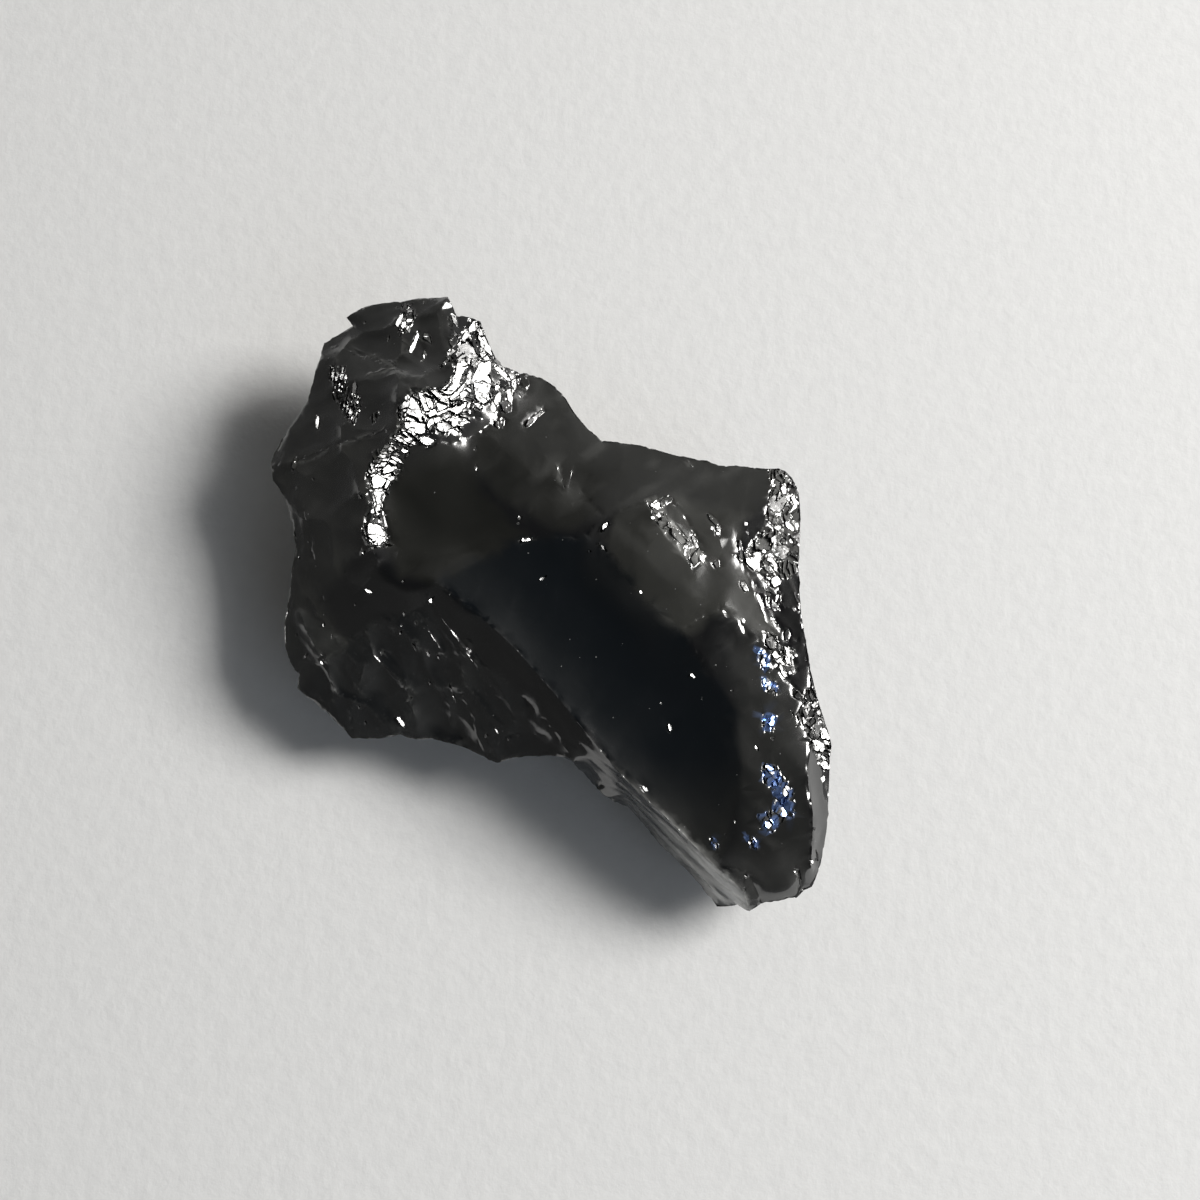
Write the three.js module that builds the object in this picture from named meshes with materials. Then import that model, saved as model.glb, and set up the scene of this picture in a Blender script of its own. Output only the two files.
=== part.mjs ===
// A nugget of glassy black shungite: one shard with a high hackly-edged cap at the back left, a smooth
// scooped hollow running to the front right, a steep wall under its long sharp spine, a rounded knob and
// crumbled corner on the right, and a flat worn patch underneath that it rests on.
// Millimetres, +Z up, resting flat on Z = 0, origin under the middle of the bounding box.
import * as THREE from "three";

// ---- driving dimensions ----
const WIDTH = 34.9; // across, along X
const LENGTH = 37.8; // front to back, along Y
const HEIGHT = 10.5; // from the resting flat to the top of the cap, along Z
const CORNER_TURN = 38; // degrees: an edge line that turns by more than this keeps its corner
const ROUNDS = 1; // rounds of smoothing between the sharp lines
const STONE_COLOUR = 0x121314;
const STONE_ROUGHNESS = 0.22;
const STONE_METALNESS = 0.0;

// ---- control points of the surface: [x, y, z] ----
// prettier-ignore
const POINTS = [
  [-12.74,18.07,7.2], [-12,18.45,7.6], [-11.14,18.66,7.9], [-9.39,18.64,8.3], [-8.12,18.95,8.5],
  [-7.23,18.85,8.6], [-6.22,18.87,8.7], [-5.95,18.23,8.8], [-5.62,17.57,8.8], [-5.01,17.61,8.7],
  [-4.2,17.29,8.5], [-3.64,15.88,8.2], [-3.08,14.67,7.9], [-1.72,14.36,7.5], [-0.42,14.2,7],
  [0.53,13.64,6.9], [1.29,12.69,6.8], [2.17,11.2,6.7], [3.43,10.18,6.6], [4.94,9.99,6.6], [6.38,9.73,6.6],
  [7.82,9.23,6.5], [8.95,9.04,6.5], [9.96,8.94,6.4], [10.83,8.48,6.4], [12.09,8.64,6.3], [13.49,8.44,6.1],
  [14.56,8.5,6.1], [15.26,8.14,6], [15.88,6.96,5.8], [15.9,5.21,5.8], [15.67,3.17,6.2], [15.59,1.2,6.5],
  [15.71,-0.84,6.6], [15.92,-2.58,6.55], [16.19,-4.3,6.45], [16.54,-5.82,6.3], [16.98,-7.18,5.9],
  [17.43,-8.59,5.4], [17.42,-10.64,4.6], [17.3,-13.08,4.5], [16.99,-15.08,4.6], [16.51,-16.53,4.7],
  [16.07,-17.37,4.7], [15.5,-17.61,4.8], [15.2,-18.02,4.7], [14.16,-18.2,4.8], [13.11,-18.37,4.4],
  [12.39,-18.9,4.2], [11.72,-18.59,3.6], [10.47,-18.58,3.2], [9.63,-17.54,3], [8.85,-16.57,2.9],
  [7.94,-15.59,2.8], [6.9,-14.66,2.7], [5.98,-13.37,2.7], [5.05,-12.37,2.7], [4.04,-12.16,3.8],
  [3.12,-11.52,4.75], [2.36,-10.41,2.4], [1.67,-9.99,5.9], [1.06,-9.56,5.85], [-0.05,-9.45,5.45],
  [-1.3,-9.51,4.9], [-2.24,-9.65,4.5], [-3.05,-9.87,4.3], [-3.79,-9.56,4.3], [-4.72,-9.07,4.3],
  [-5.97,-8.62,4.2], [-7.13,-8.39,3.8], [-8.14,-8.44,3.7], [-9.06,-8.02,3.9], [-10,-8.2,3.8],
  [-11.12,-8.31,3.7], [-12.12,-8.19,3.7], [-12.99,-7.4,3.9], [-14.12,-6.11,4.1], [-15.14,-5.61,4.1],
  [-15.51,-5.18,4.2], [-15.42,-4.41,4.5], [-16.12,-3.37,4.65], [-16.37,-2.26,4.85], [-16.39,-1.28,5],
  [-16.11,0.23,5.1], [-15.89,2.01,5.7], [-15.5,3.52,6.1], [-15.92,4.8,6.1], [-16.32,6.45,6], [-17.24,7.68,6],
  [-17.43,8.76,5.9], [-16.95,10.21,6.1], [-15.8,11.66,6.5], [-15.15,12.55,6.8], [-14.91,13.81,7],
  [-14.36,15.26,7.2], [-14.2,16.51,6.9], [-13.17,17.04,7.1], [-12.27,17.43,7.3], [-6.01,16.82,9.2],
  [-5.84,15.41,9.45], [-5.49,14.21,9.7], [-5.87,12.94,10], [-6.39,12.18,10.15], [-7.18,12.4,10.25],
  [-8.13,11.86,10.35], [-8.76,11.17,10.5], [-8.75,10.36,10.45], [-8.69,9.59,10.3], [-9.54,9,10.15],
  [-10.05,8.35,9.8], [-10.5,7.52,9.4], [-10.76,6.73,9.1], [-10.64,5.84,8.9], [-10.51,4.98,8.8],
  [-10.91,4.1,8.8], [-10.9,3.31,8.7], [-10.55,2.68,8.5], [-9.63,3.26,8.15], [-9.76,4.3,8.3],
  [-10.07,5.13,8.5], [-9.96,5.88,8.5], [-9.51,6.85,8.45], [-8.94,7.7,8.8], [-8.66,8.41,9.2],
  [-7.97,8.95,9.5], [-7.19,8.86,9.4], [-6.47,9.25,9.35], [-5.59,9.27,8.9], [-4.88,9.75,8.6],
  [-4.1,10.07,8.4], [-3.39,10.84,8.2], [-2.73,12.02,8], [-2.19,13.13,7.8], [-4.54,15.68,8.75],
  [-4.25,14.27,9], [-3.74,13.14,8.9], [-3.97,11.89,8.95], [-4.69,11.02,9.05], [-6,10.82,9.45],
  [-7.18,10.46,9.75], [-7.95,9.68,9.8], [-16.48,8.55,6.6], [-15.79,8.76,7], [-14.84,8.99,7.5],
  [-13.77,9.16,8], [-12.57,9.36,8.6], [-11.37,9.53,9.3], [-10.39,9.75,9.8], [-13.05,15.78,7.6],
  [-11.69,15.22,8.2], [-10.33,14.51,8.9], [-9.22,14.03,9.3], [-7.49,14.32,9.4], [-15.67,7.06,6.6],
  [-14.94,5.56,6.9], [-14.66,3.69,6.7], [-14.4,1.86,6.35], [-13.88,0.02,6.1], [-13.22,-1.73,6],
  [-12.69,-2.98,6], [-10.16,1.86,8.5], [-10.55,1.02,8.1], [-11.27,0.38,7.6], [-12.21,1.04,7.2],
  [-12.53,1.96,7.3], [-11.83,2.55,8], [-6.57,0.6,8.3], [-5.51,1.27,8.1], [-4.5,1.82,7.9], [-3.6,2.41,7.8],
  [-2.7,2.93,7.7], [-0.99,3.69,7.7], [-4.69,8.04,8.3], [-4.26,6.53,8], [-3.34,5.51,7.8], [-2.23,4.64,7.7],
  [-5.66,-0.01,8.25], [-4.56,-0.86,8.2], [-3.34,-1.95,8.1], [-2.12,-3.04,8], [-0.91,-4.36,7.85],
  [0.3,-5.74,7.7], [1.5,-7.17,7.55], [2.7,-8.71,7.35], [3.9,-10.14,7.2], [5.1,-11.44,7], [6.3,-12.55,6.8],
  [7.13,-13.26,6.7], [8.09,-14.19,6.5], [9.11,-15.25,6.3], [10.12,-16.24,6.1], [11.09,-17.12,5.8],
  [11.89,-17.75,5.4], [-7.03,-0.34,7.8], [-6.42,-1.3,7.6], [-5.46,-2.46,7.2], [-4.12,-3.71,6.95],
  [-2.78,-4.86,6.8], [-1.56,-5.93,6.6], [-0.34,-7.13,6.4], [0.63,-8.43,6.1], [-5.42,-1.47,7.85],
  [-4.1,-2.51,7.5], [-2.75,-3.67,7.45], [-1.54,-4.88,7.3], [-0.02,-6.61,7.05], [1.19,-8.04,6.85],
  [2.7,-9.75,6.4], [4.22,-11.04,5.5], [5.73,-12.48,5.3], [7.25,-13.97,5.1], [8.76,-15.58,4.9],
  [10.27,-17.3,4.6], [-8.03,-0.94,7.4], [-9.03,-1.32,7.1], [-10.15,-1.53,6.9], [-11.29,-2.07,6.5],
  [-13.87,-3.75,5.4], [-8.75,-2.59,6.6], [-8.17,-3.87,6.1], [-7.8,-5.47,5.2], [-7.47,-6.97,4.4],
  [-6.93,-2.44,7.1], [-5.87,-4.05,6.4], [-5.11,-5.76,5.5], [-4.45,-7.42,5], [-10.94,-3.43,6.1],
  [-11.51,-5.15,5.2], [-12.18,-6.48,4.5], [-4.85,-3.41,7], [-3.53,-5.28,6.35], [-2.31,-6.93,5.9],
  [-1.28,-8.18,5.6], [-2.83,-8.36,5.1], [0.85,3.38,7.7], [2.57,3.75,7.7], [3.61,4.83,7.95], [4.65,5.31,8.05],
  [5.76,5.74,8.1], [6.68,6.01,8.05], [7.49,6.27,7.8], [1.94,6.83,7.4], [2.81,5.81,7.4], [3.73,2.77,8.1],
  [4.52,1.38,8.15], [5.73,-0.04,8.1], [6.94,-1.24,7.95], [8.15,-2.3,7.7], [9.05,-3.39,7.6], [9.83,-4.6,7.45],
  [6.43,5.38,8.25], [7.21,4.25,8.25], [8.06,3.26,8.15], [8.79,2.03,8.05], [8.47,4.9,7.7], [9.26,3.7,7.65],
  [9.79,2.43,7.7], [9.38,-1.38,7.7], [10.6,-0.98,7.6], [10.73,-0.74,7.6], [11.83,-1.79,7.3],
  [12.74,-2.57,7.15], [13.54,-3.34,6.95], [14.08,-4.12,6.85], [14.75,-5.08,6.65], [15.46,-5.99,6.6],
  [11.91,2.41,7.25], [12.63,1.06,7.1], [13.23,-0.17,7], [14.08,-1.51,6.8], [14.92,-2.61,6.7],
  [13.82,6.24,6.75], [13.85,4.94,6.8], [13.19,3.81,7], [13.14,1.59,7], [14,0.5,6.8], [14.6,-0.56,6.75],
  [16.21,-8.41,6.4], [15.7,-10.91,6.6], [16.04,-12.34,6.45], [16.13,-13.65,6.4], [16,-15.3,6.15],
  [15.94,-16.35,5.9], [15.34,-17.04,5.3], [15.06,-16.35,5.8], [11.56,-16.3,6], [12.17,-16.7,5.8],
  [12.76,-17.62,5.1], [10.79,-5.79,7.3], [11.38,-7.12,7.2], [11.73,-8.8,7.05], [11.83,-10.47,6.95],
  [11.63,-12.37,6.8], [11.13,-14.03,6.65], [10.47,-15.2,6.45], [-0.15,12.5,7.15], [1.42,11.25,6.95],
  [-6.51,18.28,8.85], [-11.96,17.79,7.75], [-10.13,17.05,8.6], [-8.21,17.09,9], [-6.91,16.08,9.4],
  [-9.07,15.47,9.3], [-7.43,13.16,9.75], [-11.12,16.58,8.1], [-12.6,13.93,8.15], [-11.2,12.36,8.9],
  [-9.84,11.15,9.6], [-13.18,12.02,8], [-14.13,10.65,7.6], [-12.11,10.81,8.7], [-15.48,10.09,6.9],
  [-10.23,12.85,9.35], [-13.37,7.84,7.9], [-12.02,7.94,8.65], [-14.71,7.53,7.2], [-13.01,5.95,7.8],
  [-11.86,5.77,8.45], [-12.29,3.97,8.1], [-13.64,3.86,7.3], [-13.84,2.08,6.8], [-13,0.52,6.7],
  [-11.48,7.53,8.95], [-11.6,1.64,7.3], [-5.28,16.26,8.95], [-4.82,13.17,9.35], [-6.47,11.55,9.75],
  [-7.97,10.91,9.95], [-2.92,13.25,8.2], [-3.22,12.29,8.15], [-9.64,7.52,9], [-10.29,5.69,8.75],
  [-10.27,3.85,8.55], [-9.36,8.51,9.5], [-8.35,7.06,8.4], [-8.37,5.29,7.9], [-6.51,7.65,8.55],
  [-6.51,5.26,8], [-6.49,3.1,7.8], [-8.61,3.05,8], [-8.25,1.46,8.1], [-4.68,4.1,7.6], [-4.66,2.81,7.7],
  [-2.84,4.4,7.65], [-9.13,1.1,8.3], [-2.87,9.37,8.15], [-2.86,7.2,7.9], [-1.02,7.87,7.8], [-1,5.63,7.8],
  [0.84,5.98,7.7], [-0.44,10.58,7.4], [1.44,8.99,7.3], [3.93,8.37,7.2], [3.3,6.67,7.5], [5.16,7.04,7.35],
  [7.04,7.75,7.1], [8.9,7.45,7.05], [9.49,6.09,7.3], [11.39,6.83,6.95], [12.98,7.25,6.6], [4.55,9.07,7.05],
  [0.79,13.03,6.95], [0.85,4.39,7.7], [-2.29,11.4,7.9], [-1.08,12.86,7.45], [10.7,4.77,7.45],
  [12.28,5.18,7.1], [11.93,3.56,7.2], [10.67,3.16,7.55], [12.87,3.6,7.05], [4.83,3.92,8.3], [5.43,2.65,8.35],
  [6.34,1.11,8.25], [6.96,2.97,8.3], [7.55,0.2,8.15], [8.77,0.24,8], [10.01,0.93,7.7], [11.25,0.67,7.45],
  [10.31,-0.3,7.6], [11.86,-0.24,7.3], [9.38,-0.64,7.75], [10.96,1.91,7.5], [12.9,-1.31,7.05],
  [13.99,-2.64,6.85], [12.16,-0.84,7.2], [14.89,-3.97,6.7], [14.89,7.04,6.2], [14.84,5.07,6.3],
  [14.46,3.1,6.5], [15.05,1.83,6.5], [14.69,0.53,6.65], [14.09,1.47,6.7], [15.3,-0.09,6.6],
  [14.37,-0.41,6.65], [15.26,-1.66,6.6], [15.51,-4.13,6.55], [-2.78,0.29,7.75], [-3.99,0.25,7.95],
  [-1.58,1.56,7.65], [-0.35,-0.28,7.5], [0.86,1.6,7.5], [2.08,2.21,7.55], [0.88,-2.74,7.4], [2.69,-0.26,7.4],
  [3.3,-2.71,7.25], [4.52,-0.88,7.4], [3.3,-5.77,7.15], [5.74,-3.32,7.2], [5.73,-6.35,6.95],
  [6.94,-4.54,7.15], [8.15,-6.35,6.95], [5.72,-9.36,6.75], [8.13,-8.76,6.75], [9.95,-8.16,6.8],
  [8.12,-11.74,6.45], [9.93,-10.55,6.6], [9.31,-13.52,6.3], [10.81,-12.35,6.5], [-0.94,-2.16,7.6],
  [1.49,-4.59,7.4], [3.91,-8.19,7.05], [2.7,-7.31,7.25], [9.97,-2.77,7.55], [11.2,-3.34,7.3],
  [12.09,-5.15,7.1], [13.32,-5.13,6.95], [12.97,-7.57,6.95], [14.51,-6.93,6.75], [15.43,-7.22,6.6],
  [14.16,-9.07,6.8], [13.23,-9.98,6.85], [15.05,-9.96,6.7], [13.19,-12.07,6.75], [14.41,-11.76,6.65],
  [15.31,-12.35,6.55], [12.87,-14.14,6.6], [14.37,-14.13,6.5], [11.96,-15.32,6.5], [13.45,-15.9,6.35],
  [14.97,-15.01,6.35], [13.78,-17.35,5.8], [14.68,-17.35,5.75], [15.65,-17.03,5.2], [10.47,-15.78,6.3],
  [11.37,-15.31,6.4], [11.07,-16.72,6.1], [16.78,-10.37,4.9], [16.81,-12.18,4.7], [16.69,-14.61,4.7],
  [16.34,-15.82,4.8], [16.78,-8.87,5.2], [-16.43,7.96,6.4], [-15.71,5.99,6.5], [-15.21,4.38,6.5],
  [-15.15,2.56,6.1], [-15.05,0.76,5.6], [-15.33,-1.09,5.35], [-14.34,-2.07,5.5], [-15.31,-2.94,5.1],
  [-14.16,-0.55,5.8], [-8.83,0.09,8.1], [-10.12,-0.26,7.4], [-8.88,-0.59,7.5], [-7.92,-0.08,8],
  [-11.27,-0.78,6.9], [-12.37,-1.01,6.5], [-12.04,-0.13,6.8], [-7.61,0.5,8.2], [-9.75,0.52,8.1],
  [-13.42,-4.79,4.9], [-12.45,-4.11,5.3], [-10.21,-2.83,6.2], [-10.27,-4.37,5.4], [-9.3,-3.71,5.9],
  [-9.05,-5.43,5], [-10.82,-6.36,4.5], [-12.94,-5.98,4.5], [-9.71,-6.91,4.4], [-14.06,-5.37,4.6],
  [-14.55,-4.78,4.8], [-7.06,-1.77,7.2], [-7.46,-3.19,6.5], [-6.8,-5.12,5.4], [-6.03,-6.34,4.8],
  [-4.23,-5.99,5.8], [-3.31,-7.12,5.5], [-5.81,-7.44,4.2], [-0.96,-7.15,6.1], [-2.82,-7.49,5.5],
  [-6.63,-8.09,3.9], [-5.01,-8.46,3.9], [-0.05,-8.93,5.7], [-1.59,-8.88,5.25], [-5.79,-0.88,8],
  [-4.27,-2.07,7.75], [-2.45,-3.85,7.4], [-0.33,-6.05,7], [1.8,-8.48,6.95], [3.61,-10.25,6.6],
  [5.41,-11.85,6.3], [7.4,-13.74,6], [10.65,-16.92,5.3], [-6.04,-2.63,6.8], [-2.17,-5.27,6.7],
  [-0.04,-7.25,6.4], [1.79,-9.3,6.25], [3.3,-10.89,5.2], [5.27,-12.06,4], [6.98,-14.14,4], [8.8,-16.08,4],
  [10.31,-17.76,3.9], [-11.53,11.43,0], [-8.51,13.8,0], [-5.41,13.38,0], [-1.35,9.07,0], [3.3,5.91,0],
  [7.79,4.82,0], [11.31,1.58,0], [12.54,-3.2,0], [12.84,-8.03,0], [11.48,-12.14,0], [9.32,-11.25,0],
  [5.88,-8.16,0], [3.05,-5.3,0], [-1.37,-3.73,0], [-6.32,-3.2,0], [-10.26,-1.49,0], [-12.7,1.58,0],
  [-13.24,6.19,0], [-9.36,10.18,0], [-5.35,9.48,0], [-9.93,6.05,0], [-0.65,4.01,0], [-6.58,4.01,0],
  [-1.93,-0.02,0], [4.62,1.99,0], [4.61,-2.02,0], [8.54,-0.02,0], [9.77,-5.96,0], [-9.83,1.99,0],
  [-7.16,-0.02,0], [1.35,-2.02,0], [-12.66,13.31,2.5], [-8.96,16.06,1.2], [-4.43,14.93,2.8],
  [-0.17,10.73,0.8], [4.77,8.1,2.3], [9.59,6.19,1], [13.3,3,2.2], [14.5,-2.68,0.8], [15.27,-8.68,1.9],
  [14.66,-12.71,0.7], [11.86,-16.06,1.5], [9.66,-14.93,0.6], [6.5,-11.57,1.3], [3.18,-8.42,0.5],
  [0.72,-7.13,1.3], [-3.15,-6.74,0.5], [-7.04,-5.83,1.3], [-10.61,-5.3,0.6], [-13.26,-3.47,1.9],
  [-14.88,-0.02,0.8], [-15.3,4.69,2.4], [-14.92,8.93,1.1], [-12.99,15.5,4.6], [-16.25,8.93,3.1],
  [-15.56,-1.09,1.9], [-12.73,-6.09,2.3], [2.34,-9.13,1.4], [10.21,-16.81,1.9], [15.89,-14.8,2.3],
  [16.56,-8.42,3.3], [14.9,3.87,3.6], [10.07,7.55,2.6], [0.76,11.7,2.6], [-4.24,15.92,5], [-13.27,11.57,1.5],
  [-10.45,13.66,0.7], [-6.79,15.21,1.5], [-3.05,11.91,0.8], [1.64,8.1,0.9], [6.62,6.46,0.7], [11.08,3.6,0.6],
  [13.23,-0.69,0.9], [14.04,-5.96,1], [13.55,-11.12,0.4], [11.26,-14.3,0.5], [7.66,-11.12,0.35],
  [4.59,-7.91,0.4], [-0.26,-5.43,0.35], [-4.79,-4.98,0.4], [-9.03,-3.99,0.45], [-12.35,-1.35,0.5],
  [-14.16,1.99,0.6], [-14.16,6.05,1.4], [-13.66,8.93,0.8], [-14.52,12.96,3.9], [-14.04,14.51,4.9],
  [-12.75,16.63,5.2], [-10.74,16.91,3.6], [-8.18,17.06,3.2], [-6.14,16.63,5.4], [-2.19,12.96,2.6],
  [-1.05,12.82,3.9], [2.51,9.9,3], [4.97,9.07,3.2], [7.62,8.38,2.4], [12.24,6.19,2], [13.78,7.07,3.4],
  [15.32,1.99,3], [15.33,-0.36,2.6], [15.79,-3.01,3.4], [16.18,-5.63,3], [16.97,-10.16,2.9],
  [16.28,-11.76,1.7], [16.49,-13.66,2.8], [15.03,-16.06,2.4], [13.77,-15.93,1.5], [12.41,-17.43,2.2],
  [11.03,-16.81,1.5], [8.7,-15.43,1.2], [7.44,-13.79,1.3], [5.86,-12.14,1.3], [4.46,-10.61,0.9],
  [-0.24,-8.29,1.3], [-1.85,-8.03,0.9], [-3.13,-8.29,1.2], [-5.08,-7.52,0.8], [-7.01,-7.26,1.3],
  [-8.96,-6.74,1], [-10.9,-6.87,1.4], [-14.05,-5.04,1.7], [-15.41,-3.34,1.8], [-15.95,0.65,2.3],
  [-15.83,4.69,2.4], [-16.04,6.73,1.8], [-15.55,11.57,2.9],
];

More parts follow.
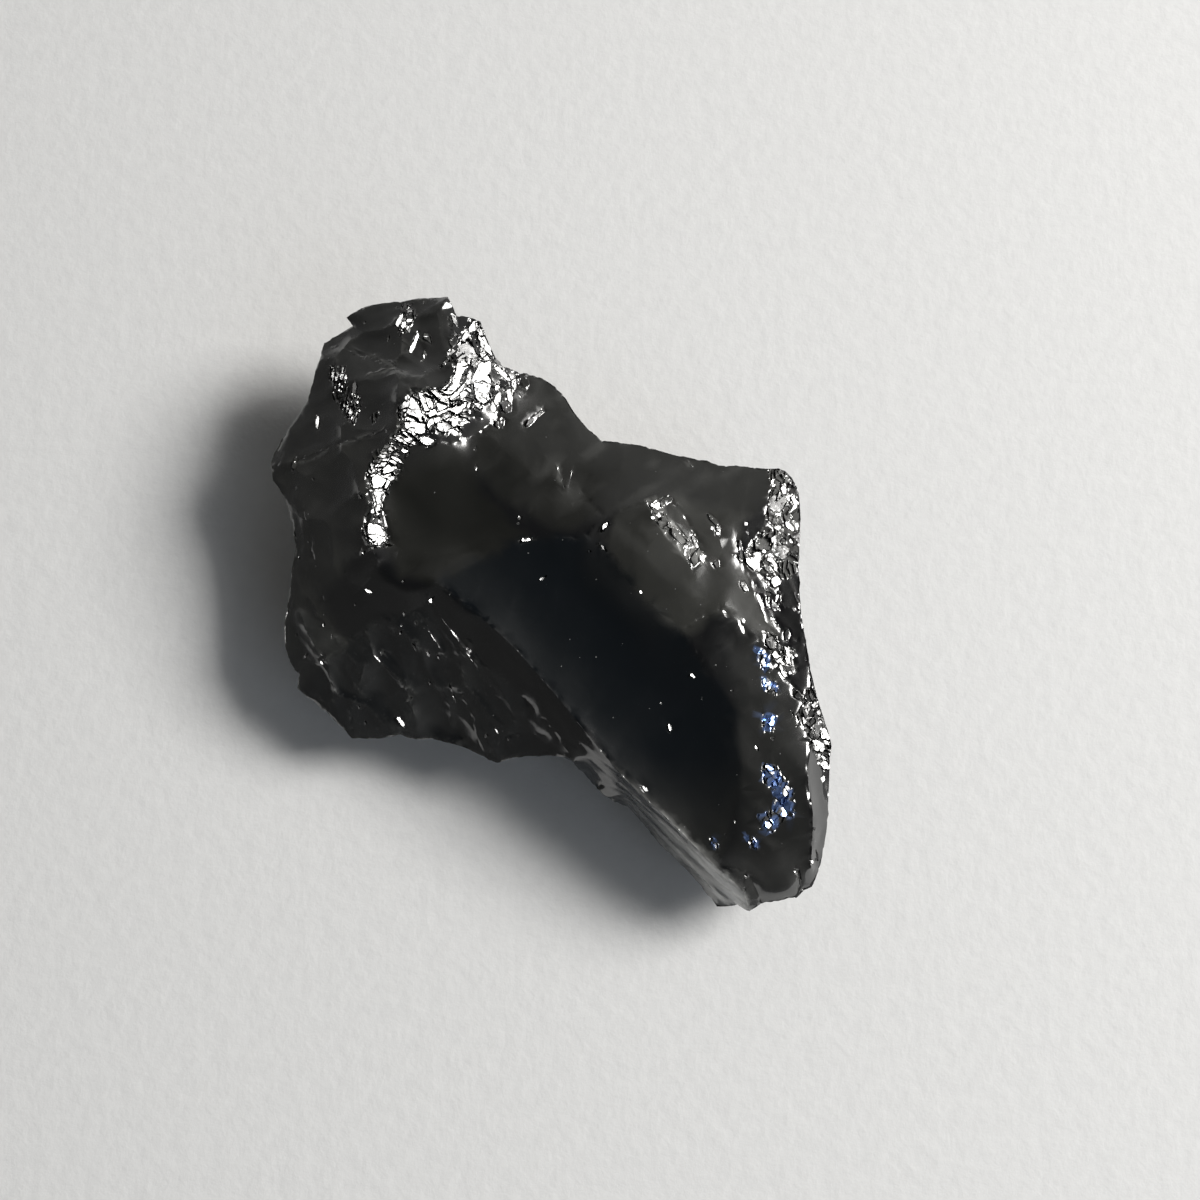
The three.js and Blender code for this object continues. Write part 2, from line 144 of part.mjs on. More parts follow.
// ---- triangles of the control surface, facing out ----
// prettier-ignore
const TRIANGLES = [
  [410,409,408], [288,410,413], [420,411,408], [184,411,420], [3,2,299], [300,4,3], [3,299,300], [2,1,298],
  [299,2,298], [298,1,0], [171,348,175], [398,400,171], [510,50,49], [412,411,414], [413,410,412],
  [408,411,412], [412,410,408], [186,185,499], [408,409,407], [420,408,406], [406,408,407], [407,404,406],
  [402,404,403], [273,388,272], [183,184,420], [300,299,302], [5,4,300], [148,95,94], [152,101,100],
  [302,151,152], [127,336,172], [172,128,127], [127,128,138], [317,314,313], [173,346,172], [172,336,173],
  [337,336,334], [173,336,337], [172,346,345], [362,348,171], [308,92,309], [309,310,308], [93,92,308],
  [145,314,146], [313,314,145], [146,310,145], [145,310,309], [90,89,141], [282,284,442], [442,43,42],
  [442,42,282], [442,284,283], [448,41,40], [448,40,280], [280,281,448], [39,38,446], [277,38,37],
  [288,413,289], [289,424,288], [426,424,289], [49,192,191], [507,57,56], [58,57,208], [288,424,249],
  [249,410,288], [249,409,410], [422,258,257], [405,404,407], [403,404,405], [406,182,421], [421,420,406],
  [183,420,421], [182,497,183], [183,421,182], [406,404,419], [419,404,402], [419,182,406], [419,402,180],
  [399,400,398], [403,400,399], [402,403,399], [273,369,266], [386,28,27], [29,28,386], [207,184,183],
  [497,182,206], [206,200,505], [181,182,419], [419,180,181], [207,60,59], [63,491,492], [62,491,63],
  [63,492,64], [206,207,497], [505,60,207], [207,206,505], [207,183,497], [200,491,61], [61,491,62],
  [200,60,505], [60,200,61], [298,0,97], [152,151,303], [303,101,152], [301,300,302], [301,302,152],
  [126,127,138], [126,336,127], [147,310,146], [307,310,147], [322,314,317], [322,317,111], [111,110,322],
  [146,314,322], [121,334,122], [337,334,335], [335,334,121], [166,167,338], [338,340,166], [338,337,335],
  [133,10,324], [100,101,325], [129,128,172], [129,172,345], [376,256,253], [253,375,376], [405,245,244],
  [244,403,405], [273,272,366], [369,273,366], [312,307,105], [309,92,91], [311,309,91], [91,90,311],
  [144,143,313], [144,313,145], [145,309,144], [311,143,144], [144,309,311], [221,486,483], [220,482,219],
  [483,482,220], [220,221,483], [68,486,489], [489,486,221], [473,219,218], [228,74,73], [228,73,475],
  [71,70,221], [219,482,481], [218,219,481], [222,218,481], [213,222,480], [222,213,218], [311,90,142],
  [142,90,141], [142,143,311], [44,43,442], [44,442,283], [435,293,437], [281,280,439], [281,41,448],
  [439,284,281], [292,293,435], [446,38,450], [450,38,277], [427,426,429], [47,46,440], [440,287,47],
  [440,286,287], [287,286,192], [192,286,191], [49,48,192], [49,212,510], [191,212,49], [192,48,47],
  [47,287,192], [510,212,51], [51,50,510], [507,208,57], [208,499,185], [499,208,209], [185,186,414],
  [185,411,184], [185,184,208], [416,414,187], [187,188,416], [31,388,389], [32,31,389], [248,409,249],
  [249,422,248], [260,258,422], [246,245,405], [405,407,246], [395,34,385], [35,34,395], [276,394,33],
  [33,394,34], [33,32,392], [392,276,33], [269,394,276], [268,275,267], [30,29,387], [387,29,386],
  [272,388,387], [387,388,31], [387,31,30], [200,199,232], [504,200,206], [206,205,504], [492,491,232],
  [232,491,200], [498,184,207], [207,208,498], [208,184,498], [96,95,148], [304,299,298], [304,298,97],
  [302,299,304], [324,10,9], [8,324,9], [103,101,303], [98,324,8], [98,8,7], [152,100,99], [301,152,99],
  [99,100,133], [133,324,99], [99,324,98], [98,301,99], [125,336,126], [334,336,125], [147,146,109],
  [322,110,109], [109,146,322], [121,122,330], [109,110,330], [330,110,111], [330,111,121], [343,175,174],
  [174,348,346], [175,348,174], [174,346,173], [343,169,170], [170,398,171], [169,398,170], [171,175,170],
  [170,175,343], [166,340,467], [462,213,463], [168,167,397], [397,169,168], [396,398,169], [396,169,397],
  [399,398,396], [339,340,338], [338,335,339], [11,10,133], [134,12,11], [11,133,134], [133,100,134],
  [134,100,325], [295,15,14], [296,18,17], [350,351,296], [295,350,296], [347,351,350], [346,348,347],
  [345,346,347], [350,345,347], [253,373,372], [244,245,372], [171,400,234], [362,171,234], [355,20,354],
  [21,20,355], [21,355,356], [366,272,271], [271,272,387], [387,386,271], [252,373,253], [251,373,252],
  [306,310,307], [306,307,312], [308,310,306], [224,482,483], [221,70,69], [489,221,69], [69,68,489],
  [230,484,485], [224,484,230], [230,223,224], [222,481,223], [480,222,502], [485,484,225], [225,484,224],
  [483,486,225], [224,483,225], [473,218,471], [471,218,215], [471,226,472], [472,473,471], [72,71,477],
  [220,474,477], [475,73,477], [477,73,72], [285,286,437], [449,41,281], [42,41,449], [282,42,449],
  [282,449,281], [281,284,282], [439,280,436], [436,280,434], [434,433,436], [280,40,447], [447,40,39],
  [39,446,447], [292,435,432], [432,435,436], [436,433,432], [417,414,416], [416,293,417], [417,293,292],
  [450,277,278], [278,446,450], [431,277,429], [289,413,290], [290,426,289], [262,424,425], [425,263,262],
  [425,424,426], [425,426,427], [265,427,428], [277,37,428], [429,277,428], [428,427,429], [36,35,265],
  [428,37,36], [36,265,428], [283,284,441], [441,284,440], [45,283,441], [283,45,44], [46,45,441],
  [440,46,441], [437,286,438], [438,286,440], [440,284,438], [438,284,439], [438,435,437], [436,435,438],
  [438,439,436], [414,411,185], [187,414,186], [188,187,500], [189,416,188], [390,32,389], [392,32,390],
  [390,276,392], [246,257,380], [376,375,380], [378,376,380], [257,258,380], [380,258,378], [247,422,257],
  [248,422,247], [247,257,246], [246,407,247], [407,409,247], [247,409,248], [260,422,423], [423,261,260],
  [249,424,423], [423,422,249], [423,424,262], [262,261,423], [379,268,267], [265,35,264], [264,35,395],
  [395,385,264], [385,263,264], [264,263,425], [264,427,265], [425,427,264], [393,268,269], [269,276,393],
  [393,275,268], [275,393,276], [276,390,275], [260,261,382], [382,261,269], [269,268,382], [270,394,269],
  [34,394,270], [385,34,270], [383,261,262], [269,261,383], [270,269,383], [383,385,270], [383,263,385],
  [262,263,383], [202,201,195], [418,402,399], [180,402,418], [179,180,418], [418,399,396], [495,180,179],
  [204,180,495], [391,275,390], [390,389,391], [389,388,391], [204,503,198], [205,182,181], [205,206,182],
  [233,492,232], [64,492,233], [233,65,64], [233,485,225], [232,487,231], [231,487,198], [198,197,230],
  [230,231,198], [230,485,231], [59,58,506], [506,207,59], [506,58,208], [208,207,506], [150,151,302],
  [150,302,304], [312,151,150], [103,327,326], [105,327,104], [104,327,103], [103,303,104], [303,151,104],
  [104,151,312], [312,105,104], [98,7,297], [297,6,5], [7,6,297], [297,301,98], [5,300,297], [297,300,301],
  [106,307,147], [106,147,107], [105,307,106], [106,327,105], [108,147,109], [107,147,108], [140,327,106],
  [106,107,140], [121,111,120], [335,121,120], [119,335,120], [313,143,315], [315,143,142], [155,154,453],
  [154,155,319], [453,154,86], [165,318,319], [165,319,164], [323,116,165], [165,164,323], [319,155,320],
  [164,319,320], [215,464,216], [216,226,471], [471,215,216], [215,218,214], [218,213,214], [214,213,462],
  [461,464,215], [214,462,461], [461,215,214], [341,169,343], [341,343,174], [341,337,338], [341,173,337],
  [174,173,341], [176,167,166], [397,167,176], [177,397,176], [493,177,176], [13,12,328], [326,138,137],
  [138,128,137], [137,128,129], [363,345,350], [18,296,351], [18,351,352], [237,238,354], [352,351,241],
  [16,295,296], [296,17,16], [372,373,371], [371,244,372], [374,375,253], [374,253,372], [380,375,374],
  [374,246,380], [374,245,246], [372,245,374], [242,362,235], [235,362,234], [360,20,19], [354,20,360],
  [360,352,354], [18,352,360], [360,19,18], [356,355,240], [240,357,356], [356,23,22], [22,21,356],
  [356,357,24], [24,357,358], [24,23,356], [359,366,271], [358,366,359], [27,26,359], [358,357,365],
  [365,366,358], [255,368,365], [255,256,368], [253,256,255], [252,253,255], [158,457,159], [216,158,159],
  [470,226,159], [159,226,216], [464,466,465], [216,464,465], [465,158,216], [223,482,224], [230,196,229],
  [481,482,223], [223,502,222], [490,486,68], [225,486,490], [225,66,233], [227,226,470], [472,226,227],
  [227,475,472], [228,475,227], [227,476,228], [474,473,472], [220,219,474], [474,219,473], [220,71,221],
  [477,71,220], [472,475,474], [474,475,477], [191,286,445], [445,286,285], [294,293,416], [294,416,189],
  [447,446,278], [278,433,434], [278,277,431], [431,433,278], [415,414,417], [415,413,412], [412,414,415],
  [290,413,415], [432,433,430], [430,433,431], [431,429,430], [209,208,507], [186,499,209], [507,56,209],
  [211,188,210], [53,52,509], [378,258,259], [259,258,260], [379,267,377], [377,267,266], [377,376,378],
  [377,378,259], [259,379,377], [384,260,382], [259,260,384], [384,379,259], [384,268,379], [382,268,384],
  [178,179,418], [418,396,178], [178,494,202], [177,494,178], [178,397,177], [396,397,178], [197,196,230],
  [197,198,503], [197,503,204], [204,203,197], [266,369,367], [367,368,266], [367,369,366], [367,366,365],
  [365,368,367], [368,256,381], [266,368,381], [381,256,376], [381,376,377], [377,266,381], [267,275,274],
  [274,275,391], [266,267,274], [266,274,273], [274,388,273], [391,388,274], [205,496,204], [199,504,205],
  [199,487,232], [199,200,504], [198,199,205], [199,198,487], [205,181,496], [204,198,205], [181,180,496],
  [496,180,204], [233,232,488], [488,232,231], [488,485,233], [231,485,488], [150,304,149], [304,97,149],
  [96,148,149], [149,97,96], [149,312,150], [326,327,139], [139,138,326], [139,327,140], [126,138,139],
  [125,126,139], [140,125,139], [102,101,103], [102,103,326], [325,101,102], [137,325,102], [102,326,137],
  [108,109,333], [330,122,333], [333,109,330], [333,107,108], [114,317,318], [113,317,114], [120,111,112],
  [111,317,112], [112,317,113], [315,154,316], [318,317,316], [316,317,313], [316,313,315], [319,318,316],
  [154,319,316], [142,141,451], [315,142,451], [451,89,88], [141,89,451], [323,164,163], [162,466,464],
  [162,464,461], [163,466,162], [162,323,163], [461,462,460], [462,463,460], [467,340,460], [463,467,460],
  [341,338,342], [338,167,342], [342,167,168], [168,169,342], [342,169,341], [194,229,195], [194,480,502],
  [135,329,328], [134,325,135], [135,12,134], [328,12,135], [137,129,130], [129,345,130], [130,345,363],
  [364,350,295], [363,350,364], [295,13,364], [13,295,14], [353,352,241], [241,242,353], [354,352,353],
  [237,354,353], [349,351,347], [241,351,349], [347,348,349], [349,348,362], [349,362,242], [349,242,241],
  [361,15,295], [16,15,361], [361,295,16], [243,244,371], [240,355,239], [354,238,239], [239,355,354],
  [254,357,240], [240,251,254], [365,357,254], [255,365,254], [254,251,252], [254,252,255], [27,271,386],
  [359,271,27], [24,358,25], [25,358,359], [25,359,26], [158,465,157], [459,457,158], [75,74,228],
  [228,476,75], [75,476,76], [229,223,230], [195,196,202], [196,195,229], [229,194,502], [229,502,223],
  [490,68,67], [67,225,490], [285,437,444], [437,293,444], [444,293,294], [52,51,212], [212,509,52],
  [212,211,509], [211,212,190], [278,434,279], [279,447,278], [434,280,279], [279,280,447], [291,292,432],
  [291,432,430], [417,292,291], [415,417,291], [430,290,291], [291,290,415], [209,56,55], [187,186,209],
  [209,210,187], [211,189,188], [53,211,210], [211,190,189], [53,509,211], [203,196,197], [203,204,495],
  [202,196,203], [495,179,203], [203,179,178], [178,202,203], [306,312,305], [305,312,149], [149,148,305],
  [305,308,306], [148,94,305], [94,93,305], [305,93,308], [123,107,333], [333,122,123], [122,334,123],
  [123,334,125], [115,318,165], [114,318,115], [165,116,115], [118,335,119], [118,119,113], [118,117,339],
  [339,335,118], [331,119,120], [331,120,112], [113,119,331], [112,113,331], [321,164,320], [163,164,321],
  [321,466,163], [465,466,321], [155,156,320], [161,323,162], [194,195,201], [201,493,194], [201,202,494],
  [201,494,177], [201,177,493], [193,213,480], [193,480,194], [463,213,193], [193,166,467], [193,467,463],
  [194,493,193], [176,166,193], [493,176,193], [136,329,135], [130,329,136], [136,137,130], [136,325,137],
  [135,325,136], [328,329,132], [132,363,364], [132,13,328], [364,13,132], [243,235,401], [234,400,401],
  [235,234,401], [401,400,403], [401,403,244], [401,244,243], [243,371,370], [370,238,237], [370,373,251],
  [371,373,370], [250,251,240], [250,240,239], [239,238,250], [250,238,370], [370,251,250], [456,457,459],
  [458,457,456], [456,81,458], [76,476,478], [66,65,233], [66,225,67], [285,443,190], [190,445,285],
  [443,285,444], [444,294,443], [294,190,443], [190,294,189], [190,212,501], [190,501,191], [501,212,191],
  [191,445,190], [210,209,55], [55,54,508], [124,125,140], [123,125,124], [140,107,124], [124,107,123],
  [332,113,114], [118,113,332], [332,114,115], [332,117,118], [116,117,332], [115,116,332], [86,154,452],
  [87,86,452], [153,315,451], [153,87,452], [451,88,153], [153,88,87], [153,154,315], [452,154,153],
  [456,459,455], [85,155,453], [454,155,85], [453,86,85], [85,84,454], [468,461,460], [162,461,468],
  [161,162,468], [132,329,131], [131,363,132], [131,329,130], [130,363,131], [236,235,243], [236,243,370],
  [370,237,236], [236,242,235], [353,242,236], [236,237,353], [82,81,456], [458,81,80], [80,79,458],
  [159,457,217], [217,457,458], [458,79,217], [217,470,159], [77,76,478], [210,500,187], [210,55,508],
  [188,500,210], [210,54,53], [508,54,210], [455,459,157], [157,459,158], [157,465,321], [454,84,156],
  [156,84,455], [156,155,454], [321,320,156], [157,321,156], [156,455,157], [460,340,344], [468,460,344],
  [344,161,468], [344,340,339], [83,456,455], [82,456,83], [455,84,83], [469,470,217], [478,476,469],
  [469,476,227], [227,470,469], [217,79,479], [479,79,78], [479,478,469], [469,217,479], [77,478,479],
  [479,78,77], [160,161,344], [160,116,323], [160,323,161], [160,117,116], [339,117,160], [344,339,160],
  [430,426,290], [429,426,430], [3,4,600], [529,531,528], [514,532,533], [533,530,514], [531,529,530],
  [531,530,533], [533,539,531], [528,511,529], [518,537,517], [540,539,533], [512,511,577], [511,512,529],
  [600,4,5], [514,515,532], [511,595,576], [576,595,563], [563,542,576], [528,595,511], [593,562,528],
  [535,537,536], [541,532,535], [536,541,535], [588,522,554], [523,541,536], [523,588,555], [555,556,523],
  [36,612,35], [549,550,584], [37,612,36], [610,548,32], [549,518,583], [548,610,549], [584,518,549],
  [549,35,612], [540,525,526], [526,539,540], [39,40,614], [55,554,621], [518,584,519], [538,537,518],
  [536,537,538], [519,538,518], [49,50,619], [586,520,551], [551,617,552], [570,41,42], [617,551,570],
  [616,46,617], [42,43,616], [570,42,616], [616,617,570], [97,0,1], [1,2,97], [543,512,577], [578,512,543],
  [543,600,601], [7,600,5], [5,6,7], [90,636,563], [91,636,90], [92,636,91], [636,542,563], [636,92,596],
  [93,596,92], [577,511,542], [542,511,576], [542,543,577], [542,636,596], [563,595,594], [594,595,528],
  [528,562,594], [590,525,524], [64,65,626], [534,525,540], [524,525,534], [533,532,534], [540,533,534],
  [534,532,541], [534,541,524], [572,30,31], [608,28,29], [608,29,30], [608,30,572], [517,583,518],
  [517,537,516], [516,515,581], [516,537,535], [516,582,517], [611,34,35], [549,34,611], [611,35,549],
  [33,34,549], [549,610,33], [610,32,33], [527,539,526], [527,593,528], [531,539,527], [528,531,527],
  [623,554,622], [56,623,622], [622,554,55], [622,55,56], [57,58,623], [57,623,56], [613,38,39],
  [613,39,614], [53,620,52], [621,620,53], [519,520,521], [521,538,519], [613,614,550], [519,584,550],
  [550,549,612], [550,612,37], [52,620,553], [553,620,621], [553,587,521], [553,520,586], [521,520,553],
  [617,46,618], [618,46,47], [618,49,619], [618,48,49], [47,48,618], [552,586,551], [552,617,618],
  [618,619,552], [552,619,553], [553,586,552], [570,551,615], [614,40,615], [615,551,614], [40,41,615],
  [615,41,570], [44,45,46], [44,46,616], [616,43,44], [94,95,564], [564,96,598], [599,542,564],
  [543,542,599], [599,564,598], [598,97,599], [97,2,599], [599,2,3], [599,3,600], [599,600,543],
  [515,580,546], [515,514,580], [535,532,515], [515,516,535], [546,581,515], [513,512,578], [530,529,513],
  [513,529,512], [579,513,544], [514,530,513], [513,579,514], [546,545,604], [27,28,608], [16,574,15],
  [20,546,605], [605,19,20], [565,89,90], [90,563,565], [88,89,565], [86,562,634], [562,593,561],
  [561,85,562], [634,562,85], [85,86,634], [561,84,85], [563,594,562], [635,88,565], [565,563,635],
  [562,635,563], [623,58,59], [626,65,66], [67,626,66], [590,524,557], [557,627,558], [627,626,67],
  [557,626,627], [61,62,624], [624,556,61], [624,62,63], [31,32,609], [572,31,609], [32,548,609],
  [22,23,573], [573,23,24], [608,572,607], [607,573,24], [517,582,548], [548,582,547], [607,572,548],
  [548,572,609], [548,583,517], [548,549,583], [526,525,591], [592,526,560], [527,526,592], [54,55,621],
  [54,621,53], [554,587,553], [553,621,554], [521,522,538], [551,585,550], [550,614,551], [585,519,550],
  [551,520,585], [585,520,519], [571,38,613], [571,613,550], [37,38,571], [550,37,571], [569,52,553],
  [553,619,569], [51,52,569], [619,50,569], [569,50,51], [597,564,542], [94,564,597], [597,93,94],
  [597,596,93], [542,596,597], [96,564,95], [96,97,598], [543,601,544], [7,8,601], [601,600,7], [601,8,9],
  [10,575,9], [9,575,601], [11,575,10], [544,602,545], [11,12,544], [544,575,11], [513,578,544],
  [544,578,543], [601,575,544], [545,514,579], [580,514,545], [545,546,580], [605,546,18], [18,546,604],
  [18,19,605], [25,608,607], [607,24,25], [17,574,16], [545,574,17], [17,604,545], [18,604,17], [84,633,83],
  [87,88,635], [87,562,86], [635,562,87], [625,626,557], [625,624,63], [64,626,625], [63,64,625],
  [627,67,68], [558,590,557], [558,525,590], [591,525,558], [558,629,559], [568,556,555], [61,556,568],
  [568,60,61], [59,60,568], [555,623,568], [568,623,59], [22,573,606], [606,21,22], [20,21,606],
  [546,547,581], [606,546,20], [547,607,548], [547,573,607], [547,582,516], [516,581,547], [547,546,606],
  [606,573,547], [559,591,558], [560,526,559], [559,526,591], [629,70,71], [72,629,71], [561,593,527],
  [561,527,592], [561,633,84], [83,633,561], [522,521,587], [522,588,523], [587,554,522], [523,536,522],
  [522,536,538], [554,555,588], [554,623,555], [13,14,603], [545,579,544], [603,574,545], [603,14,15],
  [15,574,603], [602,544,12], [602,12,13], [602,603,545], [602,13,603], [27,608,26], [26,608,25],
  [625,556,624], [557,524,589], [556,625,557], [557,589,556], [523,556,589], [523,589,524], [524,541,523],
  [558,627,628], [68,69,628], [628,627,68], [628,629,558], [628,69,70], [628,70,629], [567,560,559],
  [630,629,72], [559,629,630], [72,73,630], [567,559,630], [73,74,630], [80,81,632], [631,560,567],
  [560,561,592], [561,560,566], [566,560,632], [81,82,566], [632,81,566], [566,82,83], [566,83,561],
  [74,75,567], [567,630,74], [80,632,79], [632,560,79], [79,560,631], [76,77,631], [631,567,76], [76,567,75],
  [631,77,78], [79,631,78],
];

// ---- lines that stay sharp: 1 is a crisp arris, less is a softer one ----
// prettier-ignore
const ARRISES = [
  // the brink of the high cap, above the hackly band
  { sharp: 1, line: [7, 98, 99, 100, 101, 102, 103, 104, 105, 106, 107, 108, 109, 110, 111, 112, 113, 114, 115, 116] },
  // where the hackly band meets the smooth hollow
  { sharp: 1, line: [116, 117, 118, 119, 120, 121, 122, 123, 124, 125, 126, 127, 128, 129, 130, 131, 132, 13] },
  // a step half way down the hackly band
  { sharp: 1, line: [10, 133, 134, 135, 136, 137, 138, 139, 140, 107] },
  // crest across the cap, out to the left tip
  { sharp: 1, line: [89, 141, 142, 143, 144, 145, 146, 147, 107] },
  // fold down the back of the cap
  { sharp: 1, line: [95, 148, 149, 150, 151, 104] },
  // fold from there to the brink
  { sharp: 0.55, line: [151, 152, 100] },
  // rib along the left flank
  { sharp: 1, line: [88, 153, 154, 155, 156, 157, 158, 159] },
  // rim of the small scoop on the left
  { sharp: 1, line: [116, 160, 161, 162, 163, 164, 165, 116] },
  // low arc between the upper and lower hollows
  { sharp: 0.55, line: [166, 167, 168, 169, 170, 171] },
  // soft right side of the upper hollow
  { sharp: 0.55, line: [128, 172, 173, 174, 175, 171] },
  // the long sharp spine
  { sharp: 1, line: [166, 176, 177, 178, 179, 180, 181, 182, 183, 184, 185, 186, 187, 188, 189, 190, 191, 192, 48] },
  // foot of the steep wall below the spine
  { sharp: 1, line: [166, 193, 194, 195, 196, 197, 198, 199, 200, 60] },
  // shelf half way down the steep wall
  { sharp: 0.55, line: [201, 202, 203, 204, 205, 206, 207, 208, 209, 210, 211, 212, 49] },
  // top of the hackly lower-left face
  { sharp: 1, line: [193, 213, 214, 215, 216, 159, 217, 79] },
  // hackle rib
  { sharp: 0.55, line: [214, 218, 219, 220, 221, 69] },
  // hackle rib
  { sharp: 1, line: [71, 220] },
  // hackle rib
  { sharp: 1, line: [213, 222, 223, 224, 225, 66] },
  // hackle rib
  { sharp: 1, line: [216, 226, 227, 228, 74] },
  // hackle rib
  { sharp: 1, line: [194, 229, 230, 231, 232] },
  // lip of the lower-left toe
  { sharp: 1, line: [66, 233, 232, 200] },
  // valley above the knob
  { sharp: 1, line: [171, 234, 235, 236, 237, 238, 239, 240] },
  // short crack into the valley
  { sharp: 1, line: [241, 242, 236] },
  // right rim of the lower hollow
  { sharp: 1, line: [235, 243, 244, 245, 246, 247, 248, 249] },
  // step on the knob
  { sharp: 1, line: [239, 250, 251, 252, 253] },
  // step on the knob
  { sharp: 1, line: [240, 254, 255, 256, 253] },
  // light shoulder below the knob
  { sharp: 1, line: [247, 257, 258, 259, 260, 261, 262, 263, 264, 265, 36] },
  // upper line of the shoulder
  { sharp: 1, line: [266, 267, 268, 269, 270, 34] },
  // edge of the crumbled right corner
  { sharp: 1, line: [27, 271, 272, 273, 266, 274, 275, 276, 33] },
  // flat cut on the right edge
  { sharp: 1, line: [37, 277, 278, 279, 280, 281, 282, 42] },
  // nick by the lower end
  { sharp: 1, line: [45, 283, 284] },
  // small facet at the lower end
  { sharp: 1, line: [190, 285, 286, 192] },
  // small facet at the lower end
  { sharp: 1, line: [286, 287, 47] },
  // soft ridge down the lower right
  { sharp: 0.55, line: [249, 288, 289, 290, 291, 292, 293, 294, 190] },
  // soft line along the back edge
  { sharp: 0.55, line: [13, 295, 296, 18] },
  // the outer edge, all the way round
  { sharp: 1, line: [0, 1, 2, 3, 4, 5, 6, 7, 8, 9, 10, 11, 12, 13, 14, 15, 16, 17, 18, 19, 20, 21, 22, 23, 24, 25, 26, 27, 28, 29, 30, 31, 32, 33, 34, 35, 36, 37, 38, 39, 40, 41, 42, 43, 44, 45, 46, 47, 48, 49, 50, 51, 52, 53, 54, 55, 56, 57, 58, 59, 60, 61, 62, 63, 64, 65, 66, 67, 68, 69, 70, 71, 72, 73, 74, 75, 76, 77, 78, 79, 80, 81, 82, 83, 84, 85, 86, 87, 88, 89, 90, 91, 92, 93, 94, 95, 96, 97, 0] },
  // rim of the resting flat
  { sharp: 1, line: [511, 512, 513, 514, 515, 516, 517, 518, 519, 520, 521, 522, 523, 524, 525, 526, 527, 528, 511] },
  // arris on the underside
  { sharp: 1, line: [542, 543, 544, 545, 546, 547, 548, 549, 550, 551, 552, 553, 554, 555, 556, 557, 558, 559, 560, 561, 562, 563, 542] },
  // arris on the underside
  { sharp: 1, line: [96, 564, 542, 511] },
  // arris on the underside
  { sharp: 1, line: [89, 565, 563] },
  // arris on the underside
  { sharp: 1, line: [81, 566, 561, 527] },
  // arris on the underside
  { sharp: 1, line: [74, 567, 560] },
  // arris on the underside
  { sharp: 1, line: [60, 568, 555, 523] },
  // arris on the underside
  { sharp: 1, line: [50, 569, 553, 521] },
  // arris on the underside
  { sharp: 1, line: [42, 570, 551] },
  // arris on the underside
  { sharp: 1, line: [38, 571, 550, 519] },
  // arris on the underside
  { sharp: 1, line: [30, 572, 548, 517] },
  // arris on the underside
  { sharp: 1, line: [23, 573, 547] },
  // arris on the underside
  { sharp: 1, line: [16, 574, 545, 514] },
  // arris on the underside
  { sharp: 1, line: [10, 575, 544] },
];

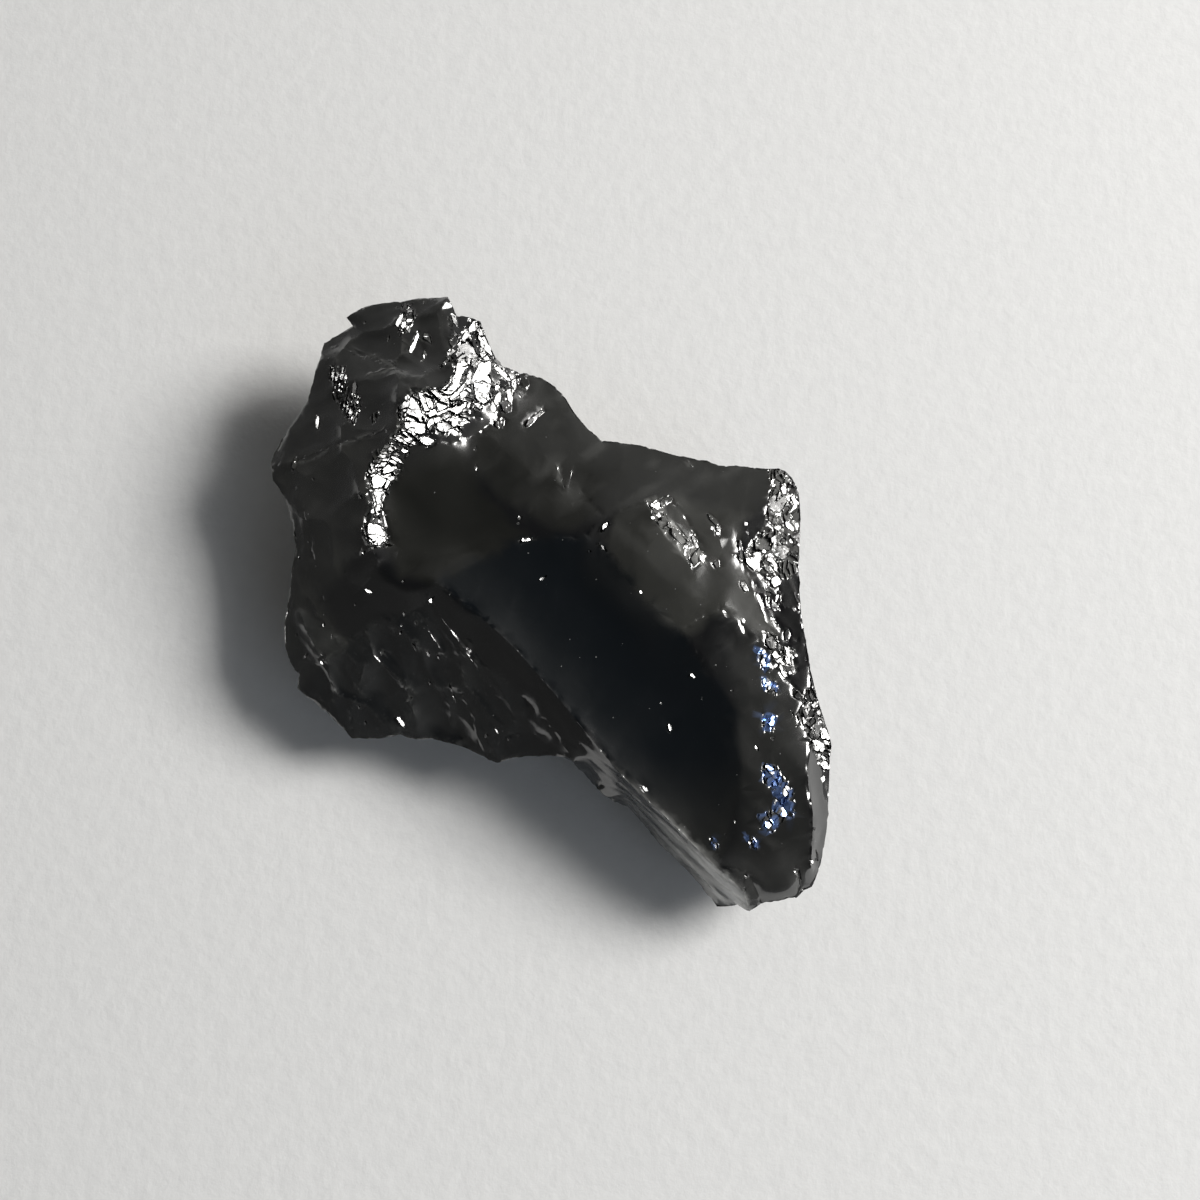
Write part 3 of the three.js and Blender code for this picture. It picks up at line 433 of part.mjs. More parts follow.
// ---- shallow shell-shaped flake scars knocked off the flanks: [x, y, z, radius] of the ball that left each ----
// prettier-ignore
const SCARS = [
  [22.85, -9.9, -6.24, 12],
  [5.84, 15.91, -0.34, 9.1],
  [19.4, 6.23, -2.48, 9.1],
  [2.81, 23.21, -0.62, 12.3],
  [14.62, -23.03, -6.53, 11.5],
  [22.46, -3.07, -0.26, 9.3],
  [-6.57, -14.73, -3.52, 9.8],
  [-15.57, 18.96, -1.28, 8.4],
  [20.32, -10.75, 0.81, 4.8],
  [-0.67, 17.36, 3.97, 4.4],
  [-19.25, 2.49, 3.36, 4.1],
  [20.83, 4.19, 1.16, 6.9],
  [3.56, 14.66, 1.14, 5.8],
  [-20.62, 7.65, 3.44, 4.2],
  [6.55, 10.54, 0.19, 4.2],
  [13.63, 10.72, 1.34, 5.3],
  [-7.44, -10.57, -0.26, 4.6],
  [-13.31, 16.92, -1.78, 5.8],
  [14.62, -17.21, -1.78, 4.9],
  [18.15, -5.78, -2.7, 6.2],
  [8.15, -18.79, -2.44, 5.8],
  [-3.44, 20.8, 3.29, 6.1],
  [17.73, -1.97, 2.95, 3.2],
  [10.57, -18.81, -0.78, 3.7],
  [13.41, 9.56, 3.49, 2.9],
  [-10, 20.18, 3.14, 3.7],
  [5.23, 10.13, 0.42, 3.1],
  [2.13, 13.48, 0.7, 3.5],
  [9.58, 11.07, 4.12, 3.2],
  [-17.54, 2.49, 1.07, 3],
  [-15.24, -6.94, 2.09, 2.4],
  [-2.44, -10.37, 1.41, 2.5],
  [-3.07, 14.43, -0.5, 2.7],
  [13.73, -14.99, -0.67, 2.4],
  [18.08, -12.68, 1.39, 2.6],
  [-6.22, 20, 5.11, 3.4],
  [-15.26, -2.55, -0.48, 2.8],
  [-9.45, -6.55, -1.03, 2.5],
  [0.72, -9.25, -0.64, 3.3],
  [19.2, -6.98, 2.91, 3.5],
  [8.29, 8, -0.73, 2.9],
  [3.9, -12.22, -1.12, 3.3],
  [-13.79, 15.3, 1.92, 2.5],
  [-17.63, 13.88, 4.67, 3.4],
  [-17.14, 5.58, -0.12, 3.6],
  [-6.73, -10.35, 1.14, 3.3],
  [17.33, 0.49, 2.94, 3.6],
  [12.65, 7.94, 0.45, 3.4],
  [-10.42, 15.79, -0.73, 2.8],
  [-14.28, 10.86, -0.95, 2.8],
  [-9.92, -8.88, 1.45, 2.1],
  [-17.11, 9.96, 2.86, 1.6],
  [16.6, 2.35, 4.38, 1.6],
  [-3.48, 16.55, 3.68, 1.6],
  [7.79, -14.77, -0.05, 1.6],
  [16.25, -10.02, 0.54, 1.7],
  [13.69, 0.32, -0.57, 2],
  [-15.89, -4.78, 2.69, 1.6],
  [-13.94, 11.92, 0.09, 1.9],
  [15.29, 8.24, 3.63, 1.9],
  [-1.97, -10.18, 1.69, 2],
  [-16.29, -0.59, 0.64, 1.5],
  [-17.18, 0.78, 3.2, 1.6],
  [17.05, -16.14, 2.75, 1.5],
  [10.47, 9.32, 3.55, 1.7],
  [2.2, 11.78, 3.16, 1.7],
  [16.67, -1.84, 3.6, 1.8],
  [-6.73, -9.22, 2.37, 1.7],
  [-3.06, 16.12, 6.32, 1.3],
  [-2.15, 15.19, 5.12, 1.6],
  [-14.84, 15.51, 5.69, 1.3],
  [-0.59, 13.63, 3.55, 1.3],
  [-11.36, 13.96, 0.07, 1.5],
  [15.05, 4.03, 1.6, 2],
  [-12.04, 18.22, 5.51, 1.3],
  [-15.24, 3.48, 0.47, 1.4],
  [-6.92, 17.38, 2.67, 1.5],
  [14.05, -19.04, 2.6, 2],
  [-13.85, -4.1, 0.58, 1.9],
  [-13.71, -6.71, 1.24, 2],
  [-15.9, 9.28, 0.19, 1.6],
  [-14.72, 6.11, 0, 1.5],
  [-8.99, 18.88, 5.19, 1.5],
  [5.15, -9.77, -0.33, 1.4],
  [-8.25, -5.01, -1.06, 2.1],
  [-17.21, 3.95, 4.19, 1.9],
  [3.4, 10.21, 0.55, 1.9],
  [6.74, 9.16, 2.16, 1.4],
  [-5.72, 15.4, 0.06, 1.7],
  [-1.7, 13.87, 0.92, 1.7],
];

const sub = (a, b) => [a[0] - b[0], a[1] - b[1], a[2] - b[2]];
const dot = (a, b) => a[0] * b[0] + a[1] * b[1] + a[2] * b[2];
const key = (a, b) => (a < b ? a + ":" + b : b + ":" + a);

// Sharpness of each edge of the control surface.
function sharpEdges() {
  const edges = new Map();
  for (const { sharp, line } of ARRISES)
    for (let i = 1; i < line.length; i++) {
      const k = key(line[i - 1], line[i]);
      edges.set(k, Math.max(edges.get(k) ?? 0, sharp));
    }
  return edges;
}

// Points where a crisp line turns hard, which smoothing leaves where they are.
function corners(points, edges) {
  const next = new Map();
  for (const [k, sharp] of edges) {
    if (sharp < 0.9) continue;
    const [a, b] = k.split(":").map(Number);
    if (!next.has(a)) next.set(a, []);
    if (!next.has(b)) next.set(b, []);
    next.get(a).push(b);
    next.get(b).push(a);
  }
  const pinned = new Set();
  for (const [v, ends] of next) {
    if (ends.length !== 2) continue;
    const one = sub(points[v], points[ends[0]]),
      two = sub(points[ends[1]], points[v]);
    const turn = dot(one, two) / Math.sqrt(dot(one, one) * dot(two, two));
    if (turn < Math.cos((CORNER_TURN * Math.PI) / 180)) pinned.add(v);
  }
  return pinned;
}

// One round of Loop smoothing that keeps the sharp lines: each triangle becomes four.
function smooth(points, triangles, edges, pinned) {
  const found = new Map(); // edge -> [a, b, opposite points]
  for (const t of triangles)
    for (let i = 0; i < 3; i++) {
      const a = t[i],
        b = t[(i + 1) % 3],
        k = key(a, b);
      if (!found.has(k)) found.set(k, [Math.min(a, b), Math.max(a, b), []]);
      found.get(k)[2].push(t[(i + 2) % 3]);
    }
  const around = points.map(() => []),
    sharpAround = points.map(() => []);
  for (const [k, [a, b]] of found) {
    around[a].push(b);
    around[b].push(a);
    const s = edges.get(k) ?? 0;
    if (s > 0) {
      sharpAround[a].push([b, s]);
      sharpAround[b].push([a, s]);
    }
  }
  const blend = (p, q, s) => p.map((x, i) => x * (1 - s) + q[i] * s);
  const moved = points.map((p, v) => {
    if (pinned.has(v)) return [...p];
    const n = around[v].length,
      beta = n === 3 ? 3 / 16 : 3 / (8 * n);
    const soft = p.map(
      (x, i) => x * (1 - n * beta) + beta * around[v].reduce((t, w) => t + points[w][i], 0),
    );
    const lines = sharpAround[v];
    if (!lines.length) return soft;
    const s = lines.reduce((t, [, w]) => t + w, 0) / lines.length;
    if (lines.length === 1) return blend(soft, p, 0.35 * s);
    if (lines.length > 2) return blend(soft, p, s);
    const crisp = p.map(
      (x, i) => 0.75 * x + 0.125 * (points[lines[0][0]][i] + points[lines[1][0]][i]),
    );
    return blend(soft, crisp, s);
  });
  const middle = new Map(),
    after = new Map();
  for (const [k, [a, b, opposite]] of found) {
    const s = edges.get(k) ?? 0;
    const soft = points[a].map(
      (x, i) => (3 / 8) * (x + points[b][i]) + (1 / 8) * opposite.reduce((t, w) => t + points[w][i], 0),
    );
    const crisp = points[a].map((x, i) => (x + points[b][i]) / 2);
    middle.set(k, moved.length);
    if (s > 0) {
      after.set(key(a, moved.length), s);
      after.set(key(b, moved.length), s);
    }
    moved.push(blend(soft, crisp, s));
  }
  const finer = [];
  for (const [a, b, c] of triangles) {
    const ab = middle.get(key(a, b)),
      bc = middle.get(key(b, c)),
      ca = middle.get(key(c, a));
    finer.push([a, ab, ca], [b, bc, ab], [c, ca, bc], [ab, bc, ca]);
  }
  return [moved, finer, after];
}

// Splits every edge whose two ends are marked, and the triangles beside it to match, so the surface stays closed.
function split(points, triangles, marked) {
  const middle = new Map();
  const halfway = (a, b) => {
    if (!marked[a] || !marked[b]) return -1;
    const k = key(a, b);
    if (!middle.has(k)) {
      middle.set(k, points.length);
      points.push(points[a].map((x, i) => (x + points[b][i]) / 2));
    }
    return middle.get(k);
  };
  const finer = [];
  for (const t of triangles) {
    const m = [0, 1, 2].map((i) => halfway(t[i], t[(i + 1) % 3]));
    const cut = m.findIndex((v) => v >= 0);
    if (cut < 0) finer.push(t);
    else if (m.every((v) => v >= 0))
      finer.push([t[0], m[0], m[2]], [t[1], m[1], m[0]], [t[2], m[2], m[1]], m);
    else {
      const [a, b, c] = [0, 1, 2].map((i) => t[(cut + i) % 3]);
      finer.push([a, m[cut], c], [m[cut], b, c]);
    }
  }
  return finer;
}

// The flanks, which are finer than the rest so that their scars show: below the outer edge, above the flat.
function onFlank(points, triangles) {
  const up = points.map(() => 0);
  for (const t of triangles) {
    const [a, b, c] = t.map((v) => points[v]);
    const p = sub(b, a),
      q = sub(c, a);
    const z = p[0] * q[1] - p[1] * q[0];
    for (const v of t) up[v] = Math.min(up[v], z);
  }
  return points.map((p, v) => up[v] < 0 && p[2] > 0);
}

// Presses each scar's ball into the surface, but never into the resting flat.
function scar(points) {
  for (const [x, y, z, radius] of SCARS)
    for (const p of points) {
      if (p[2] < 0.02) continue;
      const out = sub(p, [x, y, z]),
        away = Math.sqrt(dot(out, out));
      if (away >= radius || away < 1e-6) continue;
      for (let i = 0; i < 3; i++) p[i] = [x, y, z][i] + (out[i] * radius) / away;
      p[2] = Math.max(p[2], 0.03);
    }
}

// Stretches the finished surface to the driving dimensions and stands it on the origin.
function fit(points) {
  const low = [0, 1, 2].map((i) => Math.min(...points.map((p) => p[i]))),
    high = [0, 1, 2].map((i) => Math.max(...points.map((p) => p[i])));
  const size = [WIDTH, LENGTH, HEIGHT],
    from = [(low[0] + high[0]) / 2, (low[1] + high[1]) / 2, low[2]];
  for (const p of points)
    for (let i = 0; i < 3; i++) p[i] = ((p[i] - from[i]) * size[i]) / (high[i] - low[i]);
}

function nuggetGeometry() {
  let points = POINTS.map((p) => [...p]),
    triangles = TRIANGLES,
    edges = sharpEdges();
  const pinned = corners(points, edges);
  for (let round = 0; round < ROUNDS; round++)
    [points, triangles, edges] = smooth(points, triangles, edges, pinned);
  triangles = split(points, triangles, onFlank(points, triangles));
  scar(points);
  fit(points);
  const geometry = new THREE.BufferGeometry();
  geometry.setAttribute("position", new THREE.Float32BufferAttribute(points.flat(), 3));
  geometry.setIndex(triangles.flat());
  geometry.computeVertexNormals();
  return geometry;
}

const shungite = new THREE.MeshStandardMaterial({
  name: "shungite",
  color: STONE_COLOUR,
  roughness: STONE_ROUGHNESS,
  metalness: STONE_METALNESS,
  flatShading: true,
});

const root = new THREE.Group();
root.name = "shungite_nugget";
const nugget = new THREE.Mesh(nuggetGeometry(), shungite);
nugget.name = "nugget";
root.add(nugget);

export default root;
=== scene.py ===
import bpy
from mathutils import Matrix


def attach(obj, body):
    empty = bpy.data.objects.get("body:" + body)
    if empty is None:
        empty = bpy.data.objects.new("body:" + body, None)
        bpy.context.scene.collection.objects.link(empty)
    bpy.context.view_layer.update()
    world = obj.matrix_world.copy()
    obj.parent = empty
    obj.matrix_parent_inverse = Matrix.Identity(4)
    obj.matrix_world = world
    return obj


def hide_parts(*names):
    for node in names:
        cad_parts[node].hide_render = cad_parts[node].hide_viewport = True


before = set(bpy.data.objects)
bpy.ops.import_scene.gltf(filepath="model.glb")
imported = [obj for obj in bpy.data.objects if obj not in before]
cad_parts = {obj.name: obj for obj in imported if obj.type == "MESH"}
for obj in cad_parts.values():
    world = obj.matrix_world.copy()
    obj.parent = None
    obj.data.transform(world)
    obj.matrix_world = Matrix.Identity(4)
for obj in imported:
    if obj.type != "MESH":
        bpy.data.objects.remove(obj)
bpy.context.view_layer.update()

# A nugget of glassy black shungite on a pale sheet. Shape tables are in millimetres in the part's own frame
# (+Z up, resting flat on Z = 0); everything handed to Blender is in metres.
import math

import bpy
import numpy as np
from mathutils import Vector
from mathutils.kdtree import KDTree

MM = 0.001

# ---------------------------------------------------------------- control surface, the same one the CAD part is made from
POINTS = np.array([
    (-12.74, 18.07, 7.2), (-12, 18.45, 7.6), (-11.14, 18.66, 7.9), (-9.39, 18.64, 8.3), (-8.12, 18.95, 8.5),
    (-7.23, 18.85, 8.6), (-6.22, 18.87, 8.7), (-5.95, 18.23, 8.8), (-5.62, 17.57, 8.8), (-5.01, 17.61, 8.7),
    (-4.2, 17.29, 8.5), (-3.64, 15.88, 8.2), (-3.08, 14.67, 7.9), (-1.72, 14.36, 7.5), (-0.42, 14.2, 7),
    (0.53, 13.64, 6.9), (1.29, 12.69, 6.8), (2.17, 11.2, 6.7), (3.43, 10.18, 6.6), (4.94, 9.99, 6.6),
    (6.38, 9.73, 6.6), (7.82, 9.23, 6.5), (8.95, 9.04, 6.5), (9.96, 8.94, 6.4), (10.83, 8.48, 6.4),
    (12.09, 8.64, 6.3), (13.49, 8.44, 6.1), (14.56, 8.5, 6.1), (15.26, 8.14, 6), (15.88, 6.96, 5.8),
    (15.9, 5.21, 5.8), (15.67, 3.17, 6.2), (15.59, 1.2, 6.5), (15.71, -0.84, 6.6), (15.92, -2.58, 6.55),
    (16.19, -4.3, 6.45), (16.54, -5.82, 6.3), (16.98, -7.18, 5.9), (17.43, -8.59, 5.4), (17.42, -10.64, 4.6),
    (17.3, -13.08, 4.5), (16.99, -15.08, 4.6), (16.51, -16.53, 4.7), (16.07, -17.37, 4.7), (15.5, -17.61, 4.8),
    (15.2, -18.02, 4.7), (14.16, -18.2, 4.8), (13.11, -18.37, 4.4), (12.39, -18.9, 4.2), (11.72, -18.59, 3.6),
    (10.47, -18.58, 3.2), (9.63, -17.54, 3), (8.85, -16.57, 2.9), (7.94, -15.59, 2.8), (6.9, -14.66, 2.7),
    (5.98, -13.37, 2.7), (5.05, -12.37, 2.7), (4.04, -12.16, 3.8), (3.12, -11.52, 4.75), (2.36, -10.41, 2.4),
    (1.67, -9.99, 5.9), (1.06, -9.56, 5.85), (-0.05, -9.45, 5.45), (-1.3, -9.51, 4.9), (-2.24, -9.65, 4.5),
    (-3.05, -9.87, 4.3), (-3.79, -9.56, 4.3), (-4.72, -9.07, 4.3), (-5.97, -8.62, 4.2), (-7.13, -8.39, 3.8),
    (-8.14, -8.44, 3.7), (-9.06, -8.02, 3.9), (-10, -8.2, 3.8), (-11.12, -8.31, 3.7), (-12.12, -8.19, 3.7),
    (-12.99, -7.4, 3.9), (-14.12, -6.11, 4.1), (-15.14, -5.61, 4.1), (-15.51, -5.18, 4.2), (-15.42, -4.41, 4.5),
    (-16.12, -3.37, 4.65), (-16.37, -2.26, 4.85), (-16.39, -1.28, 5), (-16.11, 0.23, 5.1), (-15.89, 2.01, 5.7),
    (-15.5, 3.52, 6.1), (-15.92, 4.8, 6.1), (-16.32, 6.45, 6), (-17.24, 7.68, 6), (-17.43, 8.76, 5.9),
    (-16.95, 10.21, 6.1), (-15.8, 11.66, 6.5), (-15.15, 12.55, 6.8), (-14.91, 13.81, 7), (-14.36, 15.26, 7.2),
    (-14.2, 16.51, 6.9), (-13.17, 17.04, 7.1), (-12.27, 17.43, 7.3), (-6.01, 16.82, 9.2), (-5.84, 15.41, 9.45),
    (-5.49, 14.21, 9.7), (-5.87, 12.94, 10), (-6.39, 12.18, 10.15), (-7.18, 12.4, 10.25), (-8.13, 11.86, 10.35),
    (-8.76, 11.17, 10.5), (-8.75, 10.36, 10.45), (-8.69, 9.59, 10.3), (-9.54, 9, 10.15), (-10.05, 8.35, 9.8),
    (-10.5, 7.52, 9.4), (-10.76, 6.73, 9.1), (-10.64, 5.84, 8.9), (-10.51, 4.98, 8.8), (-10.91, 4.1, 8.8),
    (-10.9, 3.31, 8.7), (-10.55, 2.68, 8.5), (-9.63, 3.26, 8.15), (-9.76, 4.3, 8.3), (-10.07, 5.13, 8.5),
    (-9.96, 5.88, 8.5), (-9.51, 6.85, 8.45), (-8.94, 7.7, 8.8), (-8.66, 8.41, 9.2), (-7.97, 8.95, 9.5),
    (-7.19, 8.86, 9.4), (-6.47, 9.25, 9.35), (-5.59, 9.27, 8.9), (-4.88, 9.75, 8.6), (-4.1, 10.07, 8.4),
    (-3.39, 10.84, 8.2), (-2.73, 12.02, 8), (-2.19, 13.13, 7.8), (-4.54, 15.68, 8.75), (-4.25, 14.27, 9),
    (-3.74, 13.14, 8.9), (-3.97, 11.89, 8.95), (-4.69, 11.02, 9.05), (-6, 10.82, 9.45), (-7.18, 10.46, 9.75),
    (-7.95, 9.68, 9.8), (-16.48, 8.55, 6.6), (-15.79, 8.76, 7), (-14.84, 8.99, 7.5), (-13.77, 9.16, 8),
    (-12.57, 9.36, 8.6), (-11.37, 9.53, 9.3), (-10.39, 9.75, 9.8), (-13.05, 15.78, 7.6), (-11.69, 15.22, 8.2),
    (-10.33, 14.51, 8.9), (-9.22, 14.03, 9.3), (-7.49, 14.32, 9.4), (-15.67, 7.06, 6.6), (-14.94, 5.56, 6.9),
    (-14.66, 3.69, 6.7), (-14.4, 1.86, 6.35), (-13.88, 0.02, 6.1), (-13.22, -1.73, 6), (-12.69, -2.98, 6),
    (-10.16, 1.86, 8.5), (-10.55, 1.02, 8.1), (-11.27, 0.38, 7.6), (-12.21, 1.04, 7.2), (-12.53, 1.96, 7.3),
    (-11.83, 2.55, 8), (-6.57, 0.6, 8.3), (-5.51, 1.27, 8.1), (-4.5, 1.82, 7.9), (-3.6, 2.41, 7.8),
    (-2.7, 2.93, 7.7), (-0.99, 3.69, 7.7), (-4.69, 8.04, 8.3), (-4.26, 6.53, 8), (-3.34, 5.51, 7.8),
    (-2.23, 4.64, 7.7), (-5.66, -0.01, 8.25), (-4.56, -0.86, 8.2), (-3.34, -1.95, 8.1), (-2.12, -3.04, 8),
    (-0.91, -4.36, 7.85), (0.3, -5.74, 7.7), (1.5, -7.17, 7.55), (2.7, -8.71, 7.35), (3.9, -10.14, 7.2),
    (5.1, -11.44, 7), (6.3, -12.55, 6.8), (7.13, -13.26, 6.7), (8.09, -14.19, 6.5), (9.11, -15.25, 6.3),
    (10.12, -16.24, 6.1), (11.09, -17.12, 5.8), (11.89, -17.75, 5.4), (-7.03, -0.34, 7.8), (-6.42, -1.3, 7.6),
    (-5.46, -2.46, 7.2), (-4.12, -3.71, 6.95), (-2.78, -4.86, 6.8), (-1.56, -5.93, 6.6), (-0.34, -7.13, 6.4),
    (0.63, -8.43, 6.1), (-5.42, -1.47, 7.85), (-4.1, -2.51, 7.5), (-2.75, -3.67, 7.45), (-1.54, -4.88, 7.3),
    (-0.02, -6.61, 7.05), (1.19, -8.04, 6.85), (2.7, -9.75, 6.4), (4.22, -11.04, 5.5), (5.73, -12.48, 5.3),
    (7.25, -13.97, 5.1), (8.76, -15.58, 4.9), (10.27, -17.3, 4.6), (-8.03, -0.94, 7.4), (-9.03, -1.32, 7.1),
    (-10.15, -1.53, 6.9), (-11.29, -2.07, 6.5), (-13.87, -3.75, 5.4), (-8.75, -2.59, 6.6), (-8.17, -3.87, 6.1),
    (-7.8, -5.47, 5.2), (-7.47, -6.97, 4.4), (-6.93, -2.44, 7.1), (-5.87, -4.05, 6.4), (-5.11, -5.76, 5.5),
    (-4.45, -7.42, 5), (-10.94, -3.43, 6.1), (-11.51, -5.15, 5.2), (-12.18, -6.48, 4.5), (-4.85, -3.41, 7),
    (-3.53, -5.28, 6.35), (-2.31, -6.93, 5.9), (-1.28, -8.18, 5.6), (-2.83, -8.36, 5.1), (0.85, 3.38, 7.7),
    (2.57, 3.75, 7.7), (3.61, 4.83, 7.95), (4.65, 5.31, 8.05), (5.76, 5.74, 8.1), (6.68, 6.01, 8.05),
    (7.49, 6.27, 7.8), (1.94, 6.83, 7.4), (2.81, 5.81, 7.4), (3.73, 2.77, 8.1), (4.52, 1.38, 8.15),
    (5.73, -0.04, 8.1), (6.94, -1.24, 7.95), (8.15, -2.3, 7.7), (9.05, -3.39, 7.6), (9.83, -4.6, 7.45),
    (6.43, 5.38, 8.25), (7.21, 4.25, 8.25), (8.06, 3.26, 8.15), (8.79, 2.03, 8.05), (8.47, 4.9, 7.7),
    (9.26, 3.7, 7.65), (9.79, 2.43, 7.7), (9.38, -1.38, 7.7), (10.6, -0.98, 7.6), (10.73, -0.74, 7.6),
    (11.83, -1.79, 7.3), (12.74, -2.57, 7.15), (13.54, -3.34, 6.95), (14.08, -4.12, 6.85), (14.75, -5.08, 6.65),
    (15.46, -5.99, 6.6), (11.91, 2.41, 7.25), (12.63, 1.06, 7.1), (13.23, -0.17, 7), (14.08, -1.51, 6.8),
    (14.92, -2.61, 6.7), (13.82, 6.24, 6.75), (13.85, 4.94, 6.8), (13.19, 3.81, 7), (13.14, 1.59, 7), (14, 0.5, 6.8),
    (14.6, -0.56, 6.75), (16.21, -8.41, 6.4), (15.7, -10.91, 6.6), (16.04, -12.34, 6.45), (16.13, -13.65, 6.4),
    (16, -15.3, 6.15), (15.94, -16.35, 5.9), (15.34, -17.04, 5.3), (15.06, -16.35, 5.8), (11.56, -16.3, 6),
    (12.17, -16.7, 5.8), (12.76, -17.62, 5.1), (10.79, -5.79, 7.3), (11.38, -7.12, 7.2), (11.73, -8.8, 7.05),
    (11.83, -10.47, 6.95), (11.63, -12.37, 6.8), (11.13, -14.03, 6.65), (10.47, -15.2, 6.45), (-0.15, 12.5, 7.15),
    (1.42, 11.25, 6.95), (-6.51, 18.28, 8.85), (-11.96, 17.79, 7.75), (-10.13, 17.05, 8.6), (-8.21, 17.09, 9),
    (-6.91, 16.08, 9.4), (-9.07, 15.47, 9.3), (-7.43, 13.16, 9.75), (-11.12, 16.58, 8.1), (-12.6, 13.93, 8.15),
    (-11.2, 12.36, 8.9), (-9.84, 11.15, 9.6), (-13.18, 12.02, 8), (-14.13, 10.65, 7.6), (-12.11, 10.81, 8.7),
    (-15.48, 10.09, 6.9), (-10.23, 12.85, 9.35), (-13.37, 7.84, 7.9), (-12.02, 7.94, 8.65), (-14.71, 7.53, 7.2),
    (-13.01, 5.95, 7.8), (-11.86, 5.77, 8.45), (-12.29, 3.97, 8.1), (-13.64, 3.86, 7.3), (-13.84, 2.08, 6.8),
    (-13, 0.52, 6.7), (-11.48, 7.53, 8.95), (-11.6, 1.64, 7.3), (-5.28, 16.26, 8.95), (-4.82, 13.17, 9.35),
    (-6.47, 11.55, 9.75), (-7.97, 10.91, 9.95), (-2.92, 13.25, 8.2), (-3.22, 12.29, 8.15), (-9.64, 7.52, 9),
    (-10.29, 5.69, 8.75), (-10.27, 3.85, 8.55), (-9.36, 8.51, 9.5), (-8.35, 7.06, 8.4), (-8.37, 5.29, 7.9),
    (-6.51, 7.65, 8.55), (-6.51, 5.26, 8), (-6.49, 3.1, 7.8), (-8.61, 3.05, 8), (-8.25, 1.46, 8.1),
    (-4.68, 4.1, 7.6), (-4.66, 2.81, 7.7), (-2.84, 4.4, 7.65), (-9.13, 1.1, 8.3), (-2.87, 9.37, 8.15),
    (-2.86, 7.2, 7.9), (-1.02, 7.87, 7.8), (-1, 5.63, 7.8), (0.84, 5.98, 7.7), (-0.44, 10.58, 7.4),
    (1.44, 8.99, 7.3), (3.93, 8.37, 7.2), (3.3, 6.67, 7.5), (5.16, 7.04, 7.35), (7.04, 7.75, 7.1), (8.9, 7.45, 7.05),
    (9.49, 6.09, 7.3), (11.39, 6.83, 6.95), (12.98, 7.25, 6.6), (4.55, 9.07, 7.05), (0.79, 13.03, 6.95),
    (0.85, 4.39, 7.7), (-2.29, 11.4, 7.9), (-1.08, 12.86, 7.45), (10.7, 4.77, 7.45), (12.28, 5.18, 7.1),
    (11.93, 3.56, 7.2), (10.67, 3.16, 7.55), (12.87, 3.6, 7.05), (4.83, 3.92, 8.3), (5.43, 2.65, 8.35),
    (6.34, 1.11, 8.25), (6.96, 2.97, 8.3), (7.55, 0.2, 8.15), (8.77, 0.24, 8), (10.01, 0.93, 7.7),
    (11.25, 0.67, 7.45), (10.31, -0.3, 7.6), (11.86, -0.24, 7.3), (9.38, -0.64, 7.75), (10.96, 1.91, 7.5),
    (12.9, -1.31, 7.05), (13.99, -2.64, 6.85), (12.16, -0.84, 7.2), (14.89, -3.97, 6.7), (14.89, 7.04, 6.2),
    (14.84, 5.07, 6.3), (14.46, 3.1, 6.5), (15.05, 1.83, 6.5), (14.69, 0.53, 6.65), (14.09, 1.47, 6.7),
    (15.3, -0.09, 6.6), (14.37, -0.41, 6.65), (15.26, -1.66, 6.6), (15.51, -4.13, 6.55), (-2.78, 0.29, 7.75),
    (-3.99, 0.25, 7.95), (-1.58, 1.56, 7.65), (-0.35, -0.28, 7.5), (0.86, 1.6, 7.5), (2.08, 2.21, 7.55),
    (0.88, -2.74, 7.4), (2.69, -0.26, 7.4), (3.3, -2.71, 7.25), (4.52, -0.88, 7.4), (3.3, -5.77, 7.15),
    (5.74, -3.32, 7.2), (5.73, -6.35, 6.95), (6.94, -4.54, 7.15), (8.15, -6.35, 6.95), (5.72, -9.36, 6.75),
    (8.13, -8.76, 6.75), (9.95, -8.16, 6.8), (8.12, -11.74, 6.45), (9.93, -10.55, 6.6), (9.31, -13.52, 6.3),
    (10.81, -12.35, 6.5), (-0.94, -2.16, 7.6), (1.49, -4.59, 7.4), (3.91, -8.19, 7.05), (2.7, -7.31, 7.25),
    (9.97, -2.77, 7.55), (11.2, -3.34, 7.3), (12.09, -5.15, 7.1), (13.32, -5.13, 6.95), (12.97, -7.57, 6.95),
    (14.51, -6.93, 6.75), (15.43, -7.22, 6.6), (14.16, -9.07, 6.8), (13.23, -9.98, 6.85), (15.05, -9.96, 6.7),
    (13.19, -12.07, 6.75), (14.41, -11.76, 6.65), (15.31, -12.35, 6.55), (12.87, -14.14, 6.6), (14.37, -14.13, 6.5),
    (11.96, -15.32, 6.5), (13.45, -15.9, 6.35), (14.97, -15.01, 6.35), (13.78, -17.35, 5.8), (14.68, -17.35, 5.75),
    (15.65, -17.03, 5.2), (10.47, -15.78, 6.3), (11.37, -15.31, 6.4), (11.07, -16.72, 6.1), (16.78, -10.37, 4.9),
    (16.81, -12.18, 4.7), (16.69, -14.61, 4.7), (16.34, -15.82, 4.8), (16.78, -8.87, 5.2), (-16.43, 7.96, 6.4),
    (-15.71, 5.99, 6.5), (-15.21, 4.38, 6.5), (-15.15, 2.56, 6.1), (-15.05, 0.76, 5.6), (-15.33, -1.09, 5.35),
    (-14.34, -2.07, 5.5), (-15.31, -2.94, 5.1), (-14.16, -0.55, 5.8), (-8.83, 0.09, 8.1), (-10.12, -0.26, 7.4),
    (-8.88, -0.59, 7.5), (-7.92, -0.08, 8), (-11.27, -0.78, 6.9), (-12.37, -1.01, 6.5), (-12.04, -0.13, 6.8),
    (-7.61, 0.5, 8.2), (-9.75, 0.52, 8.1), (-13.42, -4.79, 4.9), (-12.45, -4.11, 5.3), (-10.21, -2.83, 6.2),
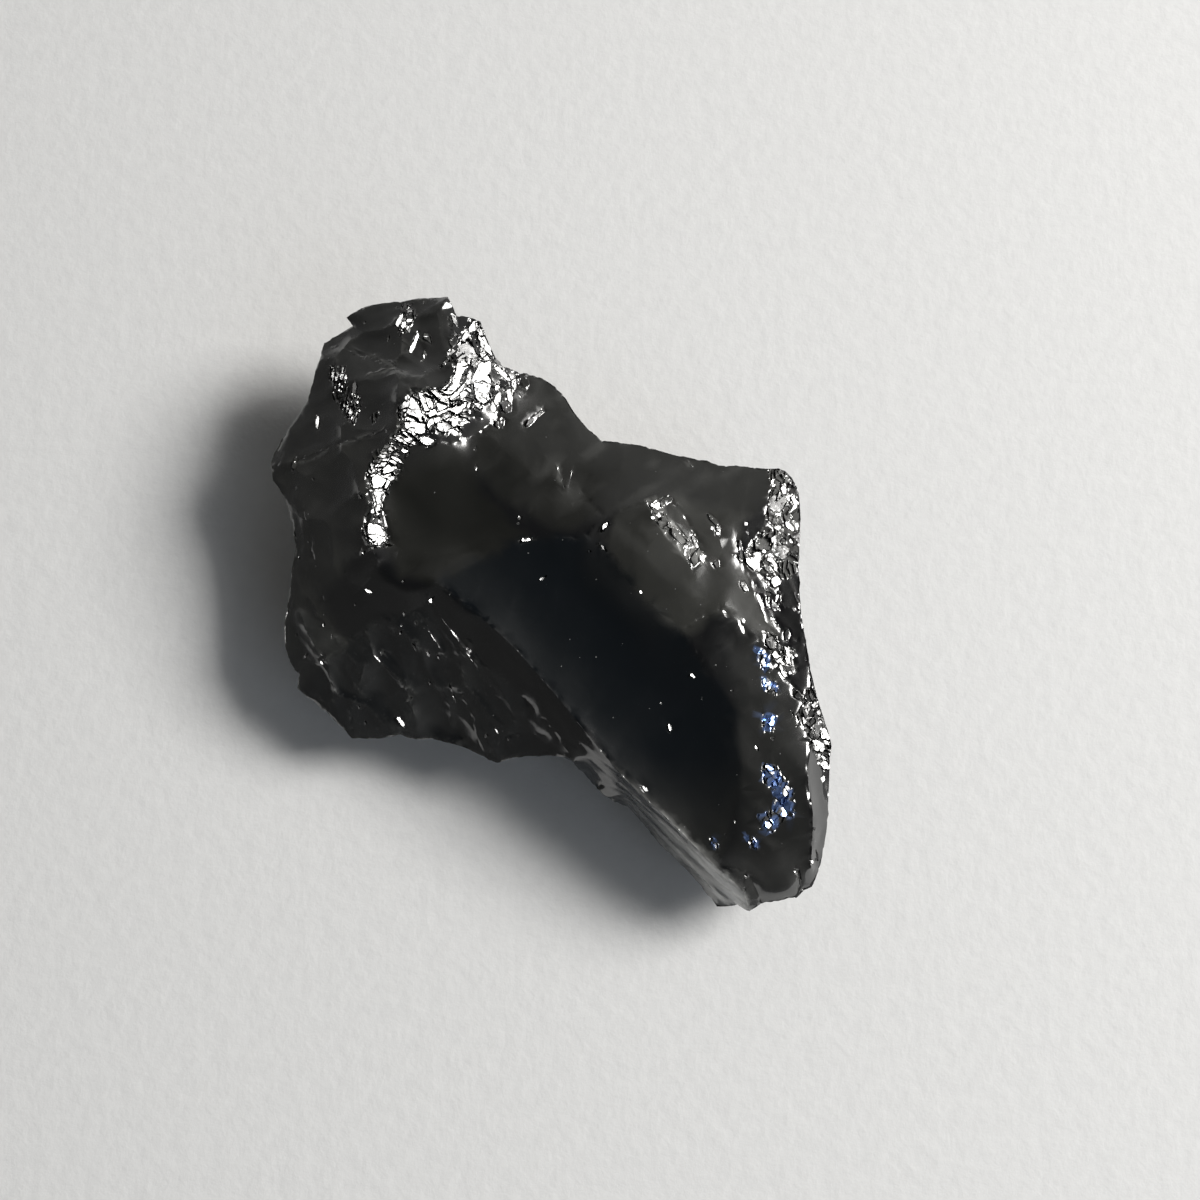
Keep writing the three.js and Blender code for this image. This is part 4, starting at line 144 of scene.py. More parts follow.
    (-10.27, -4.37, 5.4), (-9.3, -3.71, 5.9), (-9.05, -5.43, 5), (-10.82, -6.36, 4.5), (-12.94, -5.98, 4.5),
    (-9.71, -6.91, 4.4), (-14.06, -5.37, 4.6), (-14.55, -4.78, 4.8), (-7.06, -1.77, 7.2), (-7.46, -3.19, 6.5),
    (-6.8, -5.12, 5.4), (-6.03, -6.34, 4.8), (-4.23, -5.99, 5.8), (-3.31, -7.12, 5.5), (-5.81, -7.44, 4.2),
    (-0.96, -7.15, 6.1), (-2.82, -7.49, 5.5), (-6.63, -8.09, 3.9), (-5.01, -8.46, 3.9), (-0.05, -8.93, 5.7),
    (-1.59, -8.88, 5.25), (-5.79, -0.88, 8), (-4.27, -2.07, 7.75), (-2.45, -3.85, 7.4), (-0.33, -6.05, 7),
    (1.8, -8.48, 6.95), (3.61, -10.25, 6.6), (5.41, -11.85, 6.3), (7.4, -13.74, 6), (10.65, -16.92, 5.3),
    (-6.04, -2.63, 6.8), (-2.17, -5.27, 6.7), (-0.04, -7.25, 6.4), (1.79, -9.3, 6.25), (3.3, -10.89, 5.2),
    (5.27, -12.06, 4), (6.98, -14.14, 4), (8.8, -16.08, 4), (10.31, -17.76, 3.9), (-11.53, 11.43, 0),
    (-8.51, 13.8, 0), (-5.41, 13.38, 0), (-1.35, 9.07, 0), (3.3, 5.91, 0), (7.79, 4.82, 0), (11.31, 1.58, 0),
    (12.54, -3.2, 0), (12.84, -8.03, 0), (11.48, -12.14, 0), (9.32, -11.25, 0), (5.88, -8.16, 0), (3.05, -5.3, 0),
    (-1.37, -3.73, 0), (-6.32, -3.2, 0), (-10.26, -1.49, 0), (-12.7, 1.58, 0), (-13.24, 6.19, 0), (-9.36, 10.18, 0),
    (-5.35, 9.48, 0), (-9.93, 6.05, 0), (-0.65, 4.01, 0), (-6.58, 4.01, 0), (-1.93, -0.02, 0), (4.62, 1.99, 0),
    (4.61, -2.02, 0), (8.54, -0.02, 0), (9.77, -5.96, 0), (-9.83, 1.99, 0), (-7.16, -0.02, 0), (1.35, -2.02, 0),
    (-12.66, 13.31, 2.5), (-8.96, 16.06, 1.2), (-4.43, 14.93, 2.8), (-0.17, 10.73, 0.8), (4.77, 8.1, 2.3),
    (9.59, 6.19, 1), (13.3, 3, 2.2), (14.5, -2.68, 0.8), (15.27, -8.68, 1.9), (14.66, -12.71, 0.7),
    (11.86, -16.06, 1.5), (9.66, -14.93, 0.6), (6.5, -11.57, 1.3), (3.18, -8.42, 0.5), (0.72, -7.13, 1.3),
    (-3.15, -6.74, 0.5), (-7.04, -5.83, 1.3), (-10.61, -5.3, 0.6), (-13.26, -3.47, 1.9), (-14.88, -0.02, 0.8),
    (-15.3, 4.69, 2.4), (-14.92, 8.93, 1.1), (-12.99, 15.5, 4.6), (-16.25, 8.93, 3.1), (-15.56, -1.09, 1.9),
    (-12.73, -6.09, 2.3), (2.34, -9.13, 1.4), (10.21, -16.81, 1.9), (15.89, -14.8, 2.3), (16.56, -8.42, 3.3),
    (14.9, 3.87, 3.6), (10.07, 7.55, 2.6), (0.76, 11.7, 2.6), (-4.24, 15.92, 5), (-13.27, 11.57, 1.5),
    (-10.45, 13.66, 0.7), (-6.79, 15.21, 1.5), (-3.05, 11.91, 0.8), (1.64, 8.1, 0.9), (6.62, 6.46, 0.7),
    (11.08, 3.6, 0.6), (13.23, -0.69, 0.9), (14.04, -5.96, 1), (13.55, -11.12, 0.4), (11.26, -14.3, 0.5),
    (7.66, -11.12, 0.35), (4.59, -7.91, 0.4), (-0.26, -5.43, 0.35), (-4.79, -4.98, 0.4), (-9.03, -3.99, 0.45),
    (-12.35, -1.35, 0.5), (-14.16, 1.99, 0.6), (-14.16, 6.05, 1.4), (-13.66, 8.93, 0.8), (-14.52, 12.96, 3.9),
    (-14.04, 14.51, 4.9), (-12.75, 16.63, 5.2), (-10.74, 16.91, 3.6), (-8.18, 17.06, 3.2), (-6.14, 16.63, 5.4),
    (-2.19, 12.96, 2.6), (-1.05, 12.82, 3.9), (2.51, 9.9, 3), (4.97, 9.07, 3.2), (7.62, 8.38, 2.4), (12.24, 6.19, 2),
    (13.78, 7.07, 3.4), (15.32, 1.99, 3), (15.33, -0.36, 2.6), (15.79, -3.01, 3.4), (16.18, -5.63, 3),
    (16.97, -10.16, 2.9), (16.28, -11.76, 1.7), (16.49, -13.66, 2.8), (15.03, -16.06, 2.4), (13.77, -15.93, 1.5),
    (12.41, -17.43, 2.2), (11.03, -16.81, 1.5), (8.7, -15.43, 1.2), (7.44, -13.79, 1.3), (5.86, -12.14, 1.3),
    (4.46, -10.61, 0.9), (-0.24, -8.29, 1.3), (-1.85, -8.03, 0.9), (-3.13, -8.29, 1.2), (-5.08, -7.52, 0.8),
    (-7.01, -7.26, 1.3), (-8.96, -6.74, 1), (-10.9, -6.87, 1.4), (-14.05, -5.04, 1.7), (-15.41, -3.34, 1.8),
    (-15.95, 0.65, 2.3), (-15.83, 4.69, 2.4), (-16.04, 6.73, 1.8), (-15.55, 11.57, 2.9),
])
TRIANGLES = np.array([
    (410, 409, 408), (288, 410, 413), (420, 411, 408), (184, 411, 420), (3, 2, 299), (300, 4, 3), (3, 299, 300),
    (2, 1, 298), (299, 2, 298), (298, 1, 0), (171, 348, 175), (398, 400, 171), (510, 50, 49), (412, 411, 414),
    (413, 410, 412), (408, 411, 412), (412, 410, 408), (186, 185, 499), (408, 409, 407), (420, 408, 406),
    (406, 408, 407), (407, 404, 406), (402, 404, 403), (273, 388, 272), (183, 184, 420), (300, 299, 302),
    (5, 4, 300), (148, 95, 94), (152, 101, 100), (302, 151, 152), (127, 336, 172), (172, 128, 127), (127, 128, 138),
    (317, 314, 313), (173, 346, 172), (172, 336, 173), (337, 336, 334), (173, 336, 337), (172, 346, 345),
    (362, 348, 171), (308, 92, 309), (309, 310, 308), (93, 92, 308), (145, 314, 146), (313, 314, 145),
    (146, 310, 145), (145, 310, 309), (90, 89, 141), (282, 284, 442), (442, 43, 42), (442, 42, 282), (442, 284, 283),
    (448, 41, 40), (448, 40, 280), (280, 281, 448), (39, 38, 446), (277, 38, 37), (288, 413, 289), (289, 424, 288),
    (426, 424, 289), (49, 192, 191), (507, 57, 56), (58, 57, 208), (288, 424, 249), (249, 410, 288), (249, 409, 410),
    (422, 258, 257), (405, 404, 407), (403, 404, 405), (406, 182, 421), (421, 420, 406), (183, 420, 421),
    (182, 497, 183), (183, 421, 182), (406, 404, 419), (419, 404, 402), (419, 182, 406), (419, 402, 180),
    (399, 400, 398), (403, 400, 399), (402, 403, 399), (273, 369, 266), (386, 28, 27), (29, 28, 386),
    (207, 184, 183), (497, 182, 206), (206, 200, 505), (181, 182, 419), (419, 180, 181), (207, 60, 59),
    (63, 491, 492), (62, 491, 63), (63, 492, 64), (206, 207, 497), (505, 60, 207), (207, 206, 505), (207, 183, 497),
    (200, 491, 61), (61, 491, 62), (200, 60, 505), (60, 200, 61), (298, 0, 97), (152, 151, 303), (303, 101, 152),
    (301, 300, 302), (301, 302, 152), (126, 127, 138), (126, 336, 127), (147, 310, 146), (307, 310, 147),
    (322, 314, 317), (322, 317, 111), (111, 110, 322), (146, 314, 322), (121, 334, 122), (337, 334, 335),
    (335, 334, 121), (166, 167, 338), (338, 340, 166), (338, 337, 335), (133, 10, 324), (100, 101, 325),
    (129, 128, 172), (129, 172, 345), (376, 256, 253), (253, 375, 376), (405, 245, 244), (244, 403, 405),
    (273, 272, 366), (369, 273, 366), (312, 307, 105), (309, 92, 91), (311, 309, 91), (91, 90, 311), (144, 143, 313),
    (144, 313, 145), (145, 309, 144), (311, 143, 144), (144, 309, 311), (221, 486, 483), (220, 482, 219),
    (483, 482, 220), (220, 221, 483), (68, 486, 489), (489, 486, 221), (473, 219, 218), (228, 74, 73),
    (228, 73, 475), (71, 70, 221), (219, 482, 481), (218, 219, 481), (222, 218, 481), (213, 222, 480),
    (222, 213, 218), (311, 90, 142), (142, 90, 141), (142, 143, 311), (44, 43, 442), (44, 442, 283), (435, 293, 437),
    (281, 280, 439), (281, 41, 448), (439, 284, 281), (292, 293, 435), (446, 38, 450), (450, 38, 277),
    (427, 426, 429), (47, 46, 440), (440, 287, 47), (440, 286, 287), (287, 286, 192), (192, 286, 191), (49, 48, 192),
    (49, 212, 510), (191, 212, 49), (192, 48, 47), (47, 287, 192), (510, 212, 51), (51, 50, 510), (507, 208, 57),
    (208, 499, 185), (499, 208, 209), (185, 186, 414), (185, 411, 184), (185, 184, 208), (416, 414, 187),
    (187, 188, 416), (31, 388, 389), (32, 31, 389), (248, 409, 249), (249, 422, 248), (260, 258, 422),
    (246, 245, 405), (405, 407, 246), (395, 34, 385), (35, 34, 395), (276, 394, 33), (33, 394, 34), (33, 32, 392),
    (392, 276, 33), (269, 394, 276), (268, 275, 267), (30, 29, 387), (387, 29, 386), (272, 388, 387), (387, 388, 31),
    (387, 31, 30), (200, 199, 232), (504, 200, 206), (206, 205, 504), (492, 491, 232), (232, 491, 200),
    (498, 184, 207), (207, 208, 498), (208, 184, 498), (96, 95, 148), (304, 299, 298), (304, 298, 97),
    (302, 299, 304), (324, 10, 9), (8, 324, 9), (103, 101, 303), (98, 324, 8), (98, 8, 7), (152, 100, 99),
    (301, 152, 99), (99, 100, 133), (133, 324, 99), (99, 324, 98), (98, 301, 99), (125, 336, 126), (334, 336, 125),
    (147, 146, 109), (322, 110, 109), (109, 146, 322), (121, 122, 330), (109, 110, 330), (330, 110, 111),
    (330, 111, 121), (343, 175, 174), (174, 348, 346), (175, 348, 174), (174, 346, 173), (343, 169, 170),
    (170, 398, 171), (169, 398, 170), (171, 175, 170), (170, 175, 343), (166, 340, 467), (462, 213, 463),
    (168, 167, 397), (397, 169, 168), (396, 398, 169), (396, 169, 397), (399, 398, 396), (339, 340, 338),
    (338, 335, 339), (11, 10, 133), (134, 12, 11), (11, 133, 134), (133, 100, 134), (134, 100, 325), (295, 15, 14),
    (296, 18, 17), (350, 351, 296), (295, 350, 296), (347, 351, 350), (346, 348, 347), (345, 346, 347),
    (350, 345, 347), (253, 373, 372), (244, 245, 372), (171, 400, 234), (362, 171, 234), (355, 20, 354),
    (21, 20, 355), (21, 355, 356), (366, 272, 271), (271, 272, 387), (387, 386, 271), (252, 373, 253),
    (251, 373, 252), (306, 310, 307), (306, 307, 312), (308, 310, 306), (224, 482, 483), (221, 70, 69),
    (489, 221, 69), (69, 68, 489), (230, 484, 485), (224, 484, 230), (230, 223, 224), (222, 481, 223),
    (480, 222, 502), (485, 484, 225), (225, 484, 224), (483, 486, 225), (224, 483, 225), (473, 218, 471),
    (471, 218, 215), (471, 226, 472), (472, 473, 471), (72, 71, 477), (220, 474, 477), (475, 73, 477), (477, 73, 72),
    (285, 286, 437), (449, 41, 281), (42, 41, 449), (282, 42, 449), (282, 449, 281), (281, 284, 282),
    (439, 280, 436), (436, 280, 434), (434, 433, 436), (280, 40, 447), (447, 40, 39), (39, 446, 447),
    (292, 435, 432), (432, 435, 436), (436, 433, 432), (417, 414, 416), (416, 293, 417), (417, 293, 292),
    (450, 277, 278), (278, 446, 450), (431, 277, 429), (289, 413, 290), (290, 426, 289), (262, 424, 425),
    (425, 263, 262), (425, 424, 426), (425, 426, 427), (265, 427, 428), (277, 37, 428), (429, 277, 428),
    (428, 427, 429), (36, 35, 265), (428, 37, 36), (36, 265, 428), (283, 284, 441), (441, 284, 440), (45, 283, 441),
    (283, 45, 44), (46, 45, 441), (440, 46, 441), (437, 286, 438), (438, 286, 440), (440, 284, 438), (438, 284, 439),
    (438, 435, 437), (436, 435, 438), (438, 439, 436), (414, 411, 185), (187, 414, 186), (188, 187, 500),
    (189, 416, 188), (390, 32, 389), (392, 32, 390), (390, 276, 392), (246, 257, 380), (376, 375, 380),
    (378, 376, 380), (257, 258, 380), (380, 258, 378), (247, 422, 257), (248, 422, 247), (247, 257, 246),
    (246, 407, 247), (407, 409, 247), (247, 409, 248), (260, 422, 423), (423, 261, 260), (249, 424, 423),
    (423, 422, 249), (423, 424, 262), (262, 261, 423), (379, 268, 267), (265, 35, 264), (264, 35, 395),
    (395, 385, 264), (385, 263, 264), (264, 263, 425), (264, 427, 265), (425, 427, 264), (393, 268, 269),
    (269, 276, 393), (393, 275, 268), (275, 393, 276), (276, 390, 275), (260, 261, 382), (382, 261, 269),
    (269, 268, 382), (270, 394, 269), (34, 394, 270), (385, 34, 270), (383, 261, 262), (269, 261, 383),
    (270, 269, 383), (383, 385, 270), (383, 263, 385), (262, 263, 383), (202, 201, 195), (418, 402, 399),
    (180, 402, 418), (179, 180, 418), (418, 399, 396), (495, 180, 179), (204, 180, 495), (391, 275, 390),
    (390, 389, 391), (389, 388, 391), (204, 503, 198), (205, 182, 181), (205, 206, 182), (233, 492, 232),
    (64, 492, 233), (233, 65, 64), (233, 485, 225), (232, 487, 231), (231, 487, 198), (198, 197, 230),
    (230, 231, 198), (230, 485, 231), (59, 58, 506), (506, 207, 59), (506, 58, 208), (208, 207, 506),
    (150, 151, 302), (150, 302, 304), (312, 151, 150), (103, 327, 326), (105, 327, 104), (104, 327, 103),
    (103, 303, 104), (303, 151, 104), (104, 151, 312), (312, 105, 104), (98, 7, 297), (297, 6, 5), (7, 6, 297),
    (297, 301, 98), (5, 300, 297), (297, 300, 301), (106, 307, 147), (106, 147, 107), (105, 307, 106),
    (106, 327, 105), (108, 147, 109), (107, 147, 108), (140, 327, 106), (106, 107, 140), (121, 111, 120),
    (335, 121, 120), (119, 335, 120), (313, 143, 315), (315, 143, 142), (155, 154, 453), (154, 155, 319),
    (453, 154, 86), (165, 318, 319), (165, 319, 164), (323, 116, 165), (165, 164, 323), (319, 155, 320),
    (164, 319, 320), (215, 464, 216), (216, 226, 471), (471, 215, 216), (215, 218, 214), (218, 213, 214),
    (214, 213, 462), (461, 464, 215), (214, 462, 461), (461, 215, 214), (341, 169, 343), (341, 343, 174),
    (341, 337, 338), (341, 173, 337), (174, 173, 341), (176, 167, 166), (397, 167, 176), (177, 397, 176),
    (493, 177, 176), (13, 12, 328), (326, 138, 137), (138, 128, 137), (137, 128, 129), (363, 345, 350),
    (18, 296, 351), (18, 351, 352), (237, 238, 354), (352, 351, 241), (16, 295, 296), (296, 17, 16), (372, 373, 371),
    (371, 244, 372), (374, 375, 253), (374, 253, 372), (380, 375, 374), (374, 246, 380), (374, 245, 246),
    (372, 245, 374), (242, 362, 235), (235, 362, 234), (360, 20, 19), (354, 20, 360), (360, 352, 354),
    (18, 352, 360), (360, 19, 18), (356, 355, 240), (240, 357, 356), (356, 23, 22), (22, 21, 356), (356, 357, 24),
    (24, 357, 358), (24, 23, 356), (359, 366, 271), (358, 366, 359), (27, 26, 359), (358, 357, 365), (365, 366, 358),
    (255, 368, 365), (255, 256, 368), (253, 256, 255), (252, 253, 255), (158, 457, 159), (216, 158, 159),
    (470, 226, 159), (159, 226, 216), (464, 466, 465), (216, 464, 465), (465, 158, 216), (223, 482, 224),
    (230, 196, 229), (481, 482, 223), (223, 502, 222), (490, 486, 68), (225, 486, 490), (225, 66, 233),
    (227, 226, 470), (472, 226, 227), (227, 475, 472), (228, 475, 227), (227, 476, 228), (474, 473, 472),
    (220, 219, 474), (474, 219, 473), (220, 71, 221), (477, 71, 220), (472, 475, 474), (474, 475, 477),
    (191, 286, 445), (445, 286, 285), (294, 293, 416), (294, 416, 189), (447, 446, 278), (278, 433, 434),
    (278, 277, 431), (431, 433, 278), (415, 414, 417), (415, 413, 412), (412, 414, 415), (290, 413, 415),
    (432, 433, 430), (430, 433, 431), (431, 429, 430), (209, 208, 507), (186, 499, 209), (507, 56, 209),
    (211, 188, 210), (53, 52, 509), (378, 258, 259), (259, 258, 260), (379, 267, 377), (377, 267, 266),
    (377, 376, 378), (377, 378, 259), (259, 379, 377), (384, 260, 382), (259, 260, 384), (384, 379, 259),
    (384, 268, 379), (382, 268, 384), (178, 179, 418), (418, 396, 178), (178, 494, 202), (177, 494, 178),
    (178, 397, 177), (396, 397, 178), (197, 196, 230), (197, 198, 503), (197, 503, 204), (204, 203, 197),
    (266, 369, 367), (367, 368, 266), (367, 369, 366), (367, 366, 365), (365, 368, 367), (368, 256, 381),
    (266, 368, 381), (381, 256, 376), (381, 376, 377), (377, 266, 381), (267, 275, 274), (274, 275, 391),
    (266, 267, 274), (266, 274, 273), (274, 388, 273), (391, 388, 274), (205, 496, 204), (199, 504, 205),
    (199, 487, 232), (199, 200, 504), (198, 199, 205), (199, 198, 487), (205, 181, 496), (204, 198, 205),
    (181, 180, 496), (496, 180, 204), (233, 232, 488), (488, 232, 231), (488, 485, 233), (231, 485, 488),
    (150, 304, 149), (304, 97, 149), (96, 148, 149), (149, 97, 96), (149, 312, 150), (326, 327, 139),
    (139, 138, 326), (139, 327, 140), (126, 138, 139), (125, 126, 139), (140, 125, 139), (102, 101, 103),
    (102, 103, 326), (325, 101, 102), (137, 325, 102), (102, 326, 137), (108, 109, 333), (330, 122, 333),
    (333, 109, 330), (333, 107, 108), (114, 317, 318), (113, 317, 114), (120, 111, 112), (111, 317, 112),
    (112, 317, 113), (315, 154, 316), (318, 317, 316), (316, 317, 313), (316, 313, 315), (319, 318, 316),
    (154, 319, 316), (142, 141, 451), (315, 142, 451), (451, 89, 88), (141, 89, 451), (323, 164, 163),
    (162, 466, 464), (162, 464, 461), (163, 466, 162), (162, 323, 163), (461, 462, 460), (462, 463, 460),
    (467, 340, 460), (463, 467, 460), (341, 338, 342), (338, 167, 342), (342, 167, 168), (168, 169, 342),
    (342, 169, 341), (194, 229, 195), (194, 480, 502), (135, 329, 328), (134, 325, 135), (135, 12, 134),
    (328, 12, 135), (137, 129, 130), (129, 345, 130), (130, 345, 363), (364, 350, 295), (363, 350, 364),
    (295, 13, 364), (13, 295, 14), (353, 352, 241), (241, 242, 353), (354, 352, 353), (237, 354, 353),
    (349, 351, 347), (241, 351, 349), (347, 348, 349), (349, 348, 362), (349, 362, 242), (349, 242, 241),
    (361, 15, 295), (16, 15, 361), (361, 295, 16), (243, 244, 371), (240, 355, 239), (354, 238, 239),
    (239, 355, 354), (254, 357, 240), (240, 251, 254), (365, 357, 254), (255, 365, 254), (254, 251, 252),
    (254, 252, 255), (27, 271, 386), (359, 271, 27), (24, 358, 25), (25, 358, 359), (25, 359, 26), (158, 465, 157),
    (459, 457, 158), (75, 74, 228), (228, 476, 75), (75, 476, 76), (229, 223, 230), (195, 196, 202), (196, 195, 229),
    (229, 194, 502), (229, 502, 223), (490, 68, 67), (67, 225, 490), (285, 437, 444), (437, 293, 444),
    (444, 293, 294), (52, 51, 212), (212, 509, 52), (212, 211, 509), (211, 212, 190), (278, 434, 279),
    (279, 447, 278), (434, 280, 279), (279, 280, 447), (291, 292, 432), (291, 432, 430), (417, 292, 291),
    (415, 417, 291), (430, 290, 291), (291, 290, 415), (209, 56, 55), (187, 186, 209), (209, 210, 187),
    (211, 189, 188), (53, 211, 210), (211, 190, 189), (53, 509, 211), (203, 196, 197), (203, 204, 495),
    (202, 196, 203), (495, 179, 203), (203, 179, 178), (178, 202, 203), (306, 312, 305), (305, 312, 149),
    (149, 148, 305), (305, 308, 306), (148, 94, 305), (94, 93, 305), (305, 93, 308), (123, 107, 333),
    (333, 122, 123), (122, 334, 123), (123, 334, 125), (115, 318, 165), (114, 318, 115), (165, 116, 115),
    (118, 335, 119), (118, 119, 113), (118, 117, 339), (339, 335, 118), (331, 119, 120), (331, 120, 112),
    (113, 119, 331), (112, 113, 331), (321, 164, 320), (163, 164, 321), (321, 466, 163), (465, 466, 321),
    (155, 156, 320), (161, 323, 162), (194, 195, 201), (201, 493, 194), (201, 202, 494), (201, 494, 177),
    (201, 177, 493), (193, 213, 480), (193, 480, 194), (463, 213, 193), (193, 166, 467), (193, 467, 463),
    (194, 493, 193), (176, 166, 193), (493, 176, 193), (136, 329, 135), (130, 329, 136), (136, 137, 130),
    (136, 325, 137), (135, 325, 136), (328, 329, 132), (132, 363, 364), (132, 13, 328), (364, 13, 132),
    (243, 235, 401), (234, 400, 401), (235, 234, 401), (401, 400, 403), (401, 403, 244), (401, 244, 243),
    (243, 371, 370), (370, 238, 237), (370, 373, 251), (371, 373, 370), (250, 251, 240), (250, 240, 239),
    (239, 238, 250), (250, 238, 370), (370, 251, 250), (456, 457, 459), (458, 457, 456), (456, 81, 458),
    (76, 476, 478), (66, 65, 233), (66, 225, 67), (285, 443, 190), (190, 445, 285), (443, 285, 444), (444, 294, 443),
    (294, 190, 443), (190, 294, 189), (190, 212, 501), (190, 501, 191), (501, 212, 191), (191, 445, 190),
    (210, 209, 55), (55, 54, 508), (124, 125, 140), (123, 125, 124), (140, 107, 124), (124, 107, 123),
    (332, 113, 114), (118, 113, 332), (332, 114, 115), (332, 117, 118), (116, 117, 332), (115, 116, 332),
    (86, 154, 452), (87, 86, 452), (153, 315, 451), (153, 87, 452), (451, 88, 153), (153, 88, 87), (153, 154, 315),
    (452, 154, 153), (456, 459, 455), (85, 155, 453), (454, 155, 85), (453, 86, 85), (85, 84, 454), (468, 461, 460),
    (162, 461, 468), (161, 162, 468), (132, 329, 131), (131, 363, 132), (131, 329, 130), (130, 363, 131),
    (236, 235, 243), (236, 243, 370), (370, 237, 236), (236, 242, 235), (353, 242, 236), (236, 237, 353),
    (82, 81, 456), (458, 81, 80), (80, 79, 458), (159, 457, 217), (217, 457, 458), (458, 79, 217), (217, 470, 159),
    (77, 76, 478), (210, 500, 187), (210, 55, 508), (188, 500, 210), (210, 54, 53), (508, 54, 210), (455, 459, 157),
    (157, 459, 158), (157, 465, 321), (454, 84, 156), (156, 84, 455), (156, 155, 454), (321, 320, 156),
    (157, 321, 156), (156, 455, 157), (460, 340, 344), (468, 460, 344), (344, 161, 468), (344, 340, 339),
    (83, 456, 455), (82, 456, 83), (455, 84, 83), (469, 470, 217), (478, 476, 469), (469, 476, 227), (227, 470, 469),
    (217, 79, 479), (479, 79, 78), (479, 478, 469), (469, 217, 479), (77, 478, 479), (479, 78, 77), (160, 161, 344),
    (160, 116, 323), (160, 323, 161), (160, 117, 116), (339, 117, 160), (344, 339, 160), (430, 426, 290),
    (429, 426, 430), (3, 4, 600), (529, 531, 528), (514, 532, 533), (533, 530, 514), (531, 529, 530),
    (531, 530, 533), (533, 539, 531), (528, 511, 529), (518, 537, 517), (540, 539, 533), (512, 511, 577),
    (511, 512, 529), (600, 4, 5), (514, 515, 532), (511, 595, 576), (576, 595, 563), (563, 542, 576),
    (528, 595, 511), (593, 562, 528), (535, 537, 536), (541, 532, 535), (536, 541, 535), (588, 522, 554),
    (523, 541, 536), (523, 588, 555), (555, 556, 523), (36, 612, 35), (549, 550, 584), (37, 612, 36), (610, 548, 32),
    (549, 518, 583), (548, 610, 549), (584, 518, 549), (549, 35, 612), (540, 525, 526), (526, 539, 540),
    (39, 40, 614), (55, 554, 621), (518, 584, 519), (538, 537, 518), (536, 537, 538), (519, 538, 518), (49, 50, 619),
    (586, 520, 551), (551, 617, 552), (570, 41, 42), (617, 551, 570), (616, 46, 617), (42, 43, 616), (570, 42, 616),
    (616, 617, 570), (97, 0, 1), (1, 2, 97), (543, 512, 577), (578, 512, 543), (543, 600, 601), (7, 600, 5),
    (5, 6, 7), (90, 636, 563), (91, 636, 90), (92, 636, 91), (636, 542, 563), (636, 92, 596), (93, 596, 92),
    (577, 511, 542), (542, 511, 576), (542, 543, 577), (542, 636, 596), (563, 595, 594), (594, 595, 528),
    (528, 562, 594), (590, 525, 524), (64, 65, 626), (534, 525, 540), (524, 525, 534), (533, 532, 534),
    (540, 533, 534), (534, 532, 541), (534, 541, 524), (572, 30, 31), (608, 28, 29), (608, 29, 30), (608, 30, 572),
    (517, 583, 518), (517, 537, 516), (516, 515, 581), (516, 537, 535), (516, 582, 517), (611, 34, 35),
    (549, 34, 611), (611, 35, 549), (33, 34, 549), (549, 610, 33), (610, 32, 33), (527, 539, 526), (527, 593, 528),
    (531, 539, 527), (528, 531, 527), (623, 554, 622), (56, 623, 622), (622, 554, 55), (622, 55, 56), (57, 58, 623),
    (57, 623, 56), (613, 38, 39), (613, 39, 614), (53, 620, 52), (621, 620, 53), (519, 520, 521), (521, 538, 519),
    (613, 614, 550), (519, 584, 550), (550, 549, 612), (550, 612, 37), (52, 620, 553), (553, 620, 621),
    (553, 587, 521), (553, 520, 586), (521, 520, 553), (617, 46, 618), (618, 46, 47), (618, 49, 619), (618, 48, 49),
    (47, 48, 618), (552, 586, 551), (552, 617, 618), (618, 619, 552), (552, 619, 553), (553, 586, 552),
    (570, 551, 615), (614, 40, 615), (615, 551, 614), (40, 41, 615), (615, 41, 570), (44, 45, 46), (44, 46, 616),
    (616, 43, 44), (94, 95, 564), (564, 96, 598), (599, 542, 564), (543, 542, 599), (599, 564, 598), (598, 97, 599),
    (97, 2, 599), (599, 2, 3), (599, 3, 600), (599, 600, 543), (515, 580, 546), (515, 514, 580), (535, 532, 515),
    (515, 516, 535), (546, 581, 515), (513, 512, 578), (530, 529, 513), (513, 529, 512), (579, 513, 544),
    (514, 530, 513), (513, 579, 514), (546, 545, 604), (27, 28, 608), (16, 574, 15), (20, 546, 605), (605, 19, 20),
    (565, 89, 90), (90, 563, 565), (88, 89, 565), (86, 562, 634), (562, 593, 561), (561, 85, 562), (634, 562, 85),
    (85, 86, 634), (561, 84, 85), (563, 594, 562), (635, 88, 565), (565, 563, 635), (562, 635, 563), (623, 58, 59),
    (626, 65, 66), (67, 626, 66), (590, 524, 557), (557, 627, 558), (627, 626, 67), (557, 626, 627), (61, 62, 624),
    (624, 556, 61), (624, 62, 63), (31, 32, 609), (572, 31, 609), (32, 548, 609), (22, 23, 573), (573, 23, 24),
    (608, 572, 607), (607, 573, 24), (517, 582, 548), (548, 582, 547), (607, 572, 548), (548, 572, 609),
    (548, 583, 517), (548, 549, 583), (526, 525, 591), (592, 526, 560), (527, 526, 592), (54, 55, 621),
    (54, 621, 53), (554, 587, 553), (553, 621, 554), (521, 522, 538), (551, 585, 550), (550, 614, 551),
    (585, 519, 550), (551, 520, 585), (585, 520, 519), (571, 38, 613), (571, 613, 550), (37, 38, 571),
    (550, 37, 571), (569, 52, 553), (553, 619, 569), (51, 52, 569), (619, 50, 569), (569, 50, 51), (597, 564, 542),
    (94, 564, 597), (597, 93, 94), (597, 596, 93), (542, 596, 597), (96, 564, 95), (96, 97, 598), (543, 601, 544),
    (7, 8, 601), (601, 600, 7), (601, 8, 9), (10, 575, 9), (9, 575, 601), (11, 575, 10), (544, 602, 545),
